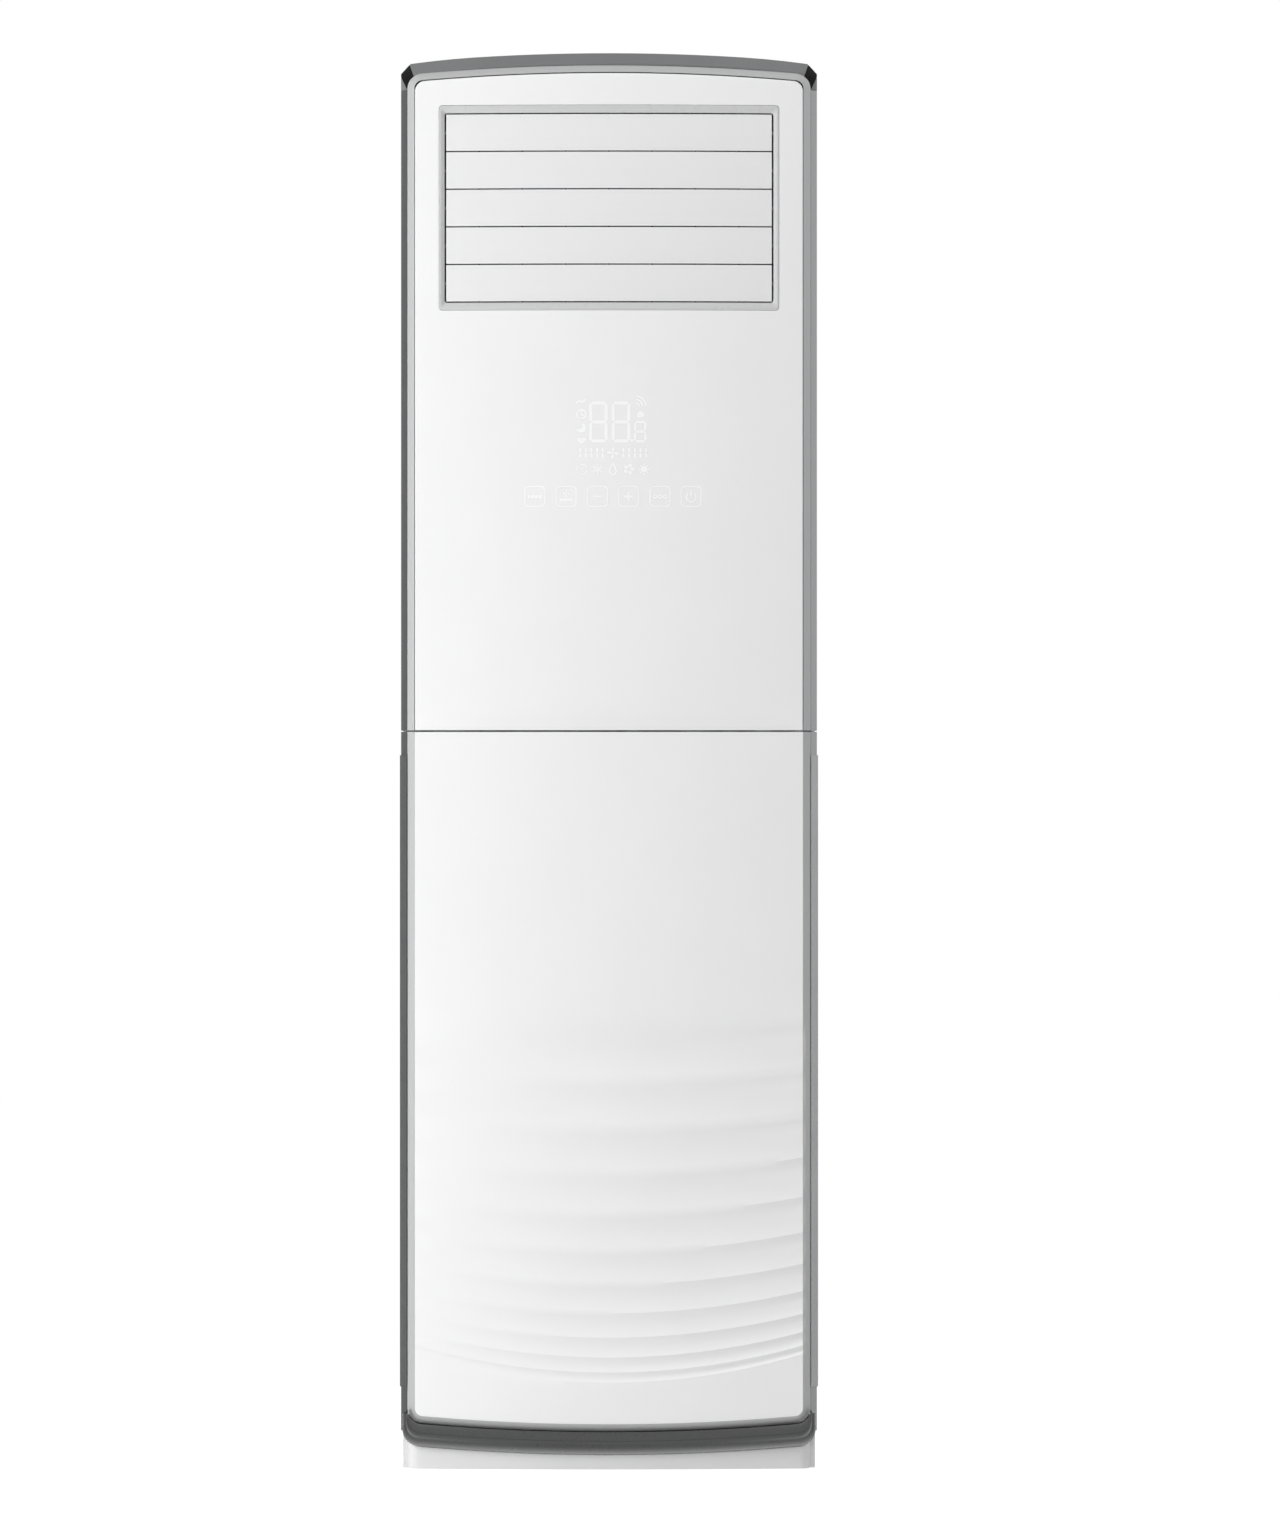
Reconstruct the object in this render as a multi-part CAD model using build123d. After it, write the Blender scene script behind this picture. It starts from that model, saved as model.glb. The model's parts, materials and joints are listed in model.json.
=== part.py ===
from build123d import *
import os
from math import atan2, cos, degrees, hypot, radians, sin, sqrt, tan

# Floor standing air conditioner, millimetres. X to the right, Y to the back, Z up, the origin on
# the floor under the middle of the cabinet. The blower stands in the lower half and blows up
# through a leaning evaporator behind the upper face; the air leaves through the louvres on top.

# ---------------------------------------------------------------- overall sizes
WIDTH = 540.0                 # over the two intake grilles
DEPTH = 410.0                 # crown of the bottom band to the back of the wall bracket
HEIGHT = 1825.0               # floor to the crest of the arched top cover
SEAM_Z = 951.0                # joint between the lower and the upper half
SEAM_GAP = 1.6

# ---------------------------------------------------------------- walls and clearances
SEAT = 0.3                    # gap left between two pieces that meet
SHEET = 1.5                   # steel sheet
MOULD = 2.5                   # moulded plastic wall
RUN = 0.1                     # radial running clearance of a pin in its hole
EPS = 1.0                     # how far a cutter runs past what it cuts

# ---------------------------------------------------------------- bowed and arched front
FACE_BOW = 18.0               # how far the face bows forward from its sides to its crown
ARCH_RADIUS = 3100.0          # arch of the top cover, of the rim and of the bottom band
BAND_PROUD = 4.0              # the bottom band's crown stands this far in front of the face
BAND_DEPTH = 22.7             # from the face's crown to the back of the band's ends
RIM_STEP = 8.5                # the rim lies this far inside the side panels
RIM_WIDTH = 8.5
RIM_TOP_WIDTH = 9.2
RIM_CORNER = 20.0
RIM_CHAMFER = 7.0
RIM_DEPTH = 41.0              # from the face's crown to the back of the rim
FACE_GAP = 1.5                # dark line between the face and its rim
FACE_THICK = 3.0
FACE_SKIRT = 11.7             # depth of the face panel's edge
FACE_CORNER = 13.0
FLANGE_THICK = 3.0
FLANGE_WIDTH = 15.0

# ---------------------------------------------------------------- casing
GRILLE_PROUD = 1.5            # the intake grilles stand proud of the side panels
SHELL_FRONT_GAP = 2.0         # between the rim and the front edge of a side panel
SHELL_SETBACK = 29.0          # from the face's crown to the front edge of a side panel
SHELL_BEVEL = 15.0
SHELL_CORNER = 3.0
SHELL_RETURN = 24.5           # width of the side panel's rear flange
BRACKET_STEP = 8.7            # wall face to rear panel face
COVER_BAND = 16.3             # height of the top cover above the rim
COVER_HEIGHT = 47.0
COVER_INSET = 8.0             # the cover's front edge lies this far behind the face
COVER_CHAMFER = 14.0
COVER_CORNER = 12.0
CAP_REACH = 8.0               # the corner caps reach this far over the rim
CAP_DEPTH = 14.0              # and this far behind it
CAP_RISE = 20.0               # their lower edge slants up this much from the rim to the outside
PLINTH_INSET = 2.5
PLINTH_RECESS = 8.0           # its bowed front lies this far behind the face
PLINTH_HEIGHT = 48.0
PLINTH_CORNER = 12.0
PLINTH_WALL = 2.0
ANCHOR_X = 420.0              # spacing of the floor anchor holes
ANCHOR_Y = 280.0
ANCHOR_R = 6.0
BAND_LOW_Z = 18.7
BAND_END_Z = 72.0
BAND_INSET = 2.0
BAND_CORNER = 17.0
BAND_CHAMFER = 4.0
BAND_LEDGE_Z = 37.0           # the band is set back a little above this ledge
BAND_LEDGE = 1.5
LOWER_LOW_Z = 48.9            # lowest point of the lower front panel's arched edge
LOWER_CORNER = 20.0
LOWER_THICK = 5.0
GROOVE_WIDTH = 1.4            # fine groove between the lower face and its rim
GROOVE_DEPTH = 0.8
GROOVE_INSET = 8.5
RAIL_HEIGHT = 40.0
RAIL_DEPTH = 14.0

# ---------------------------------------------------------------- ripples of the lower panel
RIPPLE_COUNT = 11
RIPPLE_TOP_Z = 564.0          # first ridge, on the centre line
RIPPLE_FIRST_PITCH = 64.0
RIPPLE_LAST_PITCH = 13.0
RIPPLE_PITCH_POWER = 1.25     # how the pitch closes up towards the foot
RIPPLE_FIRST_DEPTH = 0.6
RIPPLE_LAST_DEPTH = 1.1
RIPPLE_FIRST_RADIUS = 2250.0  # radius of the first ridge in front view
RIPPLE_LAST_RADIUS = 880.0
RIPPLE_SINK = 0.15            # the ridges lie this far under the face
RIPPLE_STATIONS = 5           # sections of the rippled surface from side to side

# ---------------------------------------------------------------- outlet and louvres
OUTLET_DROP = 183.7           # from the top of the rim to the middle of the outlet
OUTLET_MARGIN = 31.0          # white face on each side of the bezel
OUTLET_END_GAP = 0.75         # above the top blade and under the lowest
BEZEL_WIDTH = 7.5
BEZEL_BAR = 10.0
BEZEL_CORNER = 5.0
BEZEL_CHAMFER = 4.5
LIP_DEPTH = 5.0
COLLAR_WALL = 2.0             # side walls of the collar behind the bezel
COLLAR_FLOOR = 2.0            # top and bottom walls
COLLAR_DEPTH = 121.0
BEZEL_FLANGE = 8.0
LOUVRE_COUNT = 5
LOUVRE_PITCH = 48.5
LOUVRE_GAP = 1.6
LOUVRE_END_GAP = 1.0
LOUVRE_INSET = 3.0            # the blades lie this far behind the face
LOUVRE_THICK = 3.5
LOUVRE_PIVOT_DEPTH = 25.0
LOUVRE_TRAVEL = 85.0          # degrees from shut to fully open
LOUVRE_PIN_R = 2.0
LOUVRE_EAR = 3.0
LOUVRE_EAR_HALF = 4.5
CRANK_RADIUS = 12.0
CRANK_THICK = 2.0
CRANK_HALF = 3.5
CRANK_PIN_R = 1.5
CRANK_GAP = 0.5
LINK_THICK = 2.0
LINK_HALF = 4.0
VANE_COUNT = 7
VANE_END_SHARE = 0.75         # room beside the outer vanes, in pitches
VANE_DEPTH = 56.0
VANE_THICK = 2.0
VANE_SETBACK = 38.0           # from the vane pivots to the back of the collar
VANE_END_GAP = 1.0
VANE_CRANK_RADIUS = 14.0
STEPPER_R = 12.0
STEPPER_LENGTH = 15.0
STEPPER_OFFSET = 8.0          # the driven hub stands off the motor's own axis
STEPPER_EAR_R = 4.0
STEPPER_EAR_X = 15.5
STEPPER_EAR_THICK = 1.0
STEPPER_BORE = 8.0            # depth of the driven pin in the stepper's hub

# ---------------------------------------------------------------- duct and evaporator
DUCT_WALL = 12.0
DUCT_SIDE_ROOM = 22.0
DUCT_BELOW = 151.0            # from the middle of the outlet down to the duct's mouth
DUCT_TOP_GAP = 4.0
COIL_SIDE_ROOM = 45.0
COIL_THICK = 44.0
COIL_FOOT_SETBACK = 37.7      # from the cross rail back to the coil's foot
COIL_FOOT_RISE = 62.0         # from the deck up to the coil's foot
COIL_TOP_ROOM = 58.7          # from the coil's top back to the rear panel
COIL_TOP_DROP = 22.9          # from the duct's mouth down to the coil's top
FIN_COUNT = 37
FIN_DEPTH = 6.0
FIN_THICK = 5.0
END_PLATE = 2.0
END_PLATE_LIP = 6.0
BEND_COUNT = 8
BEND_TUBE_R = 4.8
BEND_RADIUS = 12.5
STUB_REACH = 5.0
HEADER_R = 9.0
HEADER_GAP = 12.0             # between the gas header and the liquid header
GAS_BEND_COUNT = 6            # bends that the gas header serves, from the foot
PAN_MARGIN = 10.0
PAN_REACH = 46.0
PAN_HEIGHT = 30.0
PAN_WALL = 2.0
SPOUT_R = 9.0
SPOUT_BORE_R = 7.0
SPOUT_LENGTH = 46.0
SPOUT_INSET = 27.0
SPOUT_SETBACK = 15.7
GAS_PIPE_R = 7.94             # five-eighths of an inch pipe
LIQUID_PIPE_R = 4.76          # three-eighths of an inch pipe
GAS_PIPE_STEP = 96.1          # from the coil's top forward to each pipe
LIQUID_PIPE_STEP = 41.1
PIPE_DROP = 230.0             # the pipes end this far under the deck
GAS_NUT_R = 13.0              # corner radius of each flare nut
LIQUID_NUT_R = 9.8
NUT_HEIGHT = 20.0

# ---------------------------------------------------------------- blower
DECK_DROP = 21.0              # from the seam down to the fan deck
WHEEL_X = 30.0
WHEEL_DROP = 430.0            # from the deck down to the wheel's axis
WHEEL_SIDE_ROOM = 102.0
WHEEL_BAND = 27.0             # radial width of the blades
WHEEL_GAP = 12.0              # from the scroll's front to the wheel
WHEEL_DEPTH = 112.0
WHEEL_PLATE = 2.0
WHEEL_RING = 3.0
WHEEL_BLADES = 32
WHEEL_BLADE_THICK = 1.4
WHEEL_BLADE_SAG = 6.0
WHEEL_BLADE_LEAD = 7.0        # degrees
SHAFT_STUB = 4.0              # the shaft ends this far past its nut
HUB_R = 22.0
HUB_LENGTH = 34.0
SHAFT_R = 6.0
NUT_R = 11.0
WHEEL_NUT_HEIGHT = 7.0
SCROLL_STEP = 30.0            # side of the square that the scroll's four centres stand on
SCROLL_CUTOFF = 30.0          # from the wheel to the start of the scroll
MOTOR_ROOM = 68.8             # from the scroll's back to the rear panel
SCROLL_DEPTH = 134.0
SCROLL_WALL = 2.0
SCROLL_TONGUE = 12.0
MOUTH_STEP = 37.0             # the mouth's radius is this much less than the wheel's
MOUTH_ROUND = 10.0
MOTOR_R = 62.0
MOTOR_LENGTH = 52.0
MOTOR_BELL_R = 44.0
MOTOR_BELL = 7.0
MOTOR_HOLE_R = 48.0
MOTOR_ROUND = 8.0
BRACKET_R = 84.0
BRACKET_THICK = 3.0
BRACKET_ARM = 22.0
BRACKET_BORDER = 4.0
BRACKET_END = 10.0

# ---------------------------------------------------------------- electrics
EBOX_X = 40.0
EBOX_HALF = 150.0
EBOX_SETBACK = 8.0
EBOX_DEPTH = 72.0
EBOX_HEIGHT = 218.0
BOARD_THICK = 1.6
BOARD_HALF = 88.0
BOARD_HEIGHT = 130.0
BOARD_POST = 12.0
BOARD_POST_R = 3.0
BOARD_POST_INSET = 8.0
BOARD_EDGE = 10.0             # from the box's side to the board
BOARD_RISE = 40.0             # from the box's floor to the board
CORE_X = 20.0                 # transformer on the board
CORE_WIDTH = 36.0
CORE_Z = 70.0
CORE_HEIGHT = 40.0
CORE_DEPTH = 30.0
RELAY_X = 76.0
RELAY_WIDTH = 30.0
RELAY_Z = 80.0
RELAY_HEIGHT = 32.0
RELAY_DEPTH = 20.0
SOCKET_COUNT = 4
SOCKET_PITCH = 34.0
SOCKET_WIDTH = 20.0
SOCKET_Z = 18.0
SOCKET_HEIGHT = 16.0
SOCKET_DEPTH = 18.0
TERMINAL_COUNT = 6
TERMINAL_PITCH = 14.0
TERMINAL_DEPTH = 22.0
TERMINAL_HEIGHT = 28.0
TERMINAL_INSET = 14.0
TERMINAL_RISE = 24.0
TERMINAL_WALL = 1.5
TERMINAL_POCKET = 9.0
TERMINAL_STEP = 6.0
CAPACITOR_R = 20.0
CAPACITOR_HEIGHT = 62.0
CAPACITOR_INSET = 50.0
CAPACITOR_RISE = 90.0
DISPLAY_X = 4.0
DISPLAY_DROP = 318.0          # from the middle of the outlet
DISPLAY_HALF = 112.0
DISPLAY_HALF_HEIGHT = 76.0
DISPLAY_SETBACK = 9.0
DISPLAY_POST_R = 3.0
DIGITS_LEFT = 24.0
DIGITS_RIGHT = 44.0
DIGITS_LOW = 8.0
DIGITS_HIGH = 66.0

# ---------------------------------------------------------------- intake, back and small parts
GRILLE_LOW_Z = 105.0
GRILLE_TOP_DROP = 31.0        # from the seam
GRILLE_REACH = 191.0
GRILLE_BORDER = 14.0
GRILLE_SKIN = 1.2
SLAT_PITCH = 21.0
SLAT_THICK = 2.4
SLAT_DEPTH = 6.0
FILTER_DEPTH = 5.0
FILTER_BORDER = 7.0
FILTER_MESH = 1.0
FILTER_RIB = 4.0
GRILLE_RIB = 2.0
WINDOW_MARGIN = 2.0
PORT_INSET = 78.5
PORT_Z = 150.0
PORT_R = 32.5
PORT_RING = 5.0
PORT_LENGTH = 10.0
GLAND_SPACING = 80.0
GLAND_R = 9.0
GLAND_BORE_R = 5.0
GLAND_NUT_R = 13.0
GLAND_NUT_HEIGHT = 6.0
GLAND_REACH = 12.0
BRACKET_HALF = 62.0
BRACKET_HOLE_X = 80.0
BRACKET_HOLE_R = 3.5
BRACKET_LEG = 32.0
BRACKET_DROP = 88.0           # from the cover's edge
SCREW_HEAD_R = 4.0
SCREW_HEAD = 2.0
SCREW_R = 2.0
SCREW_LENGTH = 7.0
SCREW_CLEAR = 0.3
BEAD_WIDTH = 16.0
BEAD_DEPTH = 2.0
BEAD_SPACING = 400.0
SCREW_EDGE = 60.0             # from a panel's end to its first screw

# ---------------------------------------------------------------- values that follow
BAND_CROWN_Y = -DEPTH / 2
FACE_CROWN_Y = BAND_CROWN_Y + BAND_PROUD
BOX_FRONT_Y = BAND_CROWN_Y - 10 * EPS
REAR_Y = DEPTH / 2 - BRACKET_STEP
REAR_INNER_Y = REAR_Y - SHEET

SHELL_HALF = WIDTH / 2 - GRILLE_PROUD
SHELL_INNER = SHELL_HALF - SHEET
SHELL_REAR_Y = REAR_INNER_Y - SEAT
SHELL_FRONT_Y = FACE_CROWN_Y + SHELL_SETBACK
SHELL_BEVEL_Y = SHELL_FRONT_Y + SHELL_BEVEL
RIM_HALF = SHELL_HALF - RIM_STEP
RIM_BACK_Y = FACE_CROWN_Y + RIM_DEPTH
RIM_TOP_Z = HEIGHT - COVER_BAND
COVER_SKIRT_Z = HEIGHT - COVER_HEIGHT
CAP_HALF = RIM_HALF - CAP_REACH
CAP_BACK_Y = RIM_BACK_Y + CAP_DEPTH
PLINTH_HALF = SHELL_HALF - PLINTH_INSET
BAND_BACK_Y = FACE_CROWN_Y + BAND_DEPTH
BAND_HALF = SHELL_HALF - BAND_INSET
RAIL_BACK_Y = RIM_BACK_Y + SEAT + RAIL_DEPTH

FACE_RECESS_HALF = RIM_HALF - RIM_WIDTH
FACE_RECESS_TOP_Z = RIM_TOP_Z - RIM_TOP_WIDTH
FACE_HALF = FACE_RECESS_HALF - FACE_GAP
BOW_RADIUS = (FACE_HALF**2 + FACE_BOW**2) / (2 * FACE_BOW)
BOW_CENTRE_Y = FACE_CROWN_Y + BOW_RADIUS
UPPER_LOW_Z = SEAM_Z + SEAM_GAP / 2
LOWER_HIGH_Z = SEAM_Z - SEAM_GAP / 2
FLANGE_INSET = FACE_SKIRT + SEAT

OUTLET_Z = RIM_TOP_Z - OUTLET_DROP
BEZEL_HALF = FACE_HALF - OUTLET_MARGIN
OUTLET_HALF = BEZEL_HALF - BEZEL_WIDTH
OUTLET_HALF_HEIGHT = LOUVRE_COUNT * LOUVRE_PITCH / 2 + OUTLET_END_GAP
BEZEL_HALF_HEIGHT = OUTLET_HALF_HEIGHT + BEZEL_BAR
COLLAR_HALF = BEZEL_HALF - COLLAR_WALL
COLLAR_HALF_HEIGHT = BEZEL_HALF_HEIGHT - COLLAR_FLOOR
COLLAR_BACK_Y = FACE_CROWN_Y + COLLAR_DEPTH
LOUVRE_HALF = OUTLET_HALF - LOUVRE_END_GAP
LOUVRE_PIVOT_Y = FACE_CROWN_Y + LOUVRE_PIVOT_DEPTH
CRANK_PIN_Y = LOUVRE_PIVOT_Y + CRANK_RADIUS * cos(radians(LOUVRE_TRAVEL / 2))
CRANK_PIN_DROP = CRANK_RADIUS * sin(radians(LOUVRE_TRAVEL / 2))
VANE_PITCH = 2 * COLLAR_HALF / (VANE_COUNT + VANE_END_SHARE)
VANE_PIVOT_Y = COLLAR_BACK_Y - VANE_SETBACK
DISPLAY_Z = OUTLET_Z - DISPLAY_DROP

DECK_Z = SEAM_Z - DECK_DROP
DUCT_HALF = SHELL_INNER - DUCT_SIDE_ROOM
DUCT_LOW_Z = OUTLET_Z - DUCT_BELOW
DUCT_HIGH_Z = COVER_SKIRT_Z - DUCT_TOP_GAP
COIL_HALF = SHELL_INNER - COIL_SIDE_ROOM
COIL_FOOT_Y = RAIL_BACK_Y + COIL_FOOT_SETBACK
COIL_FOOT_Z = DECK_Z + COIL_FOOT_RISE
COIL_TOP_Y = REAR_INNER_Y - COIL_TOP_ROOM
COIL_TOP_Z = DUCT_LOW_Z - COIL_TOP_DROP
COIL_LENGTH = hypot(COIL_TOP_Y - COIL_FOOT_Y, COIL_TOP_Z - COIL_FOOT_Z)
COIL_LEAN = degrees(atan2(COIL_TOP_Y - COIL_FOOT_Y, COIL_TOP_Z - COIL_FOOT_Z))
PAN_HALF = COIL_HALF + PAN_MARGIN
PAN_BACK_Y = COIL_FOOT_Y + PAN_REACH
SPOUT_X = PAN_HALF - SPOUT_INSET
SPOUT_Y = RAIL_BACK_Y + SPOUT_SETBACK
PIPE_X = COIL_HALF + END_PLATE + STUB_REACH + HEADER_R
GAS_PIPE_Y = COIL_TOP_Y - GAS_PIPE_STEP
LIQUID_PIPE_Y = COIL_TOP_Y - LIQUID_PIPE_STEP
PIPE_LOW_Z = DECK_Z - PIPE_DROP

WHEEL_Z = DECK_Z - WHEEL_DROP
WHEEL_R = SHELL_INNER - WHEEL_SIDE_ROOM
WHEEL_INNER_R = WHEEL_R - WHEEL_BAND
MOUTH_R = WHEEL_R - MOUTH_STEP
SCROLL_FIRST_R = WHEEL_R + SCROLL_CUTOFF
SCROLL_BACK_Y = REAR_INNER_Y - MOTOR_ROOM
SCROLL_FRONT_Y = SCROLL_BACK_Y - SCROLL_DEPTH
WHEEL_FRONT_Y = SCROLL_FRONT_Y + WHEEL_GAP
EBOX_FRONT_Y = RIM_BACK_Y + EBOX_SETBACK
EBOX_LOW_Z = DECK_Z - EBOX_HEIGHT

GRILLE_HIGH_Z = SEAM_Z - GRILLE_TOP_DROP
GRILLE_BACK_Y = SHELL_BEVEL_Y + GRILLE_REACH
WINDOW_FRONT_Y = SHELL_BEVEL_Y + GRILLE_BORDER - WINDOW_MARGIN
WINDOW_BACK_Y = GRILLE_BACK_Y - GRILLE_BORDER + WINDOW_MARGIN
WINDOW_LOW_Z = GRILLE_LOW_Z + GRILLE_BORDER - WINDOW_MARGIN
WINDOW_HIGH_Z = GRILLE_HIGH_Z - GRILLE_BORDER + WINDOW_MARGIN
PORT_X = SHELL_HALF - PORT_INSET
GLAND_X = PORT_X - GLAND_SPACING
BRACKET_LOW_Z = COVER_SKIRT_Z - BRACKET_DROP


# ---------------------------------------------------------------- shared shapes
def bow_y(x, inset=0.0):
    """Front surface of the bowed face at x, or of a surface that lies inset behind it."""
    return BOW_CENTRE_Y - sqrt((BOW_RADIUS - inset)**2 - x**2)


def arch_drop(x):
    """How far the arched edges fall away at x."""
    return ARCH_RADIUS - sqrt(ARCH_RADIUS**2 - x**2)


def block(x0, x1, y0, y1, z0, z1):
    """Box between two corners."""
    size = Box(x1 - x0, y1 - y0, z1 - z0)
    return Pos((x0 + x1) / 2, (y0 + y1) / 2, (z0 + z1) / 2) * size


def rod_x(radius, x0, x1, y, z):
    """Round bar along X."""
    return Pos((x0 + x1) / 2, y, z) * Rot(0, 90, 0) * Cylinder(radius, x1 - x0)


def rod_y(radius, y0, y1, x, z):
    """Round bar along Y."""
    return Pos(x, (y0 + y1) / 2, z) * Rot(90, 0, 0) * Cylinder(radius, y1 - y0)


def rod_z(radius, z0, z1, x, y):
    """Round bar along Z."""
    return Pos(x, y, (z0 + z1) / 2) * Cylinder(radius, z1 - z0)


def front_outline(half, low, high, r_low=0.0, r_high=0.0, arch_low=False, arch_high=False):
    """Outline in front view, its lower and upper edge straight or arched, corners rounded."""
    z_top = high - arch_drop(half) if arch_high else high
    z_bottom = low + arch_drop(half) if arch_low else low
    left_low, left_high = (-half, z_bottom), (-half, z_top)
    right_low, right_high = (half, z_bottom), (half, z_top)
    upper = ThreePointArc(left_high, (0, high), right_high) if arch_high else Line(left_high, right_high)
    lower = ThreePointArc(right_low, (0, low), left_low) if arch_low else Line(right_low, left_low)
    sketch = make_face([Line(left_low, left_high), upper, Line(right_high, right_low), lower])
    middle = (low + high) / 2
    if r_high:
        sketch = fillet(sketch.vertices().filter_by(lambda v: v.Y > middle), r_high)
    if r_low:
        sketch = fillet(sketch.vertices().filter_by(lambda v: v.Y < middle), r_low)
    return sketch


def front_prism(sketch, y_front, y_back):
    """Front outline drawn through from y_front to y_back."""
    return extrude(Plane.XZ.offset(-y_back) * sketch, y_back - y_front)


def bow_block(inset, y_back, z_low, z_high, half):
    """Everything behind the bowed surface, back to y_back."""
    y_side = bow_y(half, inset)
    plan = make_face([
        ThreePointArc((-half, y_side), (0, bow_y(0, inset)), (half, y_side)),
        Line((half, y_side), (half, y_back)),
        Line((half, y_back), (-half, y_back)),
        Line((-half, y_back), (-half, y_side)),
    ])
    return extrude(Plane.XY.offset(z_low) * plan, z_high - z_low)


def bow_shell(inset, thickness, z_low, z_high, half):
    """Bowed skin of one thickness."""
    y_back = bow_y(half, inset + thickness) + 2 * EPS
    outer = bow_block(inset, y_back, z_low, z_high, half)
    return outer - bow_block(inset + thickness, y_back + EPS, z_low - EPS, z_high + EPS, half + EPS)


def front_edges(solid, inset, above=None, below=None):
    """Edges of the solid that lie on the bowed surface."""
    found = []
    for edge in solid.edges():
        points = (edge @ 0.1, edge @ 0.5, edge @ 0.9)
        if any(abs(p.Y - bow_y(p.X, inset)) > 0.05 for p in points):
            continue
        z = (edge @ 0.5).Z
        if (above is None or z > above) and (below is None or z < below):
            found.append(edge)
    return found


def rect_outline(half, half_height, z, corner=0.0):
    """Rectangle in front view with rounded corners, its middle at height z."""
    if corner:
        return Pos(0, z) * RectangleRounded(2 * half, 2 * half_height, corner)
    return Pos(0, z) * Rectangle(2 * half, 2 * half_height)


def bent_sheet(points, thickness, z_low, z_high, radius=None):
    """Upright sheet bent along a plan line, its thickness to the left of the line."""
    line = FilletPolyline(*points, radius=radius) if radius else Polyline(*points)
    strip = offset(line, amount=thickness, side=Side.LEFT, closed=True)
    return extrude(Plane.XY.offset(z_low) * make_face(strip.edges()), z_high - z_low)


def to_left(solid):
    """The same piece for the left side."""
    return mirror(solid, about=Plane.YZ)


# ---------------------------------------------------------------- casing
def screw_places():
    """Screws that hold the rear panel on the side panels' flanges."""
    x = SHELL_HALF - SHELL_RETURN / 2
    heights = (PLINTH_HEIGHT + SCREW_EDGE, (PLINTH_HEIGHT + SEAM_Z) / 2, SEAM_Z + SCREW_EDGE,
               COVER_SKIRT_Z - SCREW_EDGE)
    return [(side * x, z) for side in (-1, 1) for z in heights]


def side_panel(z_low, z_high):
    """Right side panel: bevelled front edge, plain flank and rear flange."""
    front = (RIM_HALF + SHELL_FRONT_GAP, SHELL_FRONT_Y)
    points = [
        front,
        (SHELL_HALF, SHELL_BEVEL_Y),
        (SHELL_HALF, SHELL_REAR_Y),
        (SHELL_HALF - SHELL_RETURN, SHELL_REAR_Y),
    ]
    panel = bent_sheet(points, SHEET, z_low, z_high, SHELL_CORNER)
    for x, z in screw_places():
        if x > 0 and z_low < z < z_high:
            panel -= rod_y(SCREW_R + SCREW_CLEAR, SHELL_REAR_Y - 5, SHELL_REAR_Y + EPS, x, z)
    return panel


def shell_inner_x(y):
    """Inner face of a side panel at y, on the bevel or behind it."""
    x0 = RIM_HALF + SHELL_FRONT_GAP
    slope = (SHELL_HALF - x0) / (SHELL_BEVEL_Y - SHELL_FRONT_Y)
    bevel = x0 + slope * (y - SHELL_FRONT_Y) - SHEET * sqrt(1 + slope**2)
    return min(bevel, SHELL_INNER)


def upper_side_panel():
    return side_panel(UPPER_LOW_Z, COVER_SKIRT_Z - SEAT)


def lower_side_panel():
    panel = side_panel(PLINTH_HEIGHT + SEAT, LOWER_HIGH_Z)
    return panel - block(SHELL_HALF - 10, SHELL_HALF + 10, WINDOW_FRONT_Y, WINDOW_BACK_Y,
                         WINDOW_LOW_Z, WINDOW_HIGH_Z)


def rear_panel():
    """Flat back with pressed beads, the pipe port and the cable hole."""
    half = SHELL_HALF - 2 * SHELL_CORNER
    z_low, z_high = PLINTH_HEIGHT + SEAT, COVER_SKIRT_Z - SEAT
    panel = block(-half, half, REAR_INNER_Y, REAR_Y, z_low, z_high)
    bead_half = half - SHELL_RETURN - 2 * BEAD_WIDTH
    for z in (SEAM_Z - BEAD_SPACING, SEAM_Z, SEAM_Z + BEAD_SPACING):
        panel += bead(bead_half, BEAD_WIDTH / 2, z, REAR_INNER_Y - BEAD_DEPTH, REAR_INNER_Y)
        panel -= bead(bead_half - SHEET, BEAD_WIDTH / 2 - SHEET, z,
                      REAR_INNER_Y - BEAD_DEPTH + SHEET, REAR_Y + EPS)
    panel -= rod_y(PORT_R + PORT_RING / 2, REAR_INNER_Y - EPS, REAR_Y + EPS, PORT_X, PORT_Z)
    panel -= rod_y(GLAND_R + SEAT, REAR_INNER_Y - EPS, REAR_Y + EPS, GLAND_X, PORT_Z)
    for x, z in screw_places():
        panel -= rod_y(SCREW_R + SCREW_CLEAR, REAR_INNER_Y - EPS, REAR_Y + EPS, x, z)
    return panel


def bead(half, half_height, z, y_front, y_back):
    """Long round-ended bead of the rear panel."""
    return front_prism(Pos(0, z) * SlotOverall(2 * half, 2 * half_height), y_front, y_back)


def cover_block(margin=0.0):
    """Outer form of the top cover; margin draws it in for the hollow inside."""
    outline = front_outline(SHELL_HALF - margin, COVER_SKIRT_Z - margin, HEIGHT - margin,
                            arch_high=True)
    outline = chamfer(outline.vertices().filter_by(lambda v: v.Y > COVER_SKIRT_Z), COVER_CORNER)
    inset = COVER_INSET + margin
    body = front_prism(outline, BOX_FRONT_Y, REAR_Y - margin)
    body &= bow_block(inset, REAR_Y - margin, COVER_SKIRT_Z - 2 * MOULD, HEIGHT + EPS, SHELL_HALF + EPS)
    return chamfer(front_edges(body, inset, above=COVER_SKIRT_Z), COVER_CHAMFER)


def rim_space(clearance):
    """Room that the upper rim takes, for the pieces round it."""
    outline = front_outline(RIM_HALF + clearance, SEAM_Z, RIM_TOP_Z + clearance,
                            r_high=RIM_CORNER, arch_high=True)
    return front_prism(outline, BOX_FRONT_Y - EPS, RIM_BACK_Y + clearance)


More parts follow.
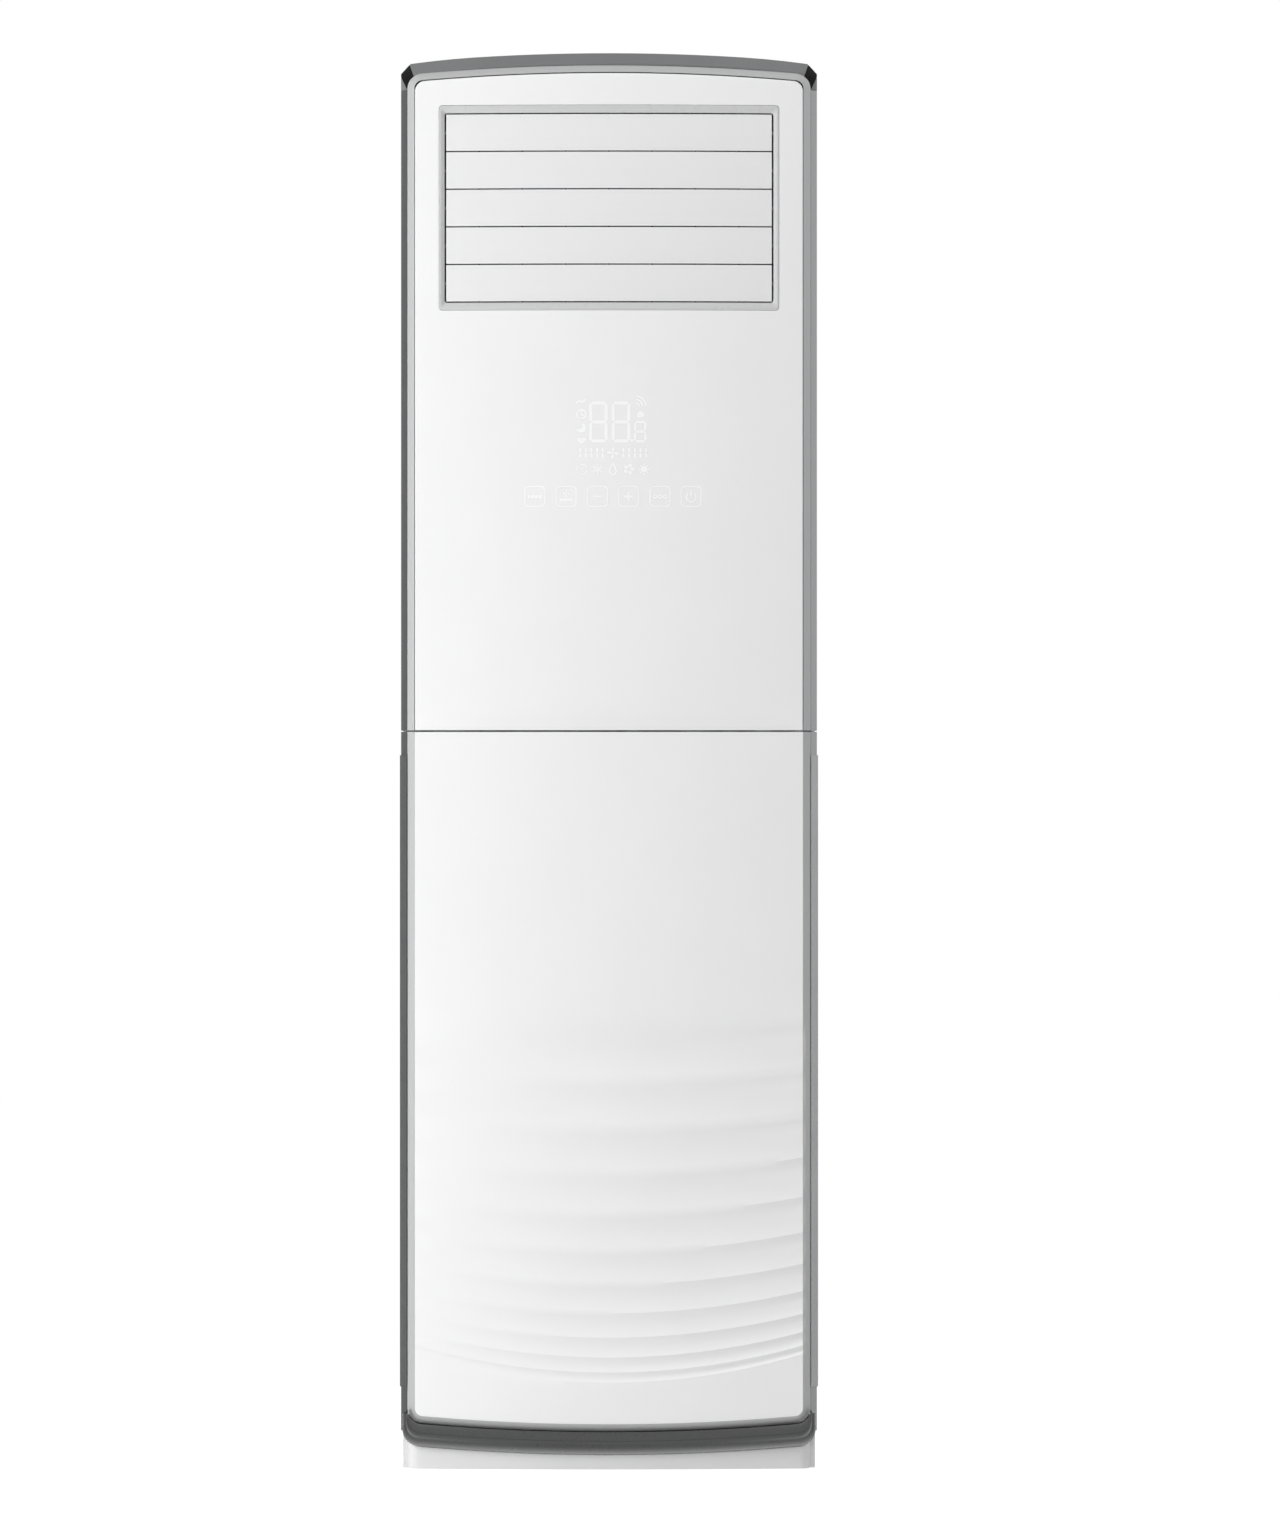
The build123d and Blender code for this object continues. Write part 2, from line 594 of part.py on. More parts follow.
def cap_region(clearance):
    """Front corner of the cover that the right corner cap takes, slanting up to the outside."""
    rise = CAP_RISE / (SHELL_HALF - RIM_HALF)
    foot = RIM_HALF + clearance
    inside = CAP_HALF - clearance
    outside = WIDTH / 2
    region = Polyline((inside, COVER_SKIRT_Z - EPS), (foot - EPS / rise, COVER_SKIRT_Z - EPS),
                      (outside, COVER_SKIRT_Z + (outside - foot) * rise), (outside, HEIGHT + EPS),
                      (inside, HEIGHT + EPS), close=True)
    return front_prism(make_face(region), BOX_FRONT_Y, CAP_BACK_Y + clearance)


def cover_shell():
    shell = cover_block() - cover_block(MOULD)
    return shell - rim_space(SEAT)


def top_cover():
    shell = cover_shell() - cap_region(SEAT)
    return shell - to_left(cap_region(SEAT))


def corner_cap():
    return cover_shell() & cap_region(0)


def plinth_block(margin, z_low, z_high):
    """Everything within the plinth's outer walls, drawn in by a margin."""
    body = bow_block(PLINTH_RECESS + margin, REAR_Y - SHEET - margin, z_low, z_high,
                     PLINTH_HALF - margin)
    return fillet(body.edges().filter_by(Axis.Z), PLINTH_CORNER - margin)


def base_pan():
    """Folded plinth: a tray with its floor on the ground and four anchor holes."""
    pan = plinth_block(0, 0, PLINTH_HEIGHT)
    pan -= plinth_block(PLINTH_WALL, PLINTH_WALL, PLINTH_HEIGHT + EPS)
    for x in (-ANCHOR_X / 2, ANCHOR_X / 2):
        for y in (-ANCHOR_Y / 2, ANCHOR_Y / 2):
            pan -= rod_z(ANCHOR_R, -EPS, PLINTH_WALL + EPS, x, y)
    return pan


def lower_rim_space(clearance):
    """Room that the lower front panel takes, for the band round its foot."""
    outline = front_outline(RIM_HALF + clearance, LOWER_LOW_Z - clearance, SEAM_Z,
                            r_low=LOWER_CORNER, arch_low=True)
    return front_prism(outline, BOX_FRONT_Y - EPS, RIM_BACK_Y + clearance)


def bottom_band():
    """Dark moulding that wraps the foot of the front, with a ledge along its middle."""
    y_back = BAND_BACK_Y
    outline = front_outline(BAND_HALF, BAND_LOW_Z, BAND_END_Z, r_low=BAND_CORNER, arch_low=True)
    band = front_prism(outline, BOX_FRONT_Y, y_back)
    band &= bow_block(-BAND_PROUD, y_back, 0, BAND_END_Z, BAND_HALF + EPS)
    band = chamfer(front_edges(band, -BAND_PROUD, below=BAND_END_Z - EPS), BAND_CHAMFER)
    above = front_outline(BAND_HALF + EPS, BAND_LEDGE_Z, BAND_END_Z + EPS, arch_low=True)
    band -= front_prism(above, BOX_FRONT_Y, y_back) & bow_shell(
        -BAND_PROUD - EPS, BAND_LEDGE + EPS, 0, BAND_END_Z + EPS, BAND_HALF + EPS)
    return band - lower_rim_space(SEAT) - plinth_block(-SEAT, -EPS, BAND_END_Z + EPS)


def cross_rail():
    """Folded rail across the front behind the seam."""
    y0 = RIM_BACK_Y + SEAT
    z0, z1 = SEAM_Z - RAIL_HEIGHT / 2, SEAM_Z + RAIL_HEIGHT / 2
    half = shell_inner_x(y0) - SEAT
    rail = block(-half, half, y0, y0 + RAIL_DEPTH, z0, z1)
    return rail - block(-half - EPS, half + EPS, y0 + SHEET, y0 + RAIL_DEPTH + EPS,
                        z0 + SHEET, z1 - SHEET)


# ---------------------------------------------------------------- upper front
def upper_frame():
    """Rim round the white face, with the flange that carries the face panel."""
    outline = front_outline(RIM_HALF, UPPER_LOW_Z, RIM_TOP_Z, r_high=RIM_CORNER, arch_high=True)
    body = front_prism(outline, BOX_FRONT_Y, RIM_BACK_Y)
    body &= bow_block(0, RIM_BACK_Y, SEAM_Z - EPS, HEIGHT, RIM_HALF + EPS)
    body = chamfer(front_edges(body, 0, above=UPPER_LOW_Z + EPS), RIM_CHAMFER)
    body -= front_prism(face_outline(0), BOX_FRONT_Y, RIM_BACK_Y + EPS)
    flange = front_prism(face_outline(-EPS / 2), BOX_FRONT_Y, RIM_BACK_Y)
    flange &= bow_shell(FLANGE_INSET, FLANGE_THICK, UPPER_LOW_Z, HEIGHT, RIM_HALF)
    window = front_outline(FACE_RECESS_HALF - FLANGE_WIDTH, UPPER_LOW_Z + FLANGE_WIDTH,
                           FACE_RECESS_TOP_Z - FLANGE_WIDTH, r_high=FACE_CORNER, arch_high=True)
    return body + (flange - front_prism(window, BOX_FRONT_Y, RIM_BACK_Y))


def face_outline(gap):
    """Outline of the recess that holds the face panel, drawn in by a gap."""
    return front_outline(FACE_RECESS_HALF - gap, UPPER_LOW_Z - (0 if gap > 0 else EPS),
                         FACE_RECESS_TOP_Z - gap, r_high=FACE_CORNER, arch_high=True)


def upper_face_panel():
    """White gloss face with a turned-back edge and the outlet hole."""
    z0, z1 = UPPER_LOW_Z - EPS, FACE_RECESS_TOP_Z
    panel = front_prism(face_outline(FACE_GAP), BOX_FRONT_Y, RIM_BACK_Y)
    panel &= bow_shell(0, FACE_SKIRT, z0, z1, FACE_HALF + EPS)
    inside = front_outline(FACE_HALF - MOULD, UPPER_LOW_Z + MOULD, z1 - FACE_GAP - MOULD,
                           r_high=FACE_CORNER - MOULD, arch_high=True)
    panel -= front_prism(inside, BOX_FRONT_Y, RIM_BACK_Y) & bow_block(
        FACE_THICK, RIM_BACK_Y, z0, z1, FACE_HALF + EPS)
    hole = rect_outline(BEZEL_HALF + SEAT, BEZEL_HALF_HEIGHT + SEAT, OUTLET_Z, BEZEL_CORNER)
    return panel - front_prism(hole, BOX_FRONT_Y, RIM_BACK_Y)


def louvre_heights():
    """Pivot heights of the louvre blades, from the lowest up."""
    first = OUTLET_Z - (LOUVRE_COUNT - 1) / 2 * LOUVRE_PITCH
    return [first + i * LOUVRE_PITCH for i in range(LOUVRE_COUNT)]


def vane_places():
    """X positions of the swing vanes, from the left."""
    first = -(VANE_COUNT - 1) / 2 * VANE_PITCH
    return [first + i * VANE_PITCH for i in range(VANE_COUNT)]


def outlet_frame():
    """Bezel that follows the bow, with the collar that carries louvres and vanes behind it."""
    z0, z1 = OUTLET_Z - 2 * BEZEL_HALF_HEIGHT, OUTLET_Z + 2 * BEZEL_HALF_HEIGHT
    outer = rect_outline(BEZEL_HALF, BEZEL_HALF_HEIGHT, OUTLET_Z, BEZEL_CORNER)
    body = front_prism(outer, BOX_FRONT_Y, COLLAR_BACK_Y)
    body &= bow_block(0, COLLAR_BACK_Y, z0, z1, BEZEL_HALF + EPS)
    opening = rect_outline(OUTLET_HALF, OUTLET_HALF_HEIGHT, OUTLET_Z)
    lip = body - front_prism(opening, BOX_FRONT_Y, COLLAR_BACK_Y + EPS)
    inner_edges = [e for e in front_edges(lip, 0)
                   if abs((e @ 0.5).X) < OUTLET_HALF + 0.1
                   and abs((e @ 0.5).Z - OUTLET_Z) < OUTLET_HALF_HEIGHT + 0.1]
    lip = chamfer(inner_edges, BEZEL_CHAMFER - SEAT)
    cavity = rect_outline(COLLAR_HALF, COLLAR_HALF_HEIGHT, OUTLET_Z, BEZEL_CORNER - COLLAR_WALL)
    frame = lip - (front_prism(cavity, BOX_FRONT_Y, COLLAR_BACK_Y + EPS)
                   & bow_block(LIP_DEPTH, COLLAR_BACK_Y + EPS, z0, z1, BEZEL_HALF + EPS))
    reach = BEZEL_HALF_HEIGHT + BEZEL_FLANGE
    flange = front_prism(rect_outline(OUTLET_HALF, reach, OUTLET_Z), BOX_FRONT_Y, COLLAR_BACK_Y)
    flange -= front_prism(rect_outline(BEZEL_HALF, BEZEL_HALF_HEIGHT - EPS, OUTLET_Z),
                          BOX_FRONT_Y, COLLAR_BACK_Y + EPS)
    frame += flange & bow_shell(FACE_THICK + SEAT, COLLAR_WALL, z0, z1, BEZEL_HALF)
    for z in louvre_heights():
        frame -= rod_x(LOUVRE_PIN_R + RUN, -BEZEL_HALF - EPS, BEZEL_HALF + EPS, LOUVRE_PIVOT_Y, z)
    low, high = OUTLET_Z - BEZEL_HALF_HEIGHT, OUTLET_Z + BEZEL_HALF_HEIGHT
    for x in vane_places():
        frame -= rod_z(LOUVRE_PIN_R + RUN, low - EPS, high + EPS, x, VANE_PIVOT_Y)
    return frame


def crank_arm(radius, thickness):
    """Flat arm from a pivot at the origin to a crank pin at +Y, lying in XY."""
    hub = CRANK_HALF * 2
    arm = Pos(0, radius / 2) * Rot(0, 0, 90) * SlotCenterToCenter(radius, hub)
    return extrude(arm, thickness)


def louvre_blade(z):
    """Bowed blade with an ear and a pin at each end and its crank on the left."""
    half_height = (LOUVRE_PITCH - LOUVRE_GAP) / 2
    outline = rect_outline(LOUVRE_HALF, half_height, z, 1.5)
    plate = front_prism(outline, BOX_FRONT_Y, COLLAR_BACK_Y)
    plate &= bow_shell(LOUVRE_INSET, LOUVRE_THICK, z - 2 * half_height, z + 2 * half_height,
                       LOUVRE_HALF + EPS)
    ear_front = bow_y(LOUVRE_HALF, LOUVRE_INSET + LOUVRE_THICK / 2)
    blade = plate
    for side in (-1, 1):
        x0, x1 = sorted((side * LOUVRE_HALF, side * (LOUVRE_HALF - LOUVRE_EAR)))
        blade += block(x0, x1, ear_front, LOUVRE_PIVOT_Y, z - LOUVRE_EAR_HALF, z + LOUVRE_EAR_HALF)
        blade += rod_x(LOUVRE_EAR_HALF, x0, x1, LOUVRE_PIVOT_Y, z)
    arm_x = -BEZEL_HALF - CRANK_GAP - CRANK_THICK
    link_x = arm_x - CRANK_GAP - LINK_THICK
    blade += rod_x(LOUVRE_PIN_R, arm_x, -LOUVRE_HALF + EPS, LOUVRE_PIVOT_Y, z)
    blade += rod_x(LOUVRE_PIN_R, LOUVRE_HALF - EPS, BEZEL_HALF + STEPPER_BORE, LOUVRE_PIVOT_Y, z) \
        if abs(z - OUTLET_Z) < EPS else \
        rod_x(LOUVRE_PIN_R, LOUVRE_HALF - EPS, BEZEL_HALF + CRANK_GAP, LOUVRE_PIVOT_Y, z)
    arm = Rot(-LOUVRE_TRAVEL / 2, 0, 0) * Rot(0, 90, 0) * crank_arm(CRANK_RADIUS, CRANK_THICK)
    pin = rod_x(CRANK_PIN_R, link_x - CRANK_GAP, arm_x + EPS, CRANK_PIN_Y, z - CRANK_PIN_DROP)
    return blade + Pos(arm_x, LOUVRE_PIVOT_Y, z) * arm + pin


def louvre_link_bar():
    """Flat bar that ties the five louvre cranks together."""
    x1 = -BEZEL_HALF - 2 * CRANK_GAP - CRANK_THICK
    heights = [z - CRANK_PIN_DROP for z in louvre_heights()]
    length = heights[-1] - heights[0]
    shape = SlotCenterToCenter(length, 2 * LINK_HALF)
    bar = Pos(x1 - LINK_THICK, CRANK_PIN_Y, heights[0] + length / 2) * Rot(0, 90, 0) * extrude(
        shape, LINK_THICK)
    for z in heights:
        bar -= rod_x(CRANK_PIN_R + RUN, x1 - LINK_THICK - EPS, x1 + EPS, CRANK_PIN_Y, z)
    return bar


def swing_vane(x):
    """Upright vane with pins above and below and its crank under the collar."""
    low, high = OUTLET_Z - BEZEL_HALF_HEIGHT, OUTLET_Z + BEZEL_HALF_HEIGHT
    z0 = low + COLLAR_FLOOR + VANE_END_GAP
    z1 = high - COLLAR_FLOOR - VANE_END_GAP
    plate = block(x - VANE_THICK / 2, x + VANE_THICK / 2, VANE_PIVOT_Y - VANE_DEPTH / 2,
                  VANE_PIVOT_Y + VANE_DEPTH / 2, z0, z1)
    plate = fillet(plate.edges().filter_by(Axis.X), 6)
    arm_z = low - CRANK_GAP - CRANK_THICK
    top = high + (STEPPER_BORE if abs(x) < EPS else CRANK_GAP)
    vane = plate + rod_z(LOUVRE_PIN_R, arm_z, z0 + EPS, x, VANE_PIVOT_Y)
    vane += rod_z(LOUVRE_PIN_R, z1 - EPS, top, x, VANE_PIVOT_Y)
    vane += Pos(x, VANE_PIVOT_Y, arm_z) * crank_arm(VANE_CRANK_RADIUS, CRANK_THICK)
    pin_y = VANE_PIVOT_Y + VANE_CRANK_RADIUS
    pin_low = arm_z - 2 * CRANK_GAP - LINK_THICK
    return vane + rod_z(CRANK_PIN_R, pin_low, arm_z + EPS, x, pin_y)


def vane_link_bar():
    """Flat bar that ties the vane cranks together."""
    z1 = OUTLET_Z - BEZEL_HALF_HEIGHT - 2 * CRANK_GAP - CRANK_THICK
    y = VANE_PIVOT_Y + VANE_CRANK_RADIUS
    places = vane_places()
    shape = SlotCenterToCenter(places[-1] - places[0], 2 * LINK_HALF)
    bar = Pos(0, y, z1 - LINK_THICK) * extrude(shape, LINK_THICK)
    for x in places:
        bar -= rod_z(CRANK_PIN_R + RUN, z1 - LINK_THICK - EPS, z1 + EPS, x, y)
    return bar


def stepper():
    """Small geared stepper on the +Z side of the origin, its hub bored for the driven pin."""
    body = Pos(0, STEPPER_OFFSET, STEPPER_LENGTH / 2) * Cylinder(STEPPER_R, STEPPER_LENGTH)
    ear_line = SlotCenterToCenter(2 * STEPPER_EAR_X, 2 * STEPPER_EAR_R)
    ears = extrude(Pos(0, STEPPER_OFFSET) * ear_line, STEPPER_EAR_THICK)
    plug = Pos(0, STEPPER_OFFSET + STEPPER_R, STEPPER_LENGTH / 2) * Box(
        STEPPER_R, 6, STEPPER_LENGTH - 4)
    bore = Cylinder(LOUVRE_PIN_R + RUN, 2 * (STEPPER_BORE + EPS))
    motor = body + ears + plug - bore
    for x in (-STEPPER_EAR_X, STEPPER_EAR_X):
        motor -= Pos(x, STEPPER_OFFSET) * Cylinder(LOUVRE_PIN_R, 4 * STEPPER_EAR_THICK)
    return motor


def louvre_motor():
    return Pos(BEZEL_HALF + SEAT, LOUVRE_PIVOT_Y, OUTLET_Z) * Rot(0, 90, 0) * stepper()


def vane_motor():
    return Pos(0, VANE_PIVOT_Y, OUTLET_Z + BEZEL_HALF_HEIGHT + SEAT) * stepper()


def display_board():
    """Board behind the face with its digits, held on four posts."""
    y0 = FACE_CROWN_Y + DISPLAY_SETBACK
    board = block(DISPLAY_X - DISPLAY_HALF, DISPLAY_X + DISPLAY_HALF, y0, y0 + BOARD_THICK,
                  DISPLAY_Z - DISPLAY_HALF_HEIGHT, DISPLAY_Z + DISPLAY_HALF_HEIGHT)
    for side_x in (-1, 1):
        x = DISPLAY_X + side_x * (DISPLAY_HALF - 2 * DISPLAY_POST_R)
        front = bow_y(abs(x) - DISPLAY_POST_R, FACE_THICK) + 2 * SEAT
        for side_z in (-1, 1):
            z = DISPLAY_Z + side_z * (DISPLAY_HALF_HEIGHT - 2 * DISPLAY_POST_R)
            board += rod_y(DISPLAY_POST_R, front, y0 + EPS, x, z)
    digit_front = FACE_CROWN_Y + FACE_THICK + EPS
    board += block(DISPLAY_X - DIGITS_LEFT, DISPLAY_X + DIGITS_RIGHT, digit_front, y0 + EPS,
                   DISPLAY_Z + DIGITS_LOW, DISPLAY_Z + DIGITS_HIGH)
    return board


# ---------------------------------------------------------------- lower front panel
def ripple_ridges():
    """Centre-line height, front-view radius and scallop depth below it, for each ridge."""
    first_curve, last_curve = 1 / RIPPLE_FIRST_RADIUS, 1 / RIPPLE_LAST_RADIUS
    ridges = []
    z = RIPPLE_TOP_Z
    for i in range(RIPPLE_COUNT + 1):
        t = i / RIPPLE_COUNT
        radius = 1 / (first_curve + (last_curve - first_curve) * t)
        depth = RIPPLE_FIRST_DEPTH + (RIPPLE_LAST_DEPTH - RIPPLE_FIRST_DEPTH) * t
        ridges.append((z, radius, depth))
        closing = (i / (RIPPLE_COUNT - 1))**RIPPLE_PITCH_POWER
        z -= RIPPLE_FIRST_PITCH + (RIPPLE_LAST_PITCH - RIPPLE_FIRST_PITCH) * closing
    return ridges


def ripple_section(x):
    """Upright section of the ripple cutter at x: one scallop between each two ridges."""
    ridges = ripple_ridges()
    y_ridge = bow_y(x, RIPPLE_SINK)
    y_proud = bow_y(x) - 2 * EPS
    heights = [z + radius - sqrt(radius**2 - x**2) for z, radius, _ in ridges]
    edges = [Line((y_proud, heights[0]), (y_ridge, heights[0]))]
    for high, low, (_, _, depth) in zip(heights, heights[1:], ridges):
        valley = (y_ridge + depth, (high + low) / 2)
        edges.append(ThreePointArc((y_ridge, high), valley, (y_ridge, low)))
    edges.append(Line((y_ridge, heights[-1]), (y_proud, heights[-1])))
    edges.append(Line((y_proud, heights[-1]), (y_proud, heights[0])))
    return Plane.YZ.offset(x) * make_face(edges)


def ripple_cutter():
    """All the scallops as one body, drawn from side to side through its sections."""
    step = 2 * RIM_HALF / (RIPPLE_STATIONS - 1)
    return loft([ripple_section(-RIM_HALF + i * step) for i in range(RIPPLE_STATIONS)])


def lower_front_panel():
    """Bowed lift-off panel with rounded foot, bevelled edge, fine groove and ripples."""
    outline = front_outline(RIM_HALF, LOWER_LOW_Z, LOWER_HIGH_Z, r_low=LOWER_CORNER, arch_low=True)
    body = front_prism(outline, BOX_FRONT_Y, RIM_BACK_Y)
    body &= bow_block(0, RIM_BACK_Y, 0, SEAM_Z + EPS, RIM_HALF + EPS)
    body = chamfer(front_edges(body, 0, below=LOWER_HIGH_Z - EPS), RIM_CHAMFER)
    inside = front_outline(RIM_HALF - MOULD, LOWER_LOW_Z + MOULD, LOWER_HIGH_Z - MOULD,
                           r_low=LOWER_CORNER - MOULD, arch_low=True)
    body -= front_prism(inside, BOX_FRONT_Y, RIM_BACK_Y + EPS) & bow_block(
        LOWER_THICK, RIM_BACK_Y + EPS, 0, SEAM_Z, RIM_HALF + EPS)
    groove = groove_outline(GROOVE_INSET) - groove_outline(GROOVE_INSET + GROOVE_WIDTH)
    body -= front_prism(groove, BOX_FRONT_Y, RIM_BACK_Y) & bow_shell(
        -EPS, GROOVE_DEPTH + EPS, 0, SEAM_Z + EPS, RIM_HALF)
    face = front_prism(groove_outline(GROOVE_INSET + GROOVE_WIDTH), BOX_FRONT_Y, RIM_BACK_Y)
    return body - (ripple_cutter() & face)


def groove_outline(inset):
    return front_outline(RIM_HALF - inset, LOWER_LOW_Z + inset, SEAM_Z + EPS,
                         r_low=LOWER_CORNER - inset + 2, arch_low=True)


# ---------------------------------------------------------------- duct and evaporator
def outlet_duct():
    """Foam elbow that leads the air from the evaporator to the outlet collar."""
    y0, y1 = COLLAR_BACK_Y + SEAT, REAR_INNER_Y - BEAD_DEPTH - SEAT
    duct = block(-DUCT_HALF, DUCT_HALF, y0, y1, DUCT_LOW_Z, DUCT_HIGH_Z)
    duct -= block(-DUCT_HALF + DUCT_WALL, DUCT_HALF - DUCT_WALL, y0 + DUCT_WALL, y1 - DUCT_WALL,
                  DUCT_LOW_Z - EPS, DUCT_HIGH_Z - DUCT_WALL)
    return duct - block(-COLLAR_HALF, COLLAR_HALF, y0 - EPS, y0 + DUCT_WALL + EPS,
                        OUTLET_Z - COLLAR_HALF_HEIGHT, OUTLET_Z + COLLAR_HALF_HEIGHT)


def coil_place():
    """Frame of the leaning evaporator: its local Z runs up along the fins."""
    return Pos(0, COIL_FOOT_Y, COIL_FOOT_Z) * Rot(-COIL_LEAN, 0, 0)


def evaporator_fins():
    """Fin block, its front combed into fins that stand across the tubes."""
    half = COIL_HALF - SEAT
    pitch = 2 * half / FIN_COUNT
    y0, y1 = -COIL_THICK / 2, COIL_THICK / 2
    core = Pos(0, FIN_DEPTH / 2) * Rectangle(2 * half, COIL_THICK - FIN_DEPTH)
    for i in range(FIN_COUNT):
        x = -half + (i + 0.5) * pitch
        core += Pos(x, y0 + FIN_DEPTH / 2) * Rectangle(FIN_THICK, FIN_DEPTH)
    return coil_place() * extrude(core, COIL_LENGTH)


def end_plate():
    """Folded plate at the right end of the coil, still without its tube holes."""
    half = COIL_THICK / 2 + END_PLATE_LIP
    plate = block(COIL_HALF, COIL_HALF + END_PLATE, -half, half, 0, COIL_LENGTH)
    lip = block(COIL_HALF, COIL_HALF + END_PLATE + END_PLATE_LIP, -half, -half + END_PLATE,
                0, COIL_LENGTH)
    return plate + lip


def tube_places():
    """Where the tubes leave the end plates, as pairs joined by a bend."""
    step = COIL_LENGTH / BEND_COUNT
    places = []
    for i in range(BEND_COUNT):
        middle = (i + 0.5) * step
        places += [(0, middle - BEND_RADIUS), (0, middle + BEND_RADIUS)]
    return places


def coil_foot():
    """Upright foot that stands an end plate in the drain pan."""
    pan_floor = DECK_Z + SHEET + SEAT + PAN_WALL
    return block(COIL_HALF, COIL_HALF + END_PLATE, COIL_FOOT_Y - COIL_THICK / 3,
                 COIL_FOOT_Y + COIL_THICK / 3, pan_floor + SEAT, COIL_FOOT_Z + COIL_THICK / 2)


def coil_end_plates():
    plate = coil_place() * end_plate() + coil_foot()
    for y, z in tube_places():
        plate -= coil_place() * rod_x(BEND_TUBE_R + SEAT, 0, WIDTH, y, z)
    return Compound(children=[plate, to_left(plate)])


def return_bend(z):
    """Copper bend that joins two tubes outside the left end plate."""
    x0 = COIL_HALF + SEAT
    path_x = COIL_HALF + END_PLATE + STUB_REACH
    low, high = z - BEND_RADIUS, z + BEND_RADIUS
    path = Line((x0, 0, low), (path_x, 0, low))
    path += ThreePointArc((path_x, 0, low), (path_x + BEND_RADIUS, 0, z), (path_x, 0, high))
    path += Line((path_x, 0, high), (x0, 0, high))
    section = Plane(origin=(x0, 0, low), z_dir=(1, 0, 0)) * Circle(BEND_TUBE_R)
    return sweep(section, path=path)


def header_rods(radius):
    """The gas header below and the liquid header above it, each a plain rod along the coil."""
    step = COIL_LENGTH / BEND_COUNT
    split = GAS_BEND_COUNT * step
    return [rod_z(radius, step / 4, split - HEADER_GAP / 2, PIPE_X, 0),
            rod_z(radius, split + HEADER_GAP / 2, COIL_LENGTH - step / 4, PIPE_X, 0)]


def evaporator_tubes():
    """Return bends on the left, stubs and the two headers on the right."""
    step = COIL_LENGTH / BEND_COUNT
    middles = [(i + 0.5) * step for i in range(BEND_COUNT)]
    bends = [coil_place() * to_left(return_bend(z)) for z in middles]
    gas, liquid = header_rods(HEADER_R)
    split = GAS_BEND_COUNT * step
    for _, z in tube_places():
        stub = rod_x(BEND_TUBE_R, COIL_HALF + SEAT, PIPE_X, 0, z)
        if z < split:
            gas += stub
        else:
            liquid += stub
    return Compound(children=bends + [coil_place() * gas, coil_place() * liquid])


def drain_pan():
    """Trough under the coil with a spout that goes down through the deck."""
    z0 = DECK_Z + SHEET + SEAT
    y0 = RAIL_BACK_Y + SEAT
    pan = block(-PAN_HALF, PAN_HALF, y0, PAN_BACK_Y, z0, z0 + PAN_HEIGHT)
    pan -= block(-PAN_HALF + PAN_WALL, PAN_HALF - PAN_WALL, y0 + PAN_WALL,
                 PAN_BACK_Y - PAN_WALL, z0 + PAN_WALL, z0 + PAN_HEIGHT + EPS)
    pan += rod_z(SPOUT_R, z0 - SPOUT_LENGTH, z0 + PAN_WALL, SPOUT_X, SPOUT_Y)
    return pan - rod_z(SPOUT_BORE_R, z0 - SPOUT_LENGTH - EPS, z0 + PAN_HEIGHT, SPOUT_X, SPOUT_Y)


def flare_pipe(radius, y, nut_r):
    """Pipe that rises from its flare nut and ends in a saddle on the coil's header."""
    meet_z = COIL_FOOT_Z + (y - COIL_FOOT_Y) / tan(radians(COIL_LEAN))
    tube = rod_z(radius, PIPE_LOW_Z, meet_z, PIPE_X, y)
    nut = RegularPolygon(nut_r, 6)
    tube += Pos(PIPE_X, y, PIPE_LOW_Z) * extrude(nut, NUT_HEIGHT)
    for rod in header_rods(HEADER_R + SEAT):
        tube -= coil_place() * rod
    return tube


# ---------------------------------------------------------------- blower
def scroll_line():
    """Inner line of the scroll on its four centres, and the two ends of its neck."""
    a, r = SCROLL_STEP, SCROLL_FIRST_R
    x, z = WHEEL_X, WHEEL_Z
    neck_top = DECK_Z - SEAT
    first = (x + a / 2, z - a / 2)
    second = (x - a / 2, z - a / 2)
    third = (x - a / 2, z + a / 2)
    tip = (first[0], first[1] + r)
    right = (first[0] + r, first[1])
    bottom = (second[0], second[1] - r - a)
    left = (third[0] - r - 2 * a, third[1])
    c = cos(radians(45))
    arcs = [
        ThreePointArc(tip, (first[0] + c * r, first[1] + c * r), right),
        ThreePointArc(right, (second[0] + c * (r + a), second[1] - c * (r + a)), bottom),
        ThreePointArc(bottom, (third[0] - c * (r + 2 * a), third[1] - c * (r + 2 * a)), left),
    ]
    tongue = (tip[0] - SCROLL_TONGUE, tip[1] + SCROLL_TONGUE)
    lip = ThreePointArc(tongue, (tip[0] - c * SCROLL_TONGUE, tip[1] + (1 - c) * SCROLL_TONGUE), tip)
    neck = Line((tongue[0], neck_top), tongue)
    return [neck, lip] + arcs + [Line(left, (left[0], neck_top)),
                                 Line((left[0], neck_top), (tongue[0], neck_top))]


def scroll_casing():
    """Scroll wall and back plate round the wheel, its neck open to the deck."""
    hollow = make_face(scroll_line())
    outer = offset(hollow, SCROLL_WALL)
    body = front_prism(outer, SCROLL_FRONT_Y, SCROLL_BACK_Y)
    body -= front_prism(hollow, SCROLL_FRONT_Y - EPS, SCROLL_BACK_Y - SCROLL_WALL)
    body -= block(-WIDTH / 2, WIDTH / 2, SCROLL_FRONT_Y - EPS, SCROLL_BACK_Y - SCROLL_WALL,
                  DECK_Z - SEAT - EPS, DECK_Z + WIDTH)
    body -= block(-WIDTH / 2, WIDTH / 2, SCROLL_FRONT_Y - EPS, SCROLL_BACK_Y + EPS,
                  DECK_Z - SEAT, DECK_Z + WIDTH)
    return body - rod_y(MOTOR_HOLE_R, SCROLL_FRONT_Y, SCROLL_BACK_Y + EPS, WHEEL_X, WHEEL_Z)


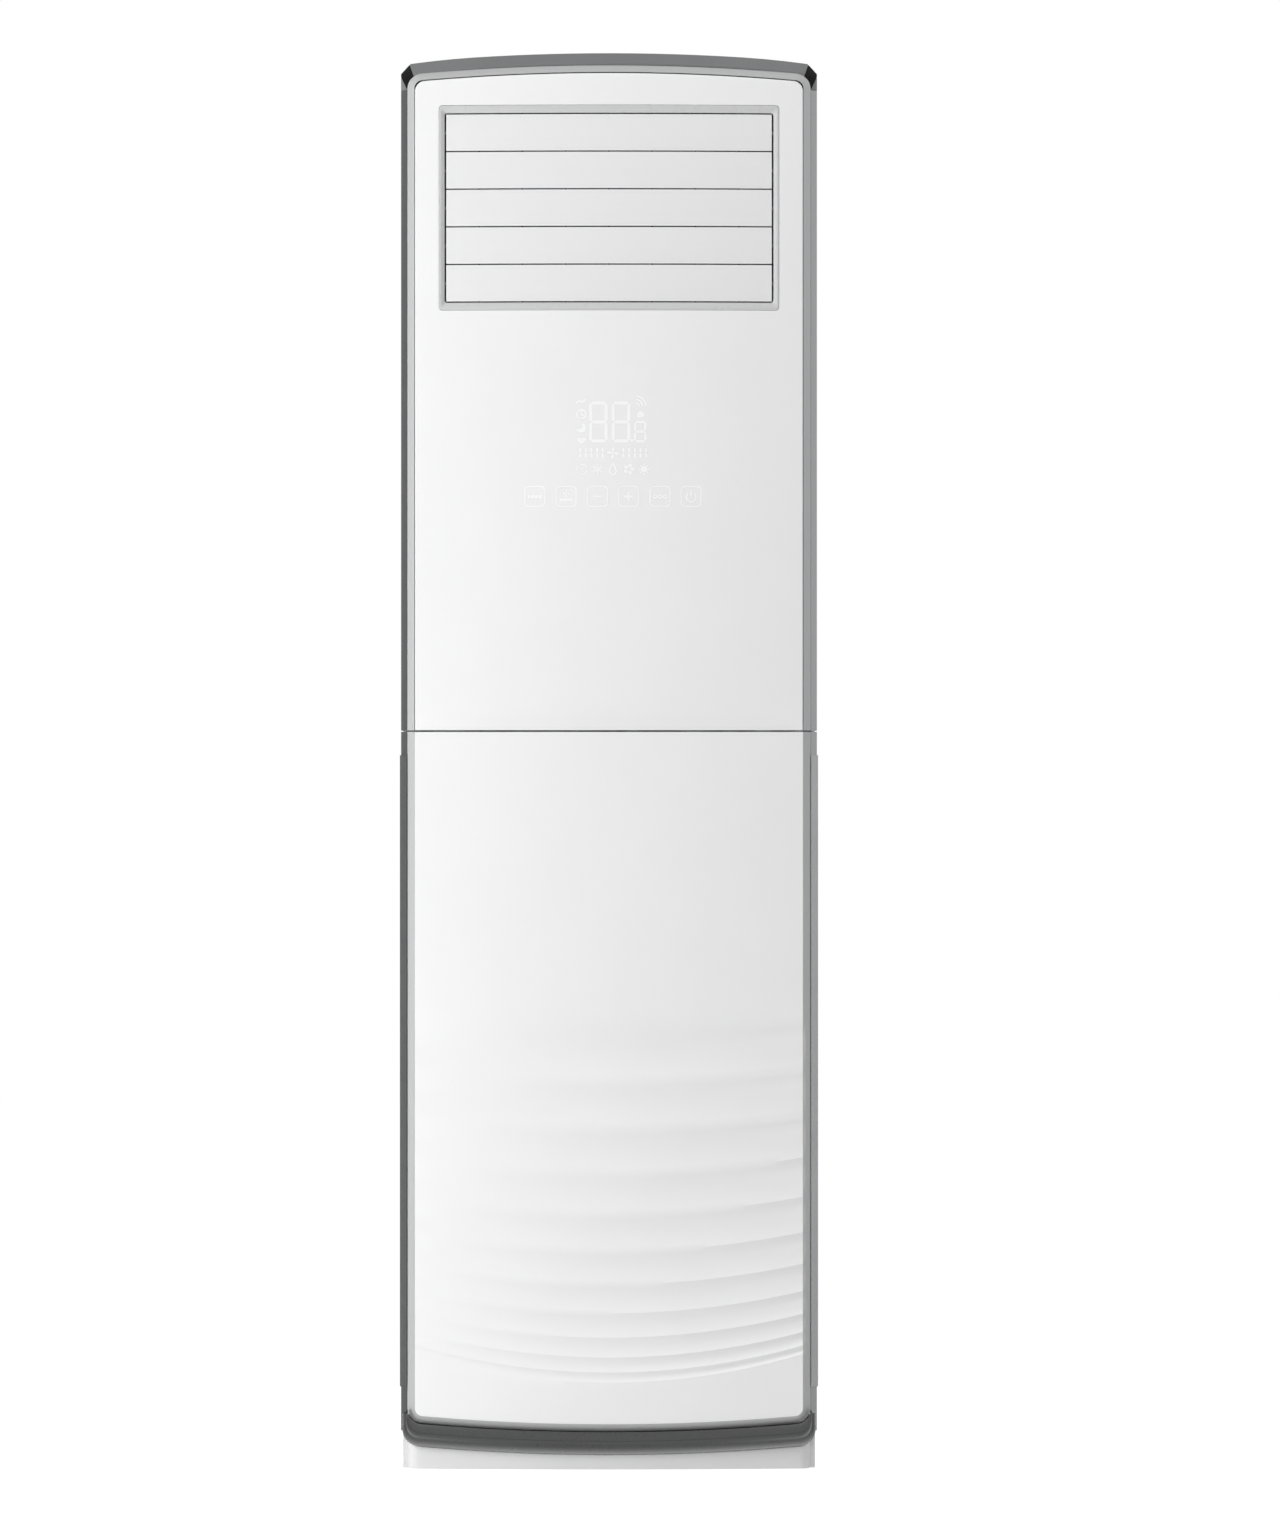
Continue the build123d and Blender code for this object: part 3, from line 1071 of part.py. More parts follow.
def bell_mouth():
    """Front plate of the scroll with the rounded mouth that the wheel breathes through."""
    y1 = SCROLL_FRONT_Y - SEAT
    y0 = y1 - SCROLL_WALL
    plate = front_prism(offset(make_face(scroll_line()), SCROLL_WALL), y0, y1)
    plate -= block(-WIDTH / 2, WIDTH / 2, y0 - EPS, y1 + EPS, DECK_Z - SEAT, DECK_Z + WIDTH)
    plate -= rod_y(MOUTH_R + MOUTH_ROUND, y0 - EPS, y1 + EPS, WHEEL_X, WHEEL_Z)
    r0, r1 = MOUTH_R, MOUTH_R + MOUTH_ROUND
    c = cos(radians(45))
    outer_mid = (r1 - c * MOUTH_ROUND, MOUTH_ROUND * (1 - c))
    ring = make_face([
        ThreePointArc((r1, 0), outer_mid, (r0, MOUTH_ROUND)),
        Line((r0, MOUTH_ROUND), (r0 + SCROLL_WALL, MOUTH_ROUND)),
        ThreePointArc((r0 + SCROLL_WALL, MOUTH_ROUND),
                      (outer_mid[0] + c * SCROLL_WALL, outer_mid[1] + c * SCROLL_WALL),
                      (r1, SCROLL_WALL)),
        Line((r1, SCROLL_WALL), (r1, 0)),
    ])
    mouth = revolve(ring, Axis.Y, 360)
    return plate + Pos(WHEEL_X, y0, WHEEL_Z) * mouth


def wheel_blade_profile():
    """Forward-curved blade in the wheel's plane, centred on the +X radius."""
    r0, r1 = WHEEL_INNER_R, WHEEL_R - EPS / 2
    lead = radians(WHEEL_BLADE_LEAD)
    tip = (r1 * cos(lead), -r1 * sin(lead))
    root = (r0, 0)
    middle = ((root[0] + tip[0]) / 2, (root[1] + tip[1]) / 2 + WHEEL_BLADE_SAG)
    t = WHEEL_BLADE_THICK
    return make_face([
        ThreePointArc(root, middle, tip),
        Line(tip, (tip[0], tip[1] - t)),
        ThreePointArc((tip[0], tip[1] - t), (middle[0], middle[1] - t), (root[0], root[1] - t)),
        Line((root[0], root[1] - t), root),
    ])


def blower_wheel():
    """Forward-curved wheel: back plate with hub, blades and front ring."""
    blade = extrude(wheel_blade_profile(), WHEEL_DEPTH - WHEEL_PLATE / 2 - WHEEL_RING / 2)
    blade = Pos(0, 0, WHEEL_PLATE / 2) * blade
    plate = Pos(0, 0, WHEEL_PLATE / 2) * Cylinder(WHEEL_R, WHEEL_PLATE)
    ring = Pos(0, 0, WHEEL_DEPTH - WHEEL_RING / 2) * (
        Cylinder(WHEEL_R, WHEEL_RING) - Cylinder(WHEEL_INNER_R - EPS, WHEEL_RING + EPS))
    hub = Pos(0, 0, HUB_LENGTH / 2) * Cylinder(HUB_R, HUB_LENGTH)
    wheel = (plate + hub).fuse(ring, *[Rot(0, 0, i * 360 / WHEEL_BLADES) * blade
                                       for i in range(WHEEL_BLADES)])
    wheel -= Cylinder(SHAFT_R + RUN / 2, 4 * HUB_LENGTH)
    return Pos(WHEEL_X, WHEEL_FRONT_Y + WHEEL_DEPTH, WHEEL_Z) * Rot(90, 0, 0) * wheel


def fan_shaft():
    back = SCROLL_BACK_Y + BRACKET_THICK + SEAT + MOTOR_LENGTH / 2
    front = WHEEL_FRONT_Y + WHEEL_DEPTH - HUB_LENGTH - WHEEL_NUT_HEIGHT - SHAFT_STUB
    return rod_y(SHAFT_R, front, back, WHEEL_X, WHEEL_Z)


def wheel_nut():
    y1 = WHEEL_FRONT_Y + WHEEL_DEPTH - HUB_LENGTH - SEAT
    nut = extrude(RegularPolygon(NUT_R, 6), WHEEL_NUT_HEIGHT)
    nut = Pos(WHEEL_X, y1, WHEEL_Z) * Rot(90, 0, 0) * nut
    return nut - rod_y(SHAFT_R + RUN / 2, y1 - 2 * WHEEL_NUT_HEIGHT, y1 + EPS, WHEEL_X, WHEEL_Z)


def motor_bracket():
    """Four-armed plate between the scroll's back and the motor."""
    y0 = SCROLL_BACK_Y + SEAT
    plate = Circle(MOTOR_R + BRACKET_BORDER)
    for angle in (45, 135):
        plate += Rot(0, 0, angle) * SlotOverall(2 * (BRACKET_R + BRACKET_END), BRACKET_ARM)
    plate -= Circle(MOTOR_BELL_R + EPS)
    return Pos(WHEEL_X, 0, WHEEL_Z) * front_prism(plate, y0, y0 + BRACKET_THICK)


def fan_motor():
    """Round motor with a stepped front bell that passes through the bracket."""
    y0 = SCROLL_BACK_Y + BRACKET_THICK + 2 * SEAT
    body = rod_y(MOTOR_R, y0, y0 + MOTOR_LENGTH, WHEEL_X, WHEEL_Z)
    body += rod_y(MOTOR_BELL_R, y0 - MOTOR_BELL, y0 + EPS, WHEEL_X, WHEEL_Z)
    body = fillet(body.edges().filter_by(GeomType.CIRCLE).sort_by(Axis.Y)[-1], MOTOR_ROUND)
    return body - rod_y(SHAFT_R + RUN, y0 - 2 * MOTOR_BELL, y0 + MOTOR_LENGTH / 2 + EPS,
                        WHEEL_X, WHEEL_Z)


def fan_deck():
    """Partition between blower and evaporator, open over the scroll's neck."""
    half = SHELL_INNER - SEAT
    deck = block(-half, half, RAIL_BACK_Y + SEAT, SHELL_REAR_Y - SHEET - SEAT,
                 DECK_Z, DECK_Z + SHEET)
    deck = chamfer(deck.edges().filter_by(Axis.Z), SHELL_CORNER)
    left = WHEEL_X - SCROLL_STEP / 2 - SCROLL_FIRST_R - 2 * SCROLL_STEP
    right = WHEEL_X + SCROLL_STEP / 2 - SCROLL_TONGUE
    deck -= block(left, right, SCROLL_FRONT_Y, SCROLL_BACK_Y - SCROLL_WALL, DECK_Z - EPS,
                  DECK_Z + SHEET + EPS)
    deck -= rod_z(SPOUT_R + EPS, DECK_Z - EPS, DECK_Z + SHEET + EPS, SPOUT_X, SPOUT_Y)
    for radius, y in ((GAS_PIPE_R, GAS_PIPE_Y), (LIQUID_PIPE_R, LIQUID_PIPE_Y)):
        deck -= rod_z(radius + EPS, DECK_Z - EPS, DECK_Z + SHEET + EPS, PIPE_X, y)
    return deck


# ---------------------------------------------------------------- electrics
def electric_box():
    x0, x1 = EBOX_X - EBOX_HALF, EBOX_X + EBOX_HALF
    y0, y1 = EBOX_FRONT_Y, EBOX_FRONT_Y + EBOX_DEPTH
    z1 = DECK_Z - SEAT
    box = block(x0, x1, y0, y1, EBOX_LOW_Z, z1)
    return box - block(x0 + SHEET, x1 - SHEET, y0 - EPS, y1 - SHEET, EBOX_LOW_Z + SHEET, z1 - SHEET)


def electric_box_lid():
    x0, x1 = EBOX_X - EBOX_HALF, EBOX_X + EBOX_HALF
    y1 = EBOX_FRONT_Y - SEAT
    return block(x0, x1, y1 - SHEET, y1, EBOX_LOW_Z, DECK_Z - RAIL_HEIGHT / 2)


def main_board():
    """Control board on posts at the back of the electric box, with its larger parts."""
    back = EBOX_FRONT_Y + EBOX_DEPTH - SHEET
    y1 = back - BOARD_POST
    x0 = EBOX_X - EBOX_HALF + BOARD_EDGE
    x1 = x0 + 2 * BOARD_HALF
    z0 = EBOX_LOW_Z + BOARD_RISE
    board = block(x0, x1, y1 - BOARD_THICK, y1, z0, z0 + BOARD_HEIGHT)
    for x in (x0 + BOARD_POST_INSET, x1 - BOARD_POST_INSET):
        for z in (z0 + BOARD_POST_INSET, z0 + BOARD_HEIGHT - BOARD_POST_INSET):
            board += rod_y(BOARD_POST_R, y1 - EPS / 2, back - SEAT, x, z)
    board += block(x0 + CORE_X, x0 + CORE_X + CORE_WIDTH, y1 - CORE_DEPTH, y1 - EPS,
                   z0 + CORE_Z, z0 + CORE_Z + CORE_HEIGHT)
    board += block(x0 + RELAY_X, x0 + RELAY_X + RELAY_WIDTH, y1 - RELAY_DEPTH, y1 - EPS,
                   z0 + RELAY_Z, z0 + RELAY_Z + RELAY_HEIGHT)
    for i in range(SOCKET_COUNT):
        x = x0 + CORE_X + i * SOCKET_PITCH
        board += block(x, x + SOCKET_WIDTH, y1 - SOCKET_DEPTH, y1 - EPS,
                       z0 + SOCKET_Z, z0 + SOCKET_Z + SOCKET_HEIGHT)
    return board


def terminal_block():
    back = EBOX_FRONT_Y + EBOX_DEPTH - SHEET - SEAT
    x1 = EBOX_X + EBOX_HALF - TERMINAL_INSET
    x0 = x1 - TERMINAL_COUNT * TERMINAL_PITCH
    z0 = EBOX_LOW_Z + TERMINAL_RISE
    body = block(x0, x1, back - TERMINAL_DEPTH, back, z0, z0 + TERMINAL_HEIGHT)
    for i in range(TERMINAL_COUNT):
        x = x0 + (i + 0.5) * TERMINAL_PITCH
        body -= block(x - TERMINAL_PITCH / 2 + TERMINAL_WALL, x + TERMINAL_PITCH / 2 - TERMINAL_WALL,
                      back - TERMINAL_DEPTH - EPS, back - TERMINAL_DEPTH + TERMINAL_POCKET,
                      z0 - EPS, z0 + TERMINAL_HEIGHT - TERMINAL_STEP)
    return body


def run_capacitor():
    back = EBOX_FRONT_Y + EBOX_DEPTH - SHEET - SEAT
    x = EBOX_X + EBOX_HALF - CAPACITOR_INSET
    z0 = EBOX_LOW_Z + CAPACITOR_RISE
    return rod_z(CAPACITOR_R, z0, z0 + CAPACITOR_HEIGHT, x, back - CAPACITOR_R)


# ---------------------------------------------------------------- intake, back and small parts
def intake_grille():
    """Right intake grille: a skin over the side panel's bevel and flank, filled with slats."""
    front = (RIM_HALF + SHELL_FRONT_GAP, SHELL_FRONT_Y)
    outer_half = WIDTH / 2
    points = [
        (front[0] + 0.6, front[1] - 1.6),
        (outer_half, SHELL_BEVEL_Y - 0.4),
        (outer_half, GRILLE_BACK_Y),
    ]
    skin = bent_sheet(points, GRILLE_SKIN, GRILLE_LOW_Z, GRILLE_HIGH_Z)
    y0, y1 = WINDOW_FRONT_Y + WINDOW_MARGIN, WINDOW_BACK_Y - WINDOW_MARGIN
    z0, z1 = WINDOW_LOW_Z + WINDOW_MARGIN, WINDOW_HIGH_Z - WINDOW_MARGIN
    skin -= block(outer_half - 20, outer_half + EPS, y0, y1, z0, z1)
    x0 = outer_half - GRILLE_SKIN - SLAT_DEPTH
    slats = []
    count = int((z1 - z0) / SLAT_PITCH)
    start = (z0 + z1) / 2 - (count - 1) * SLAT_PITCH / 2
    for i in range(count):
        z = start + i * SLAT_PITCH
        slats.append(block(x0, outer_half - GRILLE_SKIN / 2, y0 - EPS / 2, y1 + EPS / 2,
                           z - SLAT_THICK / 2, z + SLAT_THICK / 2))
    ribs = []
    for y in (y0 + (y1 - y0) / 3, y0 + 2 * (y1 - y0) / 3):
        ribs.append(block(x0, x0 + GRILLE_RIB, y - GRILLE_RIB / 2, y + GRILLE_RIB / 2,
                          z0 + EPS, z1 - EPS))
    frame = block(x0, outer_half - GRILLE_SKIN / 2, y0 - EPS, y1 + EPS, z0 - EPS, z1 + EPS)
    frame -= block(x0 - EPS, outer_half + EPS, y0, y1, z0, z1)
    return skin.fuse(frame, *slats, *ribs)


def air_filter():
    """Right washable filter: a frame with its mesh, clipped inside the grille."""
    x1 = WIDTH / 2 - GRILLE_SKIN - SLAT_DEPTH - SEAT
    x0 = x1 - FILTER_DEPTH
    y0, y1 = WINDOW_FRONT_Y + WINDOW_MARGIN / 2, WINDOW_BACK_Y - WINDOW_MARGIN / 2
    z0, z1 = WINDOW_LOW_Z + WINDOW_MARGIN / 2, WINDOW_HIGH_Z - WINDOW_MARGIN / 2
    frame = block(x0, x1, y0, y1, z0, z1)
    inner = (y0 + FILTER_BORDER, y1 - FILTER_BORDER, z0 + FILTER_BORDER, z1 - FILTER_BORDER)
    frame -= block(x0 + FILTER_MESH, x1 + EPS, *inner)
    for i in range(1, 4):
        z = z0 + (z1 - z0) * i / 4
        frame += block(x0, x1, y0 + EPS, y1 - EPS, z - FILTER_RIB / 2, z + FILTER_RIB / 2)
    return frame


def pipe_port_ring():
    """Rubber ring that lines the pipe port in the rear panel."""
    y0 = REAR_INNER_Y - (PORT_LENGTH - SHEET) / 2
    y1 = y0 + PORT_LENGTH
    ring = rod_y(PORT_R + PORT_RING, y0, y1, PORT_X, PORT_Z)
    ring -= rod_y(PORT_R, y0 - EPS, y1 + EPS, PORT_X, PORT_Z)
    groove = rod_y(PORT_R + PORT_RING + EPS, REAR_INNER_Y - SEAT / 2, REAR_Y + SEAT / 2,
                   PORT_X, PORT_Z)
    groove -= rod_y(PORT_R + PORT_RING / 2 - SEAT, REAR_INNER_Y - EPS, REAR_Y + EPS, PORT_X, PORT_Z)
    return ring - groove


def cable_gland():
    """Gland for the supply cable, with its nut outside."""
    body = rod_y(GLAND_R, REAR_INNER_Y - GLAND_REACH, REAR_Y + SEAT + EPS, GLAND_X, PORT_Z)
    nut = extrude(RegularPolygon(GLAND_NUT_R, 6), GLAND_NUT_HEIGHT)
    body += Pos(GLAND_X, REAR_Y + SEAT + GLAND_NUT_HEIGHT, PORT_Z) * Rot(90, 0, 0) * nut
    body += Pos(GLAND_X, REAR_INNER_Y - SEAT, PORT_Z) * Rot(90, 0, 0) * nut
    return body - rod_y(GLAND_BORE_R, REAR_INNER_Y - 2 * GLAND_REACH, REAR_Y + 2 * GLAND_REACH,
                        GLAND_X, PORT_Z)


def wall_bracket():
    """Stepped bracket that ties the top of the cabinet to the wall."""
    y_unit, y_wall = REAR_Y + SEAT, DEPTH / 2
    z = BRACKET_LOW_Z
    bracket = block(-BRACKET_HALF, BRACKET_HALF, y_unit, y_unit + SHEET, z, z + BRACKET_LEG)
    bracket += block(-BRACKET_HALF, BRACKET_HALF, y_unit, y_wall, z + BRACKET_LEG,
                     z + BRACKET_LEG + SHEET)
    bracket += block(-BRACKET_HALF, BRACKET_HALF, y_wall - SHEET, y_wall, z + BRACKET_LEG,
                     z + 2 * BRACKET_LEG)
    for x in (-BRACKET_HOLE_X / 2, BRACKET_HOLE_X / 2):
        bracket -= rod_y(BRACKET_HOLE_R, y_wall - 2 * SHEET, y_wall + EPS, x, z + 1.5 * BRACKET_LEG)
    return bracket


def casing_screws():
    """Pan-head screws of the rear panel."""
    screws = []
    for x, z in screw_places():
        head = rod_y(SCREW_HEAD_R, REAR_Y, REAR_Y + SCREW_HEAD, x, z)
        shank = rod_y(SCREW_R, REAR_Y - SCREW_LENGTH, REAR_Y + EPS, x, z)
        screws.append(head + shank)
    return Compound(children=screws)


# ---------------------------------------------------------------- the assembly
def make_parts():
    parts = {
        "base_pan": base_pan(),
        "bottom_band": bottom_band(),
        "right_lower_side": lower_side_panel(),
        "left_lower_side": to_left(lower_side_panel()),
        "right_upper_side": upper_side_panel(),
        "left_upper_side": to_left(upper_side_panel()),
        "rear_panel": rear_panel(),
        "top_cover": top_cover(),
        "right_corner_cap": corner_cap(),
        "left_corner_cap": to_left(corner_cap()),
        "front_cross_rail": cross_rail(),
        "upper_frame": upper_frame(),
        "upper_face_panel": upper_face_panel(),
        "outlet_frame": outlet_frame(),
        "louvre_link_bar": louvre_link_bar(),
        "louvre_motor": louvre_motor(),
        "vane_link_bar": vane_link_bar(),
        "vane_motor": vane_motor(),
        "display_board": display_board(),
        "lower_front_panel": lower_front_panel(),
        "outlet_duct": outlet_duct(),
        "evaporator_fins": evaporator_fins(),
        "coil_end_plates": coil_end_plates(),
        "evaporator_tubes": evaporator_tubes(),
        "drain_pan": drain_pan(),
        "gas_pipe": flare_pipe(GAS_PIPE_R, GAS_PIPE_Y, GAS_NUT_R),
        "liquid_pipe": flare_pipe(LIQUID_PIPE_R, LIQUID_PIPE_Y, LIQUID_NUT_R),
        "fan_deck": fan_deck(),
        "scroll_casing": scroll_casing(),
        "bell_mouth": bell_mouth(),
        "blower_wheel": blower_wheel(),
        "fan_shaft": fan_shaft(),
        "wheel_nut": wheel_nut(),
        "motor_bracket": motor_bracket(),
        "fan_motor": fan_motor(),
        "electric_box": electric_box(),
        "electric_box_lid": electric_box_lid(),
        "main_board": main_board(),
        "terminal_block": terminal_block(),
        "run_capacitor": run_capacitor(),
        "right_intake_grille": intake_grille(),
        "left_intake_grille": to_left(intake_grille()),
        "right_air_filter": air_filter(),
        "left_air_filter": to_left(air_filter()),
        "pipe_port_ring": pipe_port_ring(),
        "cable_gland": cable_gland(),
        "wall_bracket": wall_bracket(),
        "casing_screws": casing_screws(),
    }
    for i, z in enumerate(louvre_heights(), start=1):
        parts[f"louvre_blade_{i}"] = louvre_blade(z)
    for i, x in enumerate(vane_places(), start=1):
        parts[f"swing_vane_{i}"] = swing_vane(x)
    return parts


os.makedirs("parts", exist_ok=True)
for name, solid in make_parts().items():
    export_step(solid, f"parts/{name}.step")
    print(name, f"{solid.volume:.0f} mm3")
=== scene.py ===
"""Floor standing air conditioner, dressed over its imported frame.

The bowed front pieces are drawn here as fine surfaces, what repeats grows from geometry nodes,
and the other pieces are finer copies of the frame's own solids. Everything is in metres.
"""
import json
import logging
import math
from contextlib import contextmanager
from dataclasses import dataclass, field
from enum import Enum
from typing import Any, Callable, Iterator, Sequence

import bmesh
import bpy
import numpy as np
from mathutils import Matrix, Vector

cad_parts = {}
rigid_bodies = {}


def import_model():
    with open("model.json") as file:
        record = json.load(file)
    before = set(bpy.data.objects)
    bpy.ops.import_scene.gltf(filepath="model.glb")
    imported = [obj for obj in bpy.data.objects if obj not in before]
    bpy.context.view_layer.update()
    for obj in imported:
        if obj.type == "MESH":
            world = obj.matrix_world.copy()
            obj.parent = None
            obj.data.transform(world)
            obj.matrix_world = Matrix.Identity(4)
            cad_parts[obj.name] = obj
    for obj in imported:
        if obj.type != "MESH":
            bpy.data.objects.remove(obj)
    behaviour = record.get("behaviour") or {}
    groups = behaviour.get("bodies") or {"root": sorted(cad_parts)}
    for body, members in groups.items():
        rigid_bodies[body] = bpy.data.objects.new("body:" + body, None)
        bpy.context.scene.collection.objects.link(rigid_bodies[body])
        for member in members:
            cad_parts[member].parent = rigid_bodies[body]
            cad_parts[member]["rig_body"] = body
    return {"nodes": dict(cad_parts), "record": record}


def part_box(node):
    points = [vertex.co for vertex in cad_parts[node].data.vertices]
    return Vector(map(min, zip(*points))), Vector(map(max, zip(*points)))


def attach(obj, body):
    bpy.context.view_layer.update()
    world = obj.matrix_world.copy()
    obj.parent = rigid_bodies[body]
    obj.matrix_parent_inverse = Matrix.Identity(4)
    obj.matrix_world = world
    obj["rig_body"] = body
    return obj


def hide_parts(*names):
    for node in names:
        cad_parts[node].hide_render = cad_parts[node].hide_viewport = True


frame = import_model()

log = logging.getLogger("air_conditioner")
Socket = bpy.types.NodeSocket
Mesh = bpy.types.Mesh
Piece = bpy.types.Object
Inputs = dict[Any, Any]
Colour = tuple[float, float, float]
Pair = tuple[float, float]
Triple = tuple[float, float, float]
Faces = list[tuple[int, ...]]
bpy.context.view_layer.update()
MM = 0.001
MERGE = 2e-6
SHARP = 32.0
PURE_WHITE = (1.0, 1.0, 1.0, 1.0)


class Side(Enum):
    """Side of the cabinet, seen from the front."""

    LEFT = -1
    RIGHT = 1

    @property
    def word(self) -> str:
        """Word that starts a piece's name on this side."""
        return self.name.lower()


class Depth(Enum):
    """What a depth is: a distance behind the bowed face, or a plain Y."""

    BOW = "bow"
    FLAT = "flat"


class Reach(Enum):
    """Whether a lamp lights only some pieces, or all but them."""

    ONLY = "INCLUDE"
    NOT = "EXCLUDE"


BOW, FLAT = Depth.BOW, Depth.FLAT
Step = tuple[float, Depth, float]


# ------------------------------------------------------------------ node trees
class NodeSheet:
    """A node tree with short calls for adding and joining nodes."""

    def __init__(self, tree: bpy.types.NodeTree) -> None:
        """Keeps the tree to work on."""
        self.tree = tree

    def feed(self, node: bpy.types.Node, inputs: Inputs) -> None:
        """Sets a node's inputs.

        Args:
            node: the node.
            inputs: values or output sockets by input name or number.
        """
        for key, value in inputs.items():
            if isinstance(value, Socket):
                self.tree.links.new(value, node.inputs[key])
            else:
                node.inputs[key].default_value = value

    def add(self, kind: str, inputs: Inputs | None = None, **settings: Any) -> bpy.types.Node:
        """Adds a node.

        Args:
            kind: the node's type name.
            inputs: values or output sockets by input name or number.
            settings: attributes of the node itself.

        Returns:
            The new node.
        """
        node = self.tree.nodes.new(kind)
        for key, value in settings.items():
            setattr(node, key, value)
        self.feed(node, inputs or {})
        return node

    def out(self, kind: str, inputs: Inputs | None = None, pick: int | str = 0,
            **settings: Any) -> Socket:
        """Adds a node in the same way; returns its output of the picked name or number."""
        return self.add(kind, inputs, **settings).outputs[pick]

    def calc(self, operation: str, *values: Any) -> Socket:
        """Math node on numbers or sockets; returns its output."""
        return self.out("ShaderNodeMath", dict(enumerate(values)), operation=operation)

    def noise(self, place: Socket, scale: float, detail: float = 2.0) -> Socket:
        """Noise value at a scale in features per metre; returns its output."""
        return self.out("ShaderNodeTexNoise", {"Vector": place, "Scale": scale, "Detail": detail})

    def cells(self, place: Socket, scale: float, pick: str = "Distance", **settings: Any) -> Socket:
        """Cells at a scale in cells per metre; returns the picked output."""
        return self.out("ShaderNodeTexVoronoi", {"Vector": place, "Scale": scale}, pick, **settings)

    def channel(self, colour: Socket, number: int = 0) -> Socket:
        """One channel of a colour; returns its output."""
        return self.out("ShaderNodeSeparateColor", {0: colour}, number)

    def ramp(self, value: Socket, start: float, end: float, low: float = 0.0, high: float = 1.0,
             **settings: Any) -> Socket:
        """Maps the range from start to end to that from low to high; returns the output."""
        inputs = {"Value": value, 1: start, 2: end, 3: low, 4: high}
        return self.out("ShaderNodeMapRange", inputs, **settings)

    def spread(self, value: Socket, low: float = 0.0, high: float = 1.0) -> Socket:
        """Maps the middle of a noise to the range from low to high; returns the output."""
        return self.ramp(value, 0.3, 0.7, low, high)

    def blend(self, share: Any, first: Any, second: Any) -> Socket:
        """Mixes two colours; returns the output."""
        return self.out("ShaderNodeMix", {0: share, 6: first, 7: second}, 2, data_type="RGBA")

    def between(self, share: Any, first: Any, second: Any) -> Socket:
        """Mixes two numbers; returns the output."""
        return self.out("ShaderNodeMix", {0: share, 2: first, 3: second})

    def xyz(self, x: Any = 0.0, y: Any = 0.0, z: Any = 0.0) -> Socket:
        """Vector of three numbers or sockets; returns its output."""
        return self.out("ShaderNodeCombineXYZ", {0: x, 1: y, 2: z})


def tinted(colour: Colour, share: float = 0.0) -> tuple[float, float, float, float]:
    """Colour with an alpha of 1, lighter by a share of itself, or darker if that is below 0."""
    return (*(min(1.0, max(0.0, c * (1 + share))) for c in colour), 1.0)


# ------------------------------------------------------------------ finishes
@dataclass(frozen=True)
class Finish:
    """Moulded or painted surface with drifting colour, uneven gloss and a fine skin."""

    name: str
    colour: Colour
    roughness: float = 0.35
    metallic: float = 0.0
    drift: float = 0.02
    drift_scale: float = 9.0
    gloss_spread: float = 0.05
    skin: float = 0.12
    skin_scale: float = 700.0
    skin_depth: float = 0.2 * MM
    coat: float = 0.0
    coat_roughness: float = 0.08
    specular: float = 0.5
    # Light that the surface gives off itself; the print uses it as a painted glow.
    glow: float = 0.0

    @property
    def gloss_ends(self) -> Pair:
        """Lowest and highest roughness."""
        return self.roughness - self.gloss_spread, self.roughness + self.gloss_spread

    def shades(self, sheet: NodeSheet, share: Socket) -> Socket:
        """Blend from the colour's dark shade to its light one; returns the output."""
        return sheet.blend(share, tinted(self.colour, -self.drift), tinted(self.colour, self.drift))

    def colour_of(self, sheet: NodeSheet, place: Socket) -> Socket:
        """Colour over the surface; returns the output that carries it."""
        return self.shades(sheet, sheet.spread(sheet.noise(place, self.drift_scale)))

    def height_of(self, sheet: NodeSheet, place: Socket) -> Socket:
        """Height of the fine skin; returns the output that carries it."""
        return sheet.noise(place, self.skin_scale, 3.0)

    def gloss_of(self, sheet: NodeSheet, place: Socket) -> Socket:
        """Roughness over the surface; returns the output that carries it."""
        low, high = self.gloss_ends
        return sheet.spread(sheet.noise(place, self.skin_scale / 12), max(0.03, low), high)

    def material(self) -> bpy.types.Material:
        """Makes the material, or finds it if it is there already.

        Returns:
            The material.
        """
        found = bpy.data.materials.get(self.name)
        if found:
            return found
        made = bpy.data.materials.new(self.name)
        made.use_nodes = True
        sheet = NodeSheet(made.node_tree)
        place = sheet.out("ShaderNodeTexCoord", pick="Object")
        bump = {"Strength": self.skin, "Distance": self.skin_depth,
                "Height": self.height_of(sheet, place)}
        sheet.feed(made.node_tree.nodes["Principled BSDF"], {
            "Base Color": self.colour_of(sheet, place),
            "Roughness": self.gloss_of(sheet, place),
            "Normal": sheet.out("ShaderNodeBump", bump),
            "Metallic": self.metallic,
            "Specular IOR Level": self.specular,
            "Coat Weight": self.coat,
            "Coat Roughness": self.coat_roughness,
            "Emission Color": PURE_WHITE,
            "Emission Strength": self.glow,
        })
        made.diffuse_color = tinted(self.colour)
        return made


@dataclass(frozen=True)
class PowderCoat(Finish):
    """Sprayed powder paint: a rolling skin of small cells."""

    def height_of(self, sheet: NodeSheet, place: Socket) -> Socket:
        """Height of the rolling skin; returns the output that carries it."""
        cells = sheet.cells(place, self.skin_scale, feature="SMOOTH_F1")
        return sheet.calc("ADD", cells, sheet.noise(place, self.skin_scale * 2))


@dataclass(frozen=True)
class MetalFlake(Finish):
    """Silver lacquer with fine flakes in it."""

    flake_scale: float = 2600.0

    def colour_of(self, sheet: NodeSheet, place: Socket) -> Socket:
        """Colour with light and dark flakes; returns the output that carries it."""
        return self.shades(sheet, sheet.channel(sheet.cells(place, self.flake_scale, "Color")))


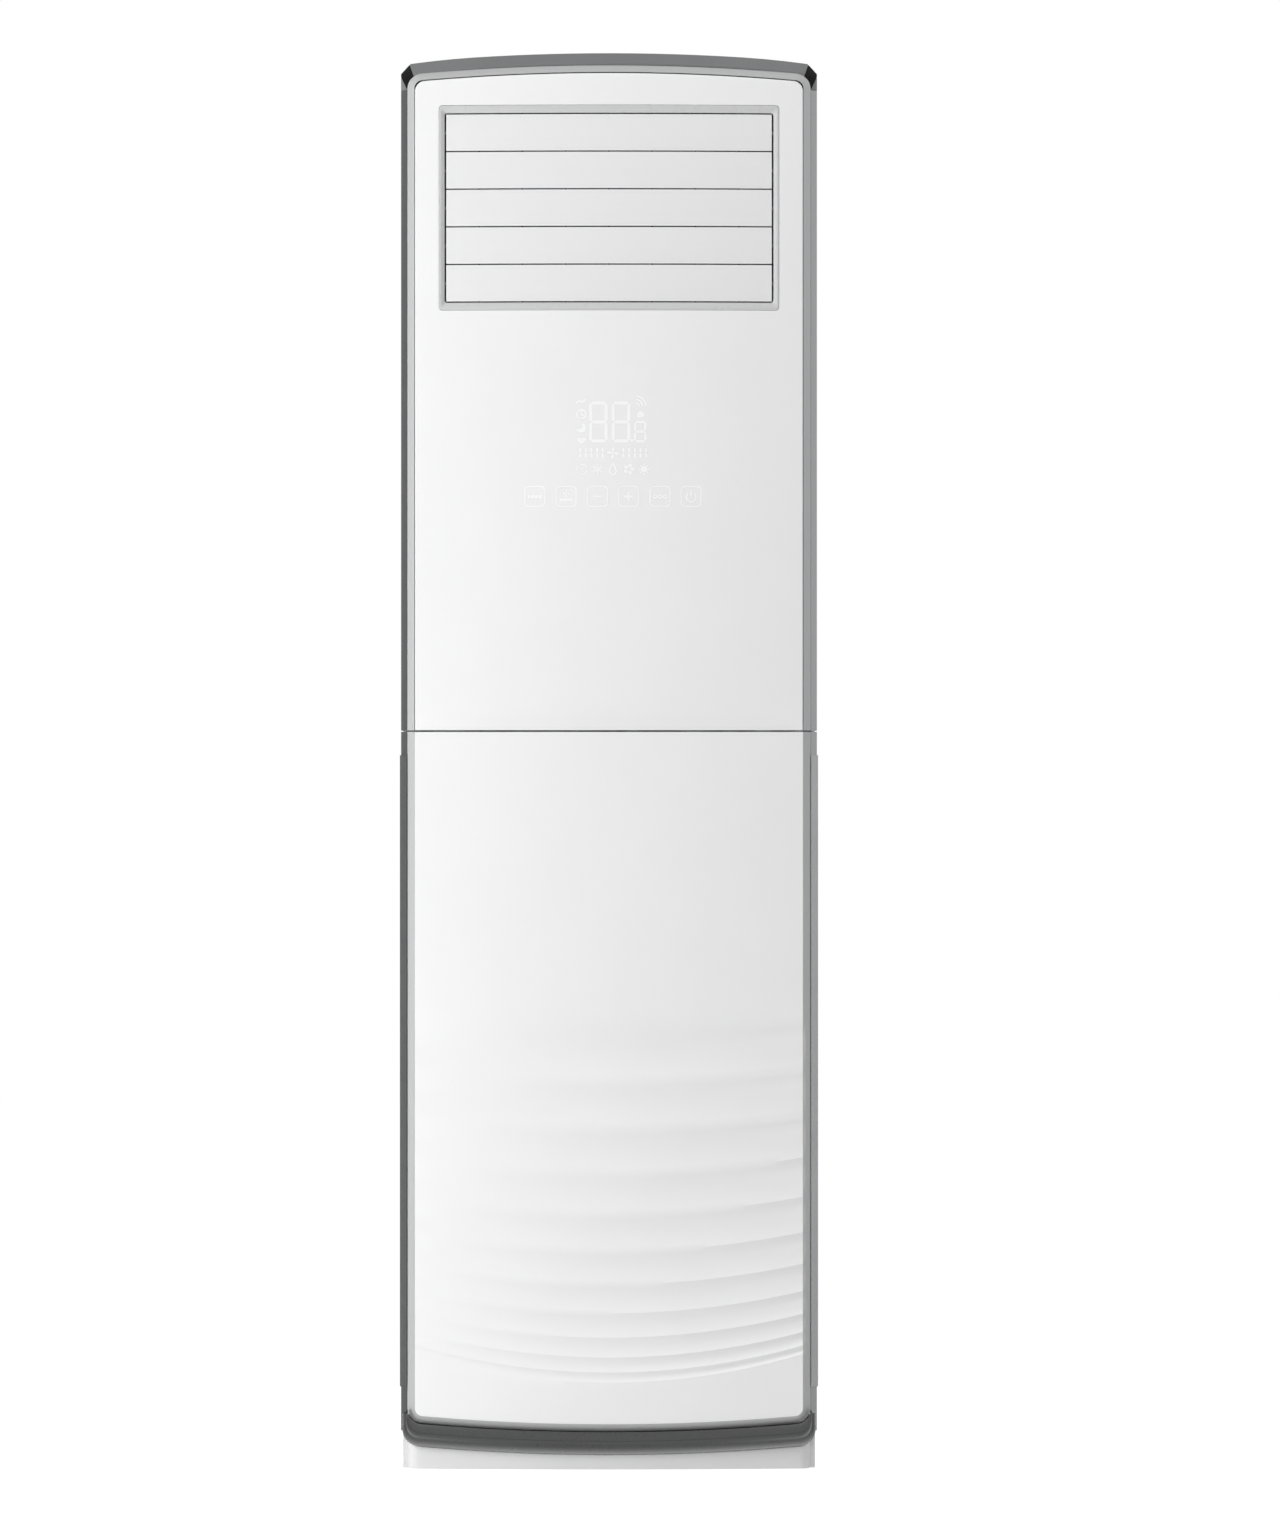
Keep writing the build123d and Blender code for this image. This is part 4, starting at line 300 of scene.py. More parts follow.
@dataclass(frozen=True)
class Galvanised(Finish):
    """Zinc-coated sheet with its spangle."""

    spangle_scale: float = 90.0

    def colour_of(self, sheet: NodeSheet, place: Socket) -> Socket:
        """Colour that changes from crystal to crystal; returns the output that carries it."""
        return self.shades(sheet, sheet.channel(sheet.cells(place, self.spangle_scale, "Color")))

    def gloss_of(self, sheet: NodeSheet, place: Socket) -> Socket:
        """Roughness that changes with the crystals; returns the output that carries it."""
        share = sheet.channel(sheet.cells(place, self.spangle_scale, "Color"), 1)
        return sheet.ramp(share, 0.0, 1.0, *self.gloss_ends)


@dataclass(frozen=True)
class Drawn(Finish):
    """Drawn or brushed metal with lines along one axis and tarnish in patches."""

    lines: Triple = (40.0, 40.0, 1.0)
    tarnish: Colour = (0.30, 0.16, 0.09)
    tarnish_share: float = 0.35

    def colour_of(self, sheet: NodeSheet, place: Socket) -> Socket:
        """Metal colour with patches of tarnish; returns the output that carries it."""
        patches = sheet.spread(sheet.noise(place, 35.0, 4.0), 0.0, self.tarnish_share)
        return sheet.blend(patches, tinted(self.colour), tinted(self.tarnish))

    def height_of(self, sheet: NodeSheet, place: Socket) -> Socket:
        """Height of the drawing lines; returns the output that carries it."""
        drawn = sheet.out("ShaderNodeMapping", {"Vector": place, "Scale": self.lines})
        return sheet.noise(drawn, 60.0, 4.0)


@dataclass(frozen=True)
class Foam(Finish):
    """Expanded bead foam: beads pressed against each other."""

    bead_scale: float = 260.0

    def height_of(self, sheet: NodeSheet, place: Socket) -> Socket:
        """Height over the beads; returns the output that carries it."""
        beads = sheet.cells(place, self.bead_scale, feature="DISTANCE_TO_EDGE")
        return sheet.calc("MINIMUM", beads, 0.25)


@dataclass(frozen=True)
class Weave(Finish):
    """Woven net, its threads along Y and Z."""

    threads: float = 900.0

    def off_thread(self, sheet: NodeSheet, place: Socket) -> Socket:
        """How far a place is from the nearest thread; returns the output that carries it."""
        axes = sheet.add("ShaderNodeSeparateXYZ", {0: place}).outputs
        turns = [sheet.calc("MULTIPLY", axes[i], self.threads * math.pi) for i in (1, 2)]
        waves = [sheet.calc("ABSOLUTE", sheet.calc("SINE", turn)) for turn in turns]
        return sheet.calc("MINIMUM", *waves)

    def colour_of(self, sheet: NodeSheet, place: Socket) -> Socket:
        """Painted shade: dark between the threads and lighter on them; returns the output that
        carries it.
        """
        share = sheet.ramp(self.off_thread(sheet, place), 0.25, 0.6)
        return sheet.blend(share, tinted(self.colour, 0.5), tinted(self.colour, -0.7))

    def height_of(self, sheet: NodeSheet, place: Socket) -> Socket:
        """Threads stand up; returns the output that carries it."""
        return sheet.calc("SUBTRACT", 1.0, self.off_thread(sheet, place))


@dataclass(frozen=True)
class CircuitBoard(Finish):
    """Solder mask with copper runs that show through it."""

    runs: Colour = (0.10, 0.42, 0.20)

    def colour_of(self, sheet: NodeSheet, place: Socket) -> Socket:
        """Green with lighter runs; returns the output that carries it."""
        cells = sheet.out("ShaderNodeTexVoronoi",
                          {"Vector": place, "Scale": 110.0, "Randomness": 0.75}, "Distance",
                          distance="CHEBYCHEV", feature="F1")
        share = sheet.calc("GREATER_THAN", sheet.calc("FRACT", sheet.calc("MULTIPLY", cells, 7.0)),
                           0.72)
        return sheet.blend(share, tinted(self.colour), tinted(self.runs))


WHITE = (0.90, 0.90, 0.905)
FINISHES: dict[str, Finish] = {
    "white_face": Finish("white_gloss_moulding", WHITE, 0.22, drift=0.006, skin=0.05,
                         skin_scale=420.0, coat=0.25, gloss_spread=0.04),
    "white_louvre": Finish("white_satin_moulding", WHITE, 0.32, drift=0.002, gloss_spread=0.015,
                           skin=0.05, skin_scale=600.0),
    "rim_grey": MetalFlake("silver_rim_lacquer", (0.52, 0.523, 0.527), 0.34, skin=0.03),
    "shell_grey": MetalFlake("grey_shell_lacquer", (0.115, 0.117, 0.12), 0.34, drift=0.05,
                             skin=0.06),
    "cover_grey": Finish("grey_cover_moulding", (0.20, 0.203, 0.206), 0.42, drift=0.03, skin=0.15,
                         skin_scale=900.0),
    "cap_black": Finish("black_cap_moulding", (0.010, 0.010, 0.011), 0.30, drift=0.2, skin=0.04,
                        specular=0.08),
    "band_dark": Finish("dark_band_moulding", (0.040, 0.041, 0.042), 0.30, drift=0.04, skin=0.1,
                        skin_scale=900.0, coat=1.0, coat_roughness=0.12),
    "plinth_white": PowderCoat("white_plinth_paint", (0.86, 0.86, 0.865), 0.42, drift=0.01,
                               skin=0.18, skin_scale=500.0),
    "galvanised": Galvanised("galvanised_sheet", (0.56, 0.58, 0.60), 0.42, 0.85, drift=0.09,
                             gloss_spread=0.10, skin=0.08, skin_scale=300.0),
    "grille_grey": Finish("grille_moulding", (0.13, 0.133, 0.136), 0.45, drift=0.05, skin=0.25,
                          skin_scale=1100.0),
    "filter_mesh": Weave("filter_net", (0.10, 0.105, 0.11), 0.55, skin=0.6),
    "black_plastic": Finish("black_moulding", (0.022, 0.022, 0.024), 0.45, drift=0.15, skin=0.3,
                            skin_scale=1000.0),
    "wheel_plastic": Finish("wheel_moulding", (0.045, 0.048, 0.05), 0.42, drift=0.1, skin=0.2),
    "steel": Drawn("bright_steel", (0.56, 0.57, 0.58), 0.28, 1.0, skin=0.15,
                   tarnish=(0.40, 0.40, 0.41)),
    "motor_paint": PowderCoat("dark_motor_paint", (0.055, 0.06, 0.065), 0.45, drift=0.08, skin=0.3,
                              skin_scale=600.0),
    "fin_aluminium": Drawn("coated_fins", (0.66, 0.72, 0.74), 0.35, 0.9, skin=0.2,
                           tarnish=(0.50, 0.58, 0.60), lines=(1.0, 30.0, 30.0)),
    "copper": Drawn("copper_tube", (0.72, 0.36, 0.20), 0.26, 1.0),
    "foam": Foam("bead_foam", (0.80, 0.81, 0.82), 0.75, drift=0.03, skin=0.6),
    "board": CircuitBoard("circuit_board", (0.02, 0.14, 0.06), skin=0.15),
    "terminal": Finish("cream_moulding", (0.58, 0.55, 0.46), 0.45, drift=0.04, skin=0.2),
    "capacitor": Drawn("drawn_can", (0.62, 0.63, 0.64), 0.30, 1.0, skin=0.2,
                       tarnish=(0.5, 0.5, 0.5), lines=(30.0, 30.0, 1.0)),
    "rubber": Finish("black_rubber", (0.018, 0.018, 0.018), 0.75, drift=0.2, skin=0.4,
                     skin_scale=800.0, specular=0.3),
}
BEZEL = MetalFlake("silver_bezel_lacquer", (0.66, 0.663, 0.667), 0.30, drift=0.015, skin=0.03)
VANE = Finish("vane_moulding", (0.30, 0.303, 0.306), 0.45, drift=0.03, skin=0.2, skin_scale=900.0)
# Painted glow: the print gives off a faint light of its own, so the marks show brighter than the
# white face around them.
PRINT_WITH_PAINTED_GLOW = Finish("white_print", (0.985, 0.985, 0.985), 0.30, drift=0.004, skin=0.02, glow=0.07)


# ------------------------------------------------------------------ pieces of mesh
def body_of(node: str) -> str:
    """Body that a node of the frame rides on."""
    return frame["nodes"][node]["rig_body"]


def slot_of(node: str) -> str:
    """Material slot that the record gives a node."""
    return next(r["material_slot"] for r in frame["record"]["subparts"] if r["node"] == node)


def new_piece(name: str, mesh: Mesh) -> Piece:
    """Puts a mesh in the scene as an object at the origin."""
    made = bpy.data.objects.new(name, mesh)
    bpy.context.scene.collection.objects.link(made)
    return made


@contextmanager
def editing(mesh: Mesh) -> Iterator[bmesh.types.BMesh]:
    """Opens a mesh for changes and writes them back at the end.

    Args:
        mesh: the mesh, changed in place.

    Returns:
        What the with statement hands out to change the mesh with.
    """
    tool = bmesh.new()
    tool.from_mesh(mesh)
    yield tool
    tool.to_mesh(mesh)
    tool.free()


def smoothed(mesh: Mesh, angle: float = SHARP) -> None:
    """Shades a mesh smooth, apart from edges sharper than the angle in degrees."""
    mesh.polygons.foreach_set("use_smooth", [True] * len(mesh.polygons))
    mesh.set_sharp_from_angle(angle=math.radians(angle))


def mesh_from(name: str, points: Sequence[Sequence[float]], faces: Sequence[Sequence[int]],
              angle: float = SHARP) -> Mesh:
    """Mesh from points and faces, doubles merged and normals outward.

    Args:
        name: the mesh's name.
        points: vertices in metres.
        faces: vertex numbers of each face.
        angle: edges sharper than this, in degrees, stay sharp.

    Returns:
        The mesh.
    """
    mesh = bpy.data.meshes.new(name)
    mesh.from_pydata([tuple(p) for p in points], [], [tuple(f) for f in faces])
    with editing(mesh) as tool:
        bmesh.ops.remove_doubles(tool, verts=tool.verts, dist=MERGE)
        bmesh.ops.recalc_face_normals(tool, faces=tool.faces)
    smoothed(mesh, angle)
    return mesh


def finished_mesh(piece: Piece) -> Mesh:
    """New mesh with what a piece's modifiers make of it."""
    graph = bpy.context.evaluated_depsgraph_get()
    return bpy.data.meshes.new_from_object(piece.evaluated_get(graph))


def baked(piece: Piece) -> None:
    """Applies a piece's modifiers to its mesh."""
    old, piece.data = piece.data, finished_mesh(piece)
    piece.modifiers.clear()
    bpy.data.meshes.remove(old)


def joined(name: str, meshes: Sequence[Mesh]) -> Mesh:
    """One mesh from several.

    Args:
        name: its name.
        meshes: the meshes, which stay as they are.

    Returns:
        The new mesh.
    """
    tool = bmesh.new()
    for mesh in meshes:
        tool.from_mesh(mesh)
    made = bpy.data.meshes.new(name)
    tool.to_mesh(made)
    tool.free()
    smoothed(made)
    return made


def dressed(piece: Piece, node: str, finish: Finish | None = None) -> Piece:
    """Gives a piece the finish of its node's slot and the body of the node that it stands for.

    Args:
        piece: the finished piece.
        node: the node.
        finish: finish in place of the slot's own.

    Returns:
        The piece.
    """
    slot = slot_of(node)
    piece.data.materials.clear()
    piece.data.materials.append((finish or FINISHES[slot]).material())
    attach(piece, body_of(node))
    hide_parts(node)
    log.info("%s stands for %s", piece.name, node)
    return piece


def added(name: str, mesh: Mesh, beside: str, slot: str, finish: Finish | None = None) -> None:
    """Adds a piece that stands for no node.

    Args:
        name: the piece's name.
        mesh: its mesh.
        beside: node whose body it rides on.
        slot: its material slot.
        finish: finish in place of the slot's own.
    """
    piece = new_piece(name, mesh)
    mesh.materials.append((finish or FINISHES[slot]).material())
    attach(piece, body_of(beside))
    log.info("%s is added beside %s", name, beside)


def copied_mesh(node: str, name: str) -> Mesh:
    """Copy of a node's mesh, its doubles merged and its flat faces joined.

    Args:
        node: the node.
        name: the copy's name.

    Returns:
        The copy.
    """
    mesh = frame["nodes"][node].data.copy()
    mesh.name = name
    with editing(mesh) as tool:
        bmesh.ops.remove_doubles(tool, verts=tool.verts, dist=MERGE)
        bmesh.ops.dissolve_limit(tool, angle_limit=math.radians(0.4), verts=tool.verts,
                                 edges=tool.edges)
    return mesh


def refined(node: str, bevel: float = 0.0, segments: int = 2, angle: float = SHARP,
            finish: Finish | None = None) -> Piece:
    """Finer copy of a node: merged, smooth and with its edges broken.

    Args:
        node: node to copy.
        bevel: width of the broken edges in metres, 0 for none.
        segments: steps in each broken edge.
        angle: edges sharper than this, in degrees, are broken and stay sharp.
        finish: finish in place of the slot's own.

    Returns:
        The piece, which stands for the node.
    """
    name = f"{node}_fine"
    piece = new_piece(name, copied_mesh(node, name))
    if bevel:
        tool = piece.modifiers.new("edge", "BEVEL")
        tool.width, tool.segments, tool.limit_method = bevel, segments, "ANGLE"
        tool.angle_limit = math.radians(angle)
        baked(piece)
    smoothed(piece.data, angle)
    return dressed(piece, node, finish)


def all_refined(bevel: float, *nodes: str) -> None:
    """Finer copies of several nodes, their edges broken by the same width in metres."""
    for node in nodes:
        refined(node, bevel)


# ------------------------------------------------------------------ the bowed front
@dataclass(frozen=True)
class BowedFront:
    """The bowed and arched surface that all the front pieces follow."""

    half: float = 250 * MM
    bow: float = 18 * MM
    crown_y: float = -201 * MM
    arch: float = 3.1

    @property
    def radius(self) -> float:
        """Radius of the bow in plan."""
        return (self.half**2 + self.bow**2) / (2 * self.bow)

    def y(self, x: np.ndarray | float, depth: float = 0.0) -> np.ndarray:
        """Y of the surface at x, at a depth behind the face."""
        return self.crown_y + self.radius - np.sqrt((self.radius - depth)**2 - np.square(x))

    def line(self, x: np.ndarray, z: np.ndarray, kind: Depth, depth: float) -> np.ndarray:
        """Points at places across the front and heights, at a depth of either kind."""
        y = self.y(x, depth) if kind is BOW else np.full_like(x, depth)
        return np.stack([x, y, z], axis=-1)


FRONT = BowedFront()


@dataclass(frozen=True)
class Outline:
    """Outline in front view with straight or arched ends and rounded corners."""

    half: float
    low: float
    high: float
    r_low: float = 0.0
    r_high: float = 0.0
    arch_low: float = 0.0
    arch_high: float = 0.0
    low_share: float = 1.0
    top_share: float = 1.0
    least_round: float = 0.4 * MM
    corner_steps: int = 8

    def rounding(self, corner: float, inset: float) -> float:
        """Radius that a corner has after an inset, 0 if it is sharp."""
        return max(corner - inset, self.least_round) if corner else 0.0

    def edge(self, x: np.ndarray, inset: float, top: bool) -> np.ndarray:
        """Height of the top or bottom edge at x, drawn in by an inset.

        Args:
            x: places across the front.
            inset: distance that the outline is drawn in.
            top: True for the top edge.

        Returns:
            The heights.
        """
        sign = 1 if top else -1
        level, corner, arch, share = (
            (self.high, self.r_high, self.arch_high, self.top_share) if top else
            (self.low, self.r_low, self.arch_low, self.low_share))
        r = self.rounding(corner, inset)
        centre_x = self.half - inset - r
        if arch:
            big, zero = arch - inset * share, level - sign * arch
            centre_z = zero + sign * math.sqrt((big - r)**2 - centre_x**2)
            tangent = centre_x * big / (big - r)
            line = zero + sign * np.sqrt(big**2 - np.square(x))
        else:
            centre_z = level - sign * (inset * share + r)
            tangent = centre_x
            line = np.full_like(x, level - sign * inset * share)
        if not r:
            return line
        reach = np.abs(x)
        turned = centre_z + sign * np.sqrt(np.maximum(r**2 - np.square(reach - centre_x), 0.0))
        return np.where(reach > tangent, turned, line)

    def columns(self, inset: float, stops: Sequence[float], counts: Sequence[int]) -> np.ndarray:
        """Places across the front, close together in the corners.

        Args:
            inset: distance that the outline is drawn in.
            stops: places that have to be met, from the left, without the ends.
            counts: steps between each two of them, the ends included.

        Returns:
            The places from left to right.
        """
        r = self.rounding(max(self.r_low, self.r_high), inset)
        end = self.half - inset - r
        marks = [-end, *stops, end]
        middle = np.concatenate([np.linspace(a, b, n + 1)[:-1]
                                 for a, b, n in zip(marks, marks[1:], counts)])
        if not r:
            return np.append(middle, end)
        left = -end - r * np.cos(np.linspace(0, math.pi / 2, self.corner_steps + 1))[:-1]
        return np.concatenate([left, middle, [end], -left[::-1]])

    def around(self, inset: float, end: float, top: bool,
               steps: int) -> tuple[np.ndarray, np.ndarray]:
        """Line from a level along the left side, the top or bottom edge and the right side.

        Args:
            inset: distance that the outline is drawn in.
            end: height where both sides end.
            top: True to go over the top edge.
            steps: points of each side.

        Returns:
            The places across the front, and the heights.
        """
        x = self.columns(inset, (), (32,))
        edge = self.edge(x, inset, top)
        side = np.linspace(end, edge[0], steps)[:-1]
        return (np.concatenate([np.full_like(side, x[0]), x, np.full_like(side, x[-1])]),
                np.concatenate([side, edge, side[::-1]]))


Rows = Callable[[np.ndarray, np.ndarray, np.ndarray], np.ndarray]


def stepped(levels: Sequence[np.ndarray], counts: Sequence[int]) -> np.ndarray:
    """Heights in even steps between each two levels; returns them, rows by columns."""
    parts = [a + (b - a) * np.linspace(0, 1, n + 1)[:-1, None]
             for a, b, n in zip(levels, levels[1:], counts)]
    return np.concatenate([*parts, levels[-1][None, :]])


def even_rows(count: int) -> Rows:
    """Rows at even steps between the bottom and the top edge."""
    share = np.linspace(0, 1, count + 1)[:, None]
    return lambda x, low, high: low + (high - low) * share


def bands(first: Sequence[int], second: Sequence[int], closed: bool = True) -> Faces:
    """Faces that join two loops of vertex numbers, or two open lines of them."""
    n = len(first)
    return [(first[i], first[(i + 1) % n], second[(i + 1) % n], second[i])
            for i in range(n if closed else n - 1)]


@dataclass
class BowedShell:
    """Closed shell that follows the bowed front, from front grid over its edge to back grid."""

    name: str
    outline: Outline
    profile: Sequence[Step]
    stops: Sequence[float] = ()
    counts: Sequence[int] = (24,)
    rows: Rows = field(default_factory=lambda: even_rows(10))
    relief: Callable[[np.ndarray, np.ndarray, float], np.ndarray] | None = None
    relief_levels: int = 0

    def grid(self, level: int) -> np.ndarray:
        """Whole grid at one level of the profile.

        Args:
            level: number of the level.

        Returns:
            The points, rows by columns by xyz.
        """
        inset, kind, depth = self.profile[level]
        x = self.outline.columns(inset, self.stops, self.counts)
        z = self.rows(x, *(self.outline.edge(x, inset, top) for top in (False, True)))
        points = FRONT.line(np.broadcast_to(x, z.shape), z, kind, depth)
        if self.relief and level < self.relief_levels:
            points[..., 1] += self.relief(points[..., 0], z, inset)
        return points

    @staticmethod
    def rim(grid: np.ndarray) -> np.ndarray:
        """Border of a grid as one loop."""
        return np.concatenate([grid[0, :-1], grid[:-1, -1], grid[-1, :0:-1], grid[:0:-1, 0]])

    def mesh(self, hole: Sequence[float] | None = None) -> Mesh:
        """Draws the shell.

        Args:
            hole: x and z limits of a window that both grids leave open, or None.

        Returns:
            The mesh.
        """
        front, back = self.grid(0), self.grid(len(self.profile) - 1)
        rows, columns = front.shape[:2]
        border = self.rim(np.arange(rows * columns).reshape(rows, columns))
        points, faces = [front.reshape(-1, 3)], self.grid_faces(front, 0, hole)
        last, count = border, rows * columns
        for level in range(1, len(self.profile) - 1):
            points.append(self.rim(self.grid(level)))
            ring = np.arange(count, count + len(border))
            faces += bands(last.tolist(), ring.tolist())
            last, count = ring, count + len(border)
        points.append(back.reshape(-1, 3))
        faces += self.grid_faces(back, count, hole)
        faces += bands(last.tolist(), (border + count).tolist())
        return mesh_from(self.name, np.concatenate(points), faces)

    @staticmethod
    def grid_faces(grid: np.ndarray, start: int, hole: Sequence[float] | None) -> Faces:
        """Faces of a grid, apart from those inside a window.

        Args:
            grid: the grid's points.
            start: vertex number of its first point.
            hole: x and z limits of the window, or None.

        Returns:
            The faces.
        """
        rows, columns = grid.shape[:2]
        faces = []
        for j in range(rows - 1):
            for i in range(columns - 1):
                x, z = (grid[j, i] + grid[j + 1, i + 1])[[0, 2]] / 2
                if hole and hole[0] < x < hole[1] and hole[2] < z < hole[3]:
                    continue
                a = start + j * columns + i
                faces.append((a, a + 1, a + columns + 1, a + columns))
        return faces


def loop_round(outline: Outline, step: Step, columns: int, rows: int) -> np.ndarray:
    """Loop round an outline at one step of a profile, with so many steps across and up."""
    shell = BowedShell("loop", outline, [step], counts=(columns,), rows=even_rows(rows))
    return shell.rim(shell.grid(0))


def lofted(name: str, rings: Sequence[np.ndarray], closed_path: bool = True,
           closed_profile: bool = True, angle: float = SHARP) -> Mesh:
    """Skin over rings of equally many points; an open path or profile gets its ends closed.

    Args:
        name: the mesh's name.
        rings: one array of points for each step of the profile.
        closed_path: whether each ring's last point joins its first.
        closed_profile: whether the last ring joins the first.
        angle: edges sharper than this, in degrees, stay sharp.

    Returns:
        The mesh.
    """
    m = len(rings)
    numbers = np.arange(m * len(rings[0])).reshape(m, -1)
    faces: Faces = []
    for k in range(m if closed_profile else m - 1):
        faces += bands(numbers[k].tolist(), numbers[(k + 1) % m].tolist(), closed_path)
    if not closed_path:
        faces += [numbers[:, 0].tolist(), numbers[:, -1].tolist()]
    if not closed_profile:
        faces += [numbers[0, ::-1].tolist(), numbers[-1].tolist()]
    return mesh_from(name, np.concatenate(rings), faces, angle)


def rounding(radius: float, steps: int = 5) -> list[Pair]:
    """Inset and depth pairs of a quarter round, from the side of a piece to its face."""
    return [(radius * (1 - math.cos(t)), radius * (1 - math.sin(t)))
            for t in np.linspace(0, math.pi / 2, steps + 1)]


def slope(width: float, near: float = 20.0, steep: float = 64.0, steps: int = 10) -> list[Pair]:
    """Inset and depth pairs of an arched slope that falls off from the face to the side.

    Args:
        width: width of the slope seen from the front.
        near: its tilt where it leaves the face, in degrees.
        steep: its tilt at the side.
        steps: how many steps it has.

    Returns:
        The pairs, from the side to the face.
    """
    first, last = math.radians(near), math.radians(steep)
    radius = width / (math.sin(last) - math.sin(first))
    return [(width - radius * (math.sin(t) - math.sin(first)),
             radius * (math.cos(first) - math.cos(t))) for t in np.linspace(last, first, steps + 1)]


def bow_steps(pairs: Sequence[Pair], sink: float = 0.0, inset: float = 0.0) -> list[Step]:
    """Profile steps behind the bow from inset and depth pairs, moved in and back by two lengths."""
    return [(a + inset, BOW, b + sink) for a, b in pairs]


# ------------------------------------------------------------------ geometry nodes
class GrowTree:
    """Geometry node tree with named sizes that ends in real geometry."""

    def __init__(self, name: str, **sizes: Any) -> None:
        """Starts the tree.

        Args:
            name: the tree's name.
            sizes: its inputs; whole numbers make integer inputs, triples vectors.
        """
        self.tree = bpy.data.node_groups.new(name, "GeometryNodeTree")
        self.sheet, self.sizes = NodeSheet(self.tree), sizes
        kinds = {int: "NodeSocketInt", tuple: "NodeSocketVector"}
        face = self.tree.interface
        face.new_socket("Geometry", in_out="INPUT", socket_type="NodeSocketGeometry")
        for key, value in sizes.items():
            face.new_socket(key, in_out="INPUT",
                            socket_type=kinds.get(type(value), "NodeSocketFloat"))
        face.new_socket("Geometry", in_out="OUTPUT", socket_type="NodeSocketGeometry")
        self.source = self.sheet.add("NodeGroupInput").outputs

    def swept(self, path: Socket, width: str, height: str, nose: str = "",
              steps: int = 3) -> Socket:
        """Sweeps a rectangular section along a path.

        Args:
            path: output that carries the path.
            width: name of the size that is the section's width.
            height: name of the one that is its height.
            nose: name of the one that rounds its corners, or nothing.
            steps: steps of each rounded corner.

        Returns:
            The output that carries the swept piece.
        """
        section = self.sheet.out("GeometryNodeCurvePrimitiveQuadrilateral",
                                 {"Width": self.source[width], "Height": self.source[height]})
        if nose:
            section = self.sheet.out("GeometryNodeFilletCurve", {
                "Curve": section, "Radius": self.source[nose], "Count": steps}, mode="POLY")
        return self.sheet.out("GeometryNodeCurveToMesh",
                              {"Curve": path, "Profile Curve": section, "Fill Caps": True})

    def stood(self, points: Socket, piece: Socket, turn: Socket | None = None) -> Socket:
        """Stands a piece on every point, turned if a turn is given; returns the output."""
        turned = {"Rotation": turn} if turn else {}
        return self.sheet.out("GeometryNodeInstanceOnPoints",
                              {"Points": points, "Instance": piece, **turned})

    def grow(self, name: str, geometry: Socket, base: Mesh | None = None) -> Mesh:
        """Ends the tree, runs it and returns what grows as a plain mesh.

        Args:
            name: the mesh's name.
            geometry: output that carries what grows.
            base: mesh that the tree starts from, if it needs one.

        Returns:
            The mesh.
        """
        solid = self.sheet.out("GeometryNodeRealizeInstances", {0: geometry})
        self.sheet.add("NodeGroupOutput", {0: solid})
        carrier = new_piece(f"{name}_carrier", base or bpy.data.meshes.new(f"{name}_base"))
        run = carrier.modifiers.new("grow", "NODES")
        run.node_group = self.tree
        for item in self.tree.interface.items_tree:
            if item.in_out == "INPUT" and item.name in self.sizes:
                run[item.identifier] = self.sizes[item.name]
        mesh = finished_mesh(carrier)
        mesh.name = name
        bpy.data.objects.remove(carrier)
        return mesh


# ------------------------------------------------------------------ small solids
def prism(outline: Sequence[Pair], start: float, end: float, axis: int) -> Mesh:
    """Closed prism.

    Args:
        outline: corners in the plane across the axis.
        start: where it starts along the axis.
        end: where it ends.
        axis: 0, 1 or 2 for X, Y or Z.

    Returns:
        The mesh.
    """
    corners = np.array(outline, float)
    rings = [np.insert(corners, axis, along, axis=1) for along in (start, end)]
    return lofted("prism", rings, closed_profile=False)


def arc(centre: Pair, radius: float, turns: Sequence[float]) -> list[Pair]:
    """Points on a circle at some turns in radians."""
    return [(centre[0] + radius * math.cos(t), centre[1] + radius * math.sin(t)) for t in turns]


def round_outline(centre: Pair, radius: float, steps: int = 24) -> list[Pair]:
    """Corners of a circle."""
    return arc(centre, radius, np.linspace(0, 2 * math.pi, steps, endpoint=False))


def arm_outline(first: Pair, second: Pair, radius: float, steps: int = 12) -> list[Pair]:
    """Corners of a flat arm with rounded ends."""
    along = math.atan2(second[1] - first[1], second[0] - first[0])
    half = along + np.linspace(-math.pi / 2, math.pi / 2, steps + 1)
    return arc(second, radius, half) + arc(first, radius, half + math.pi)


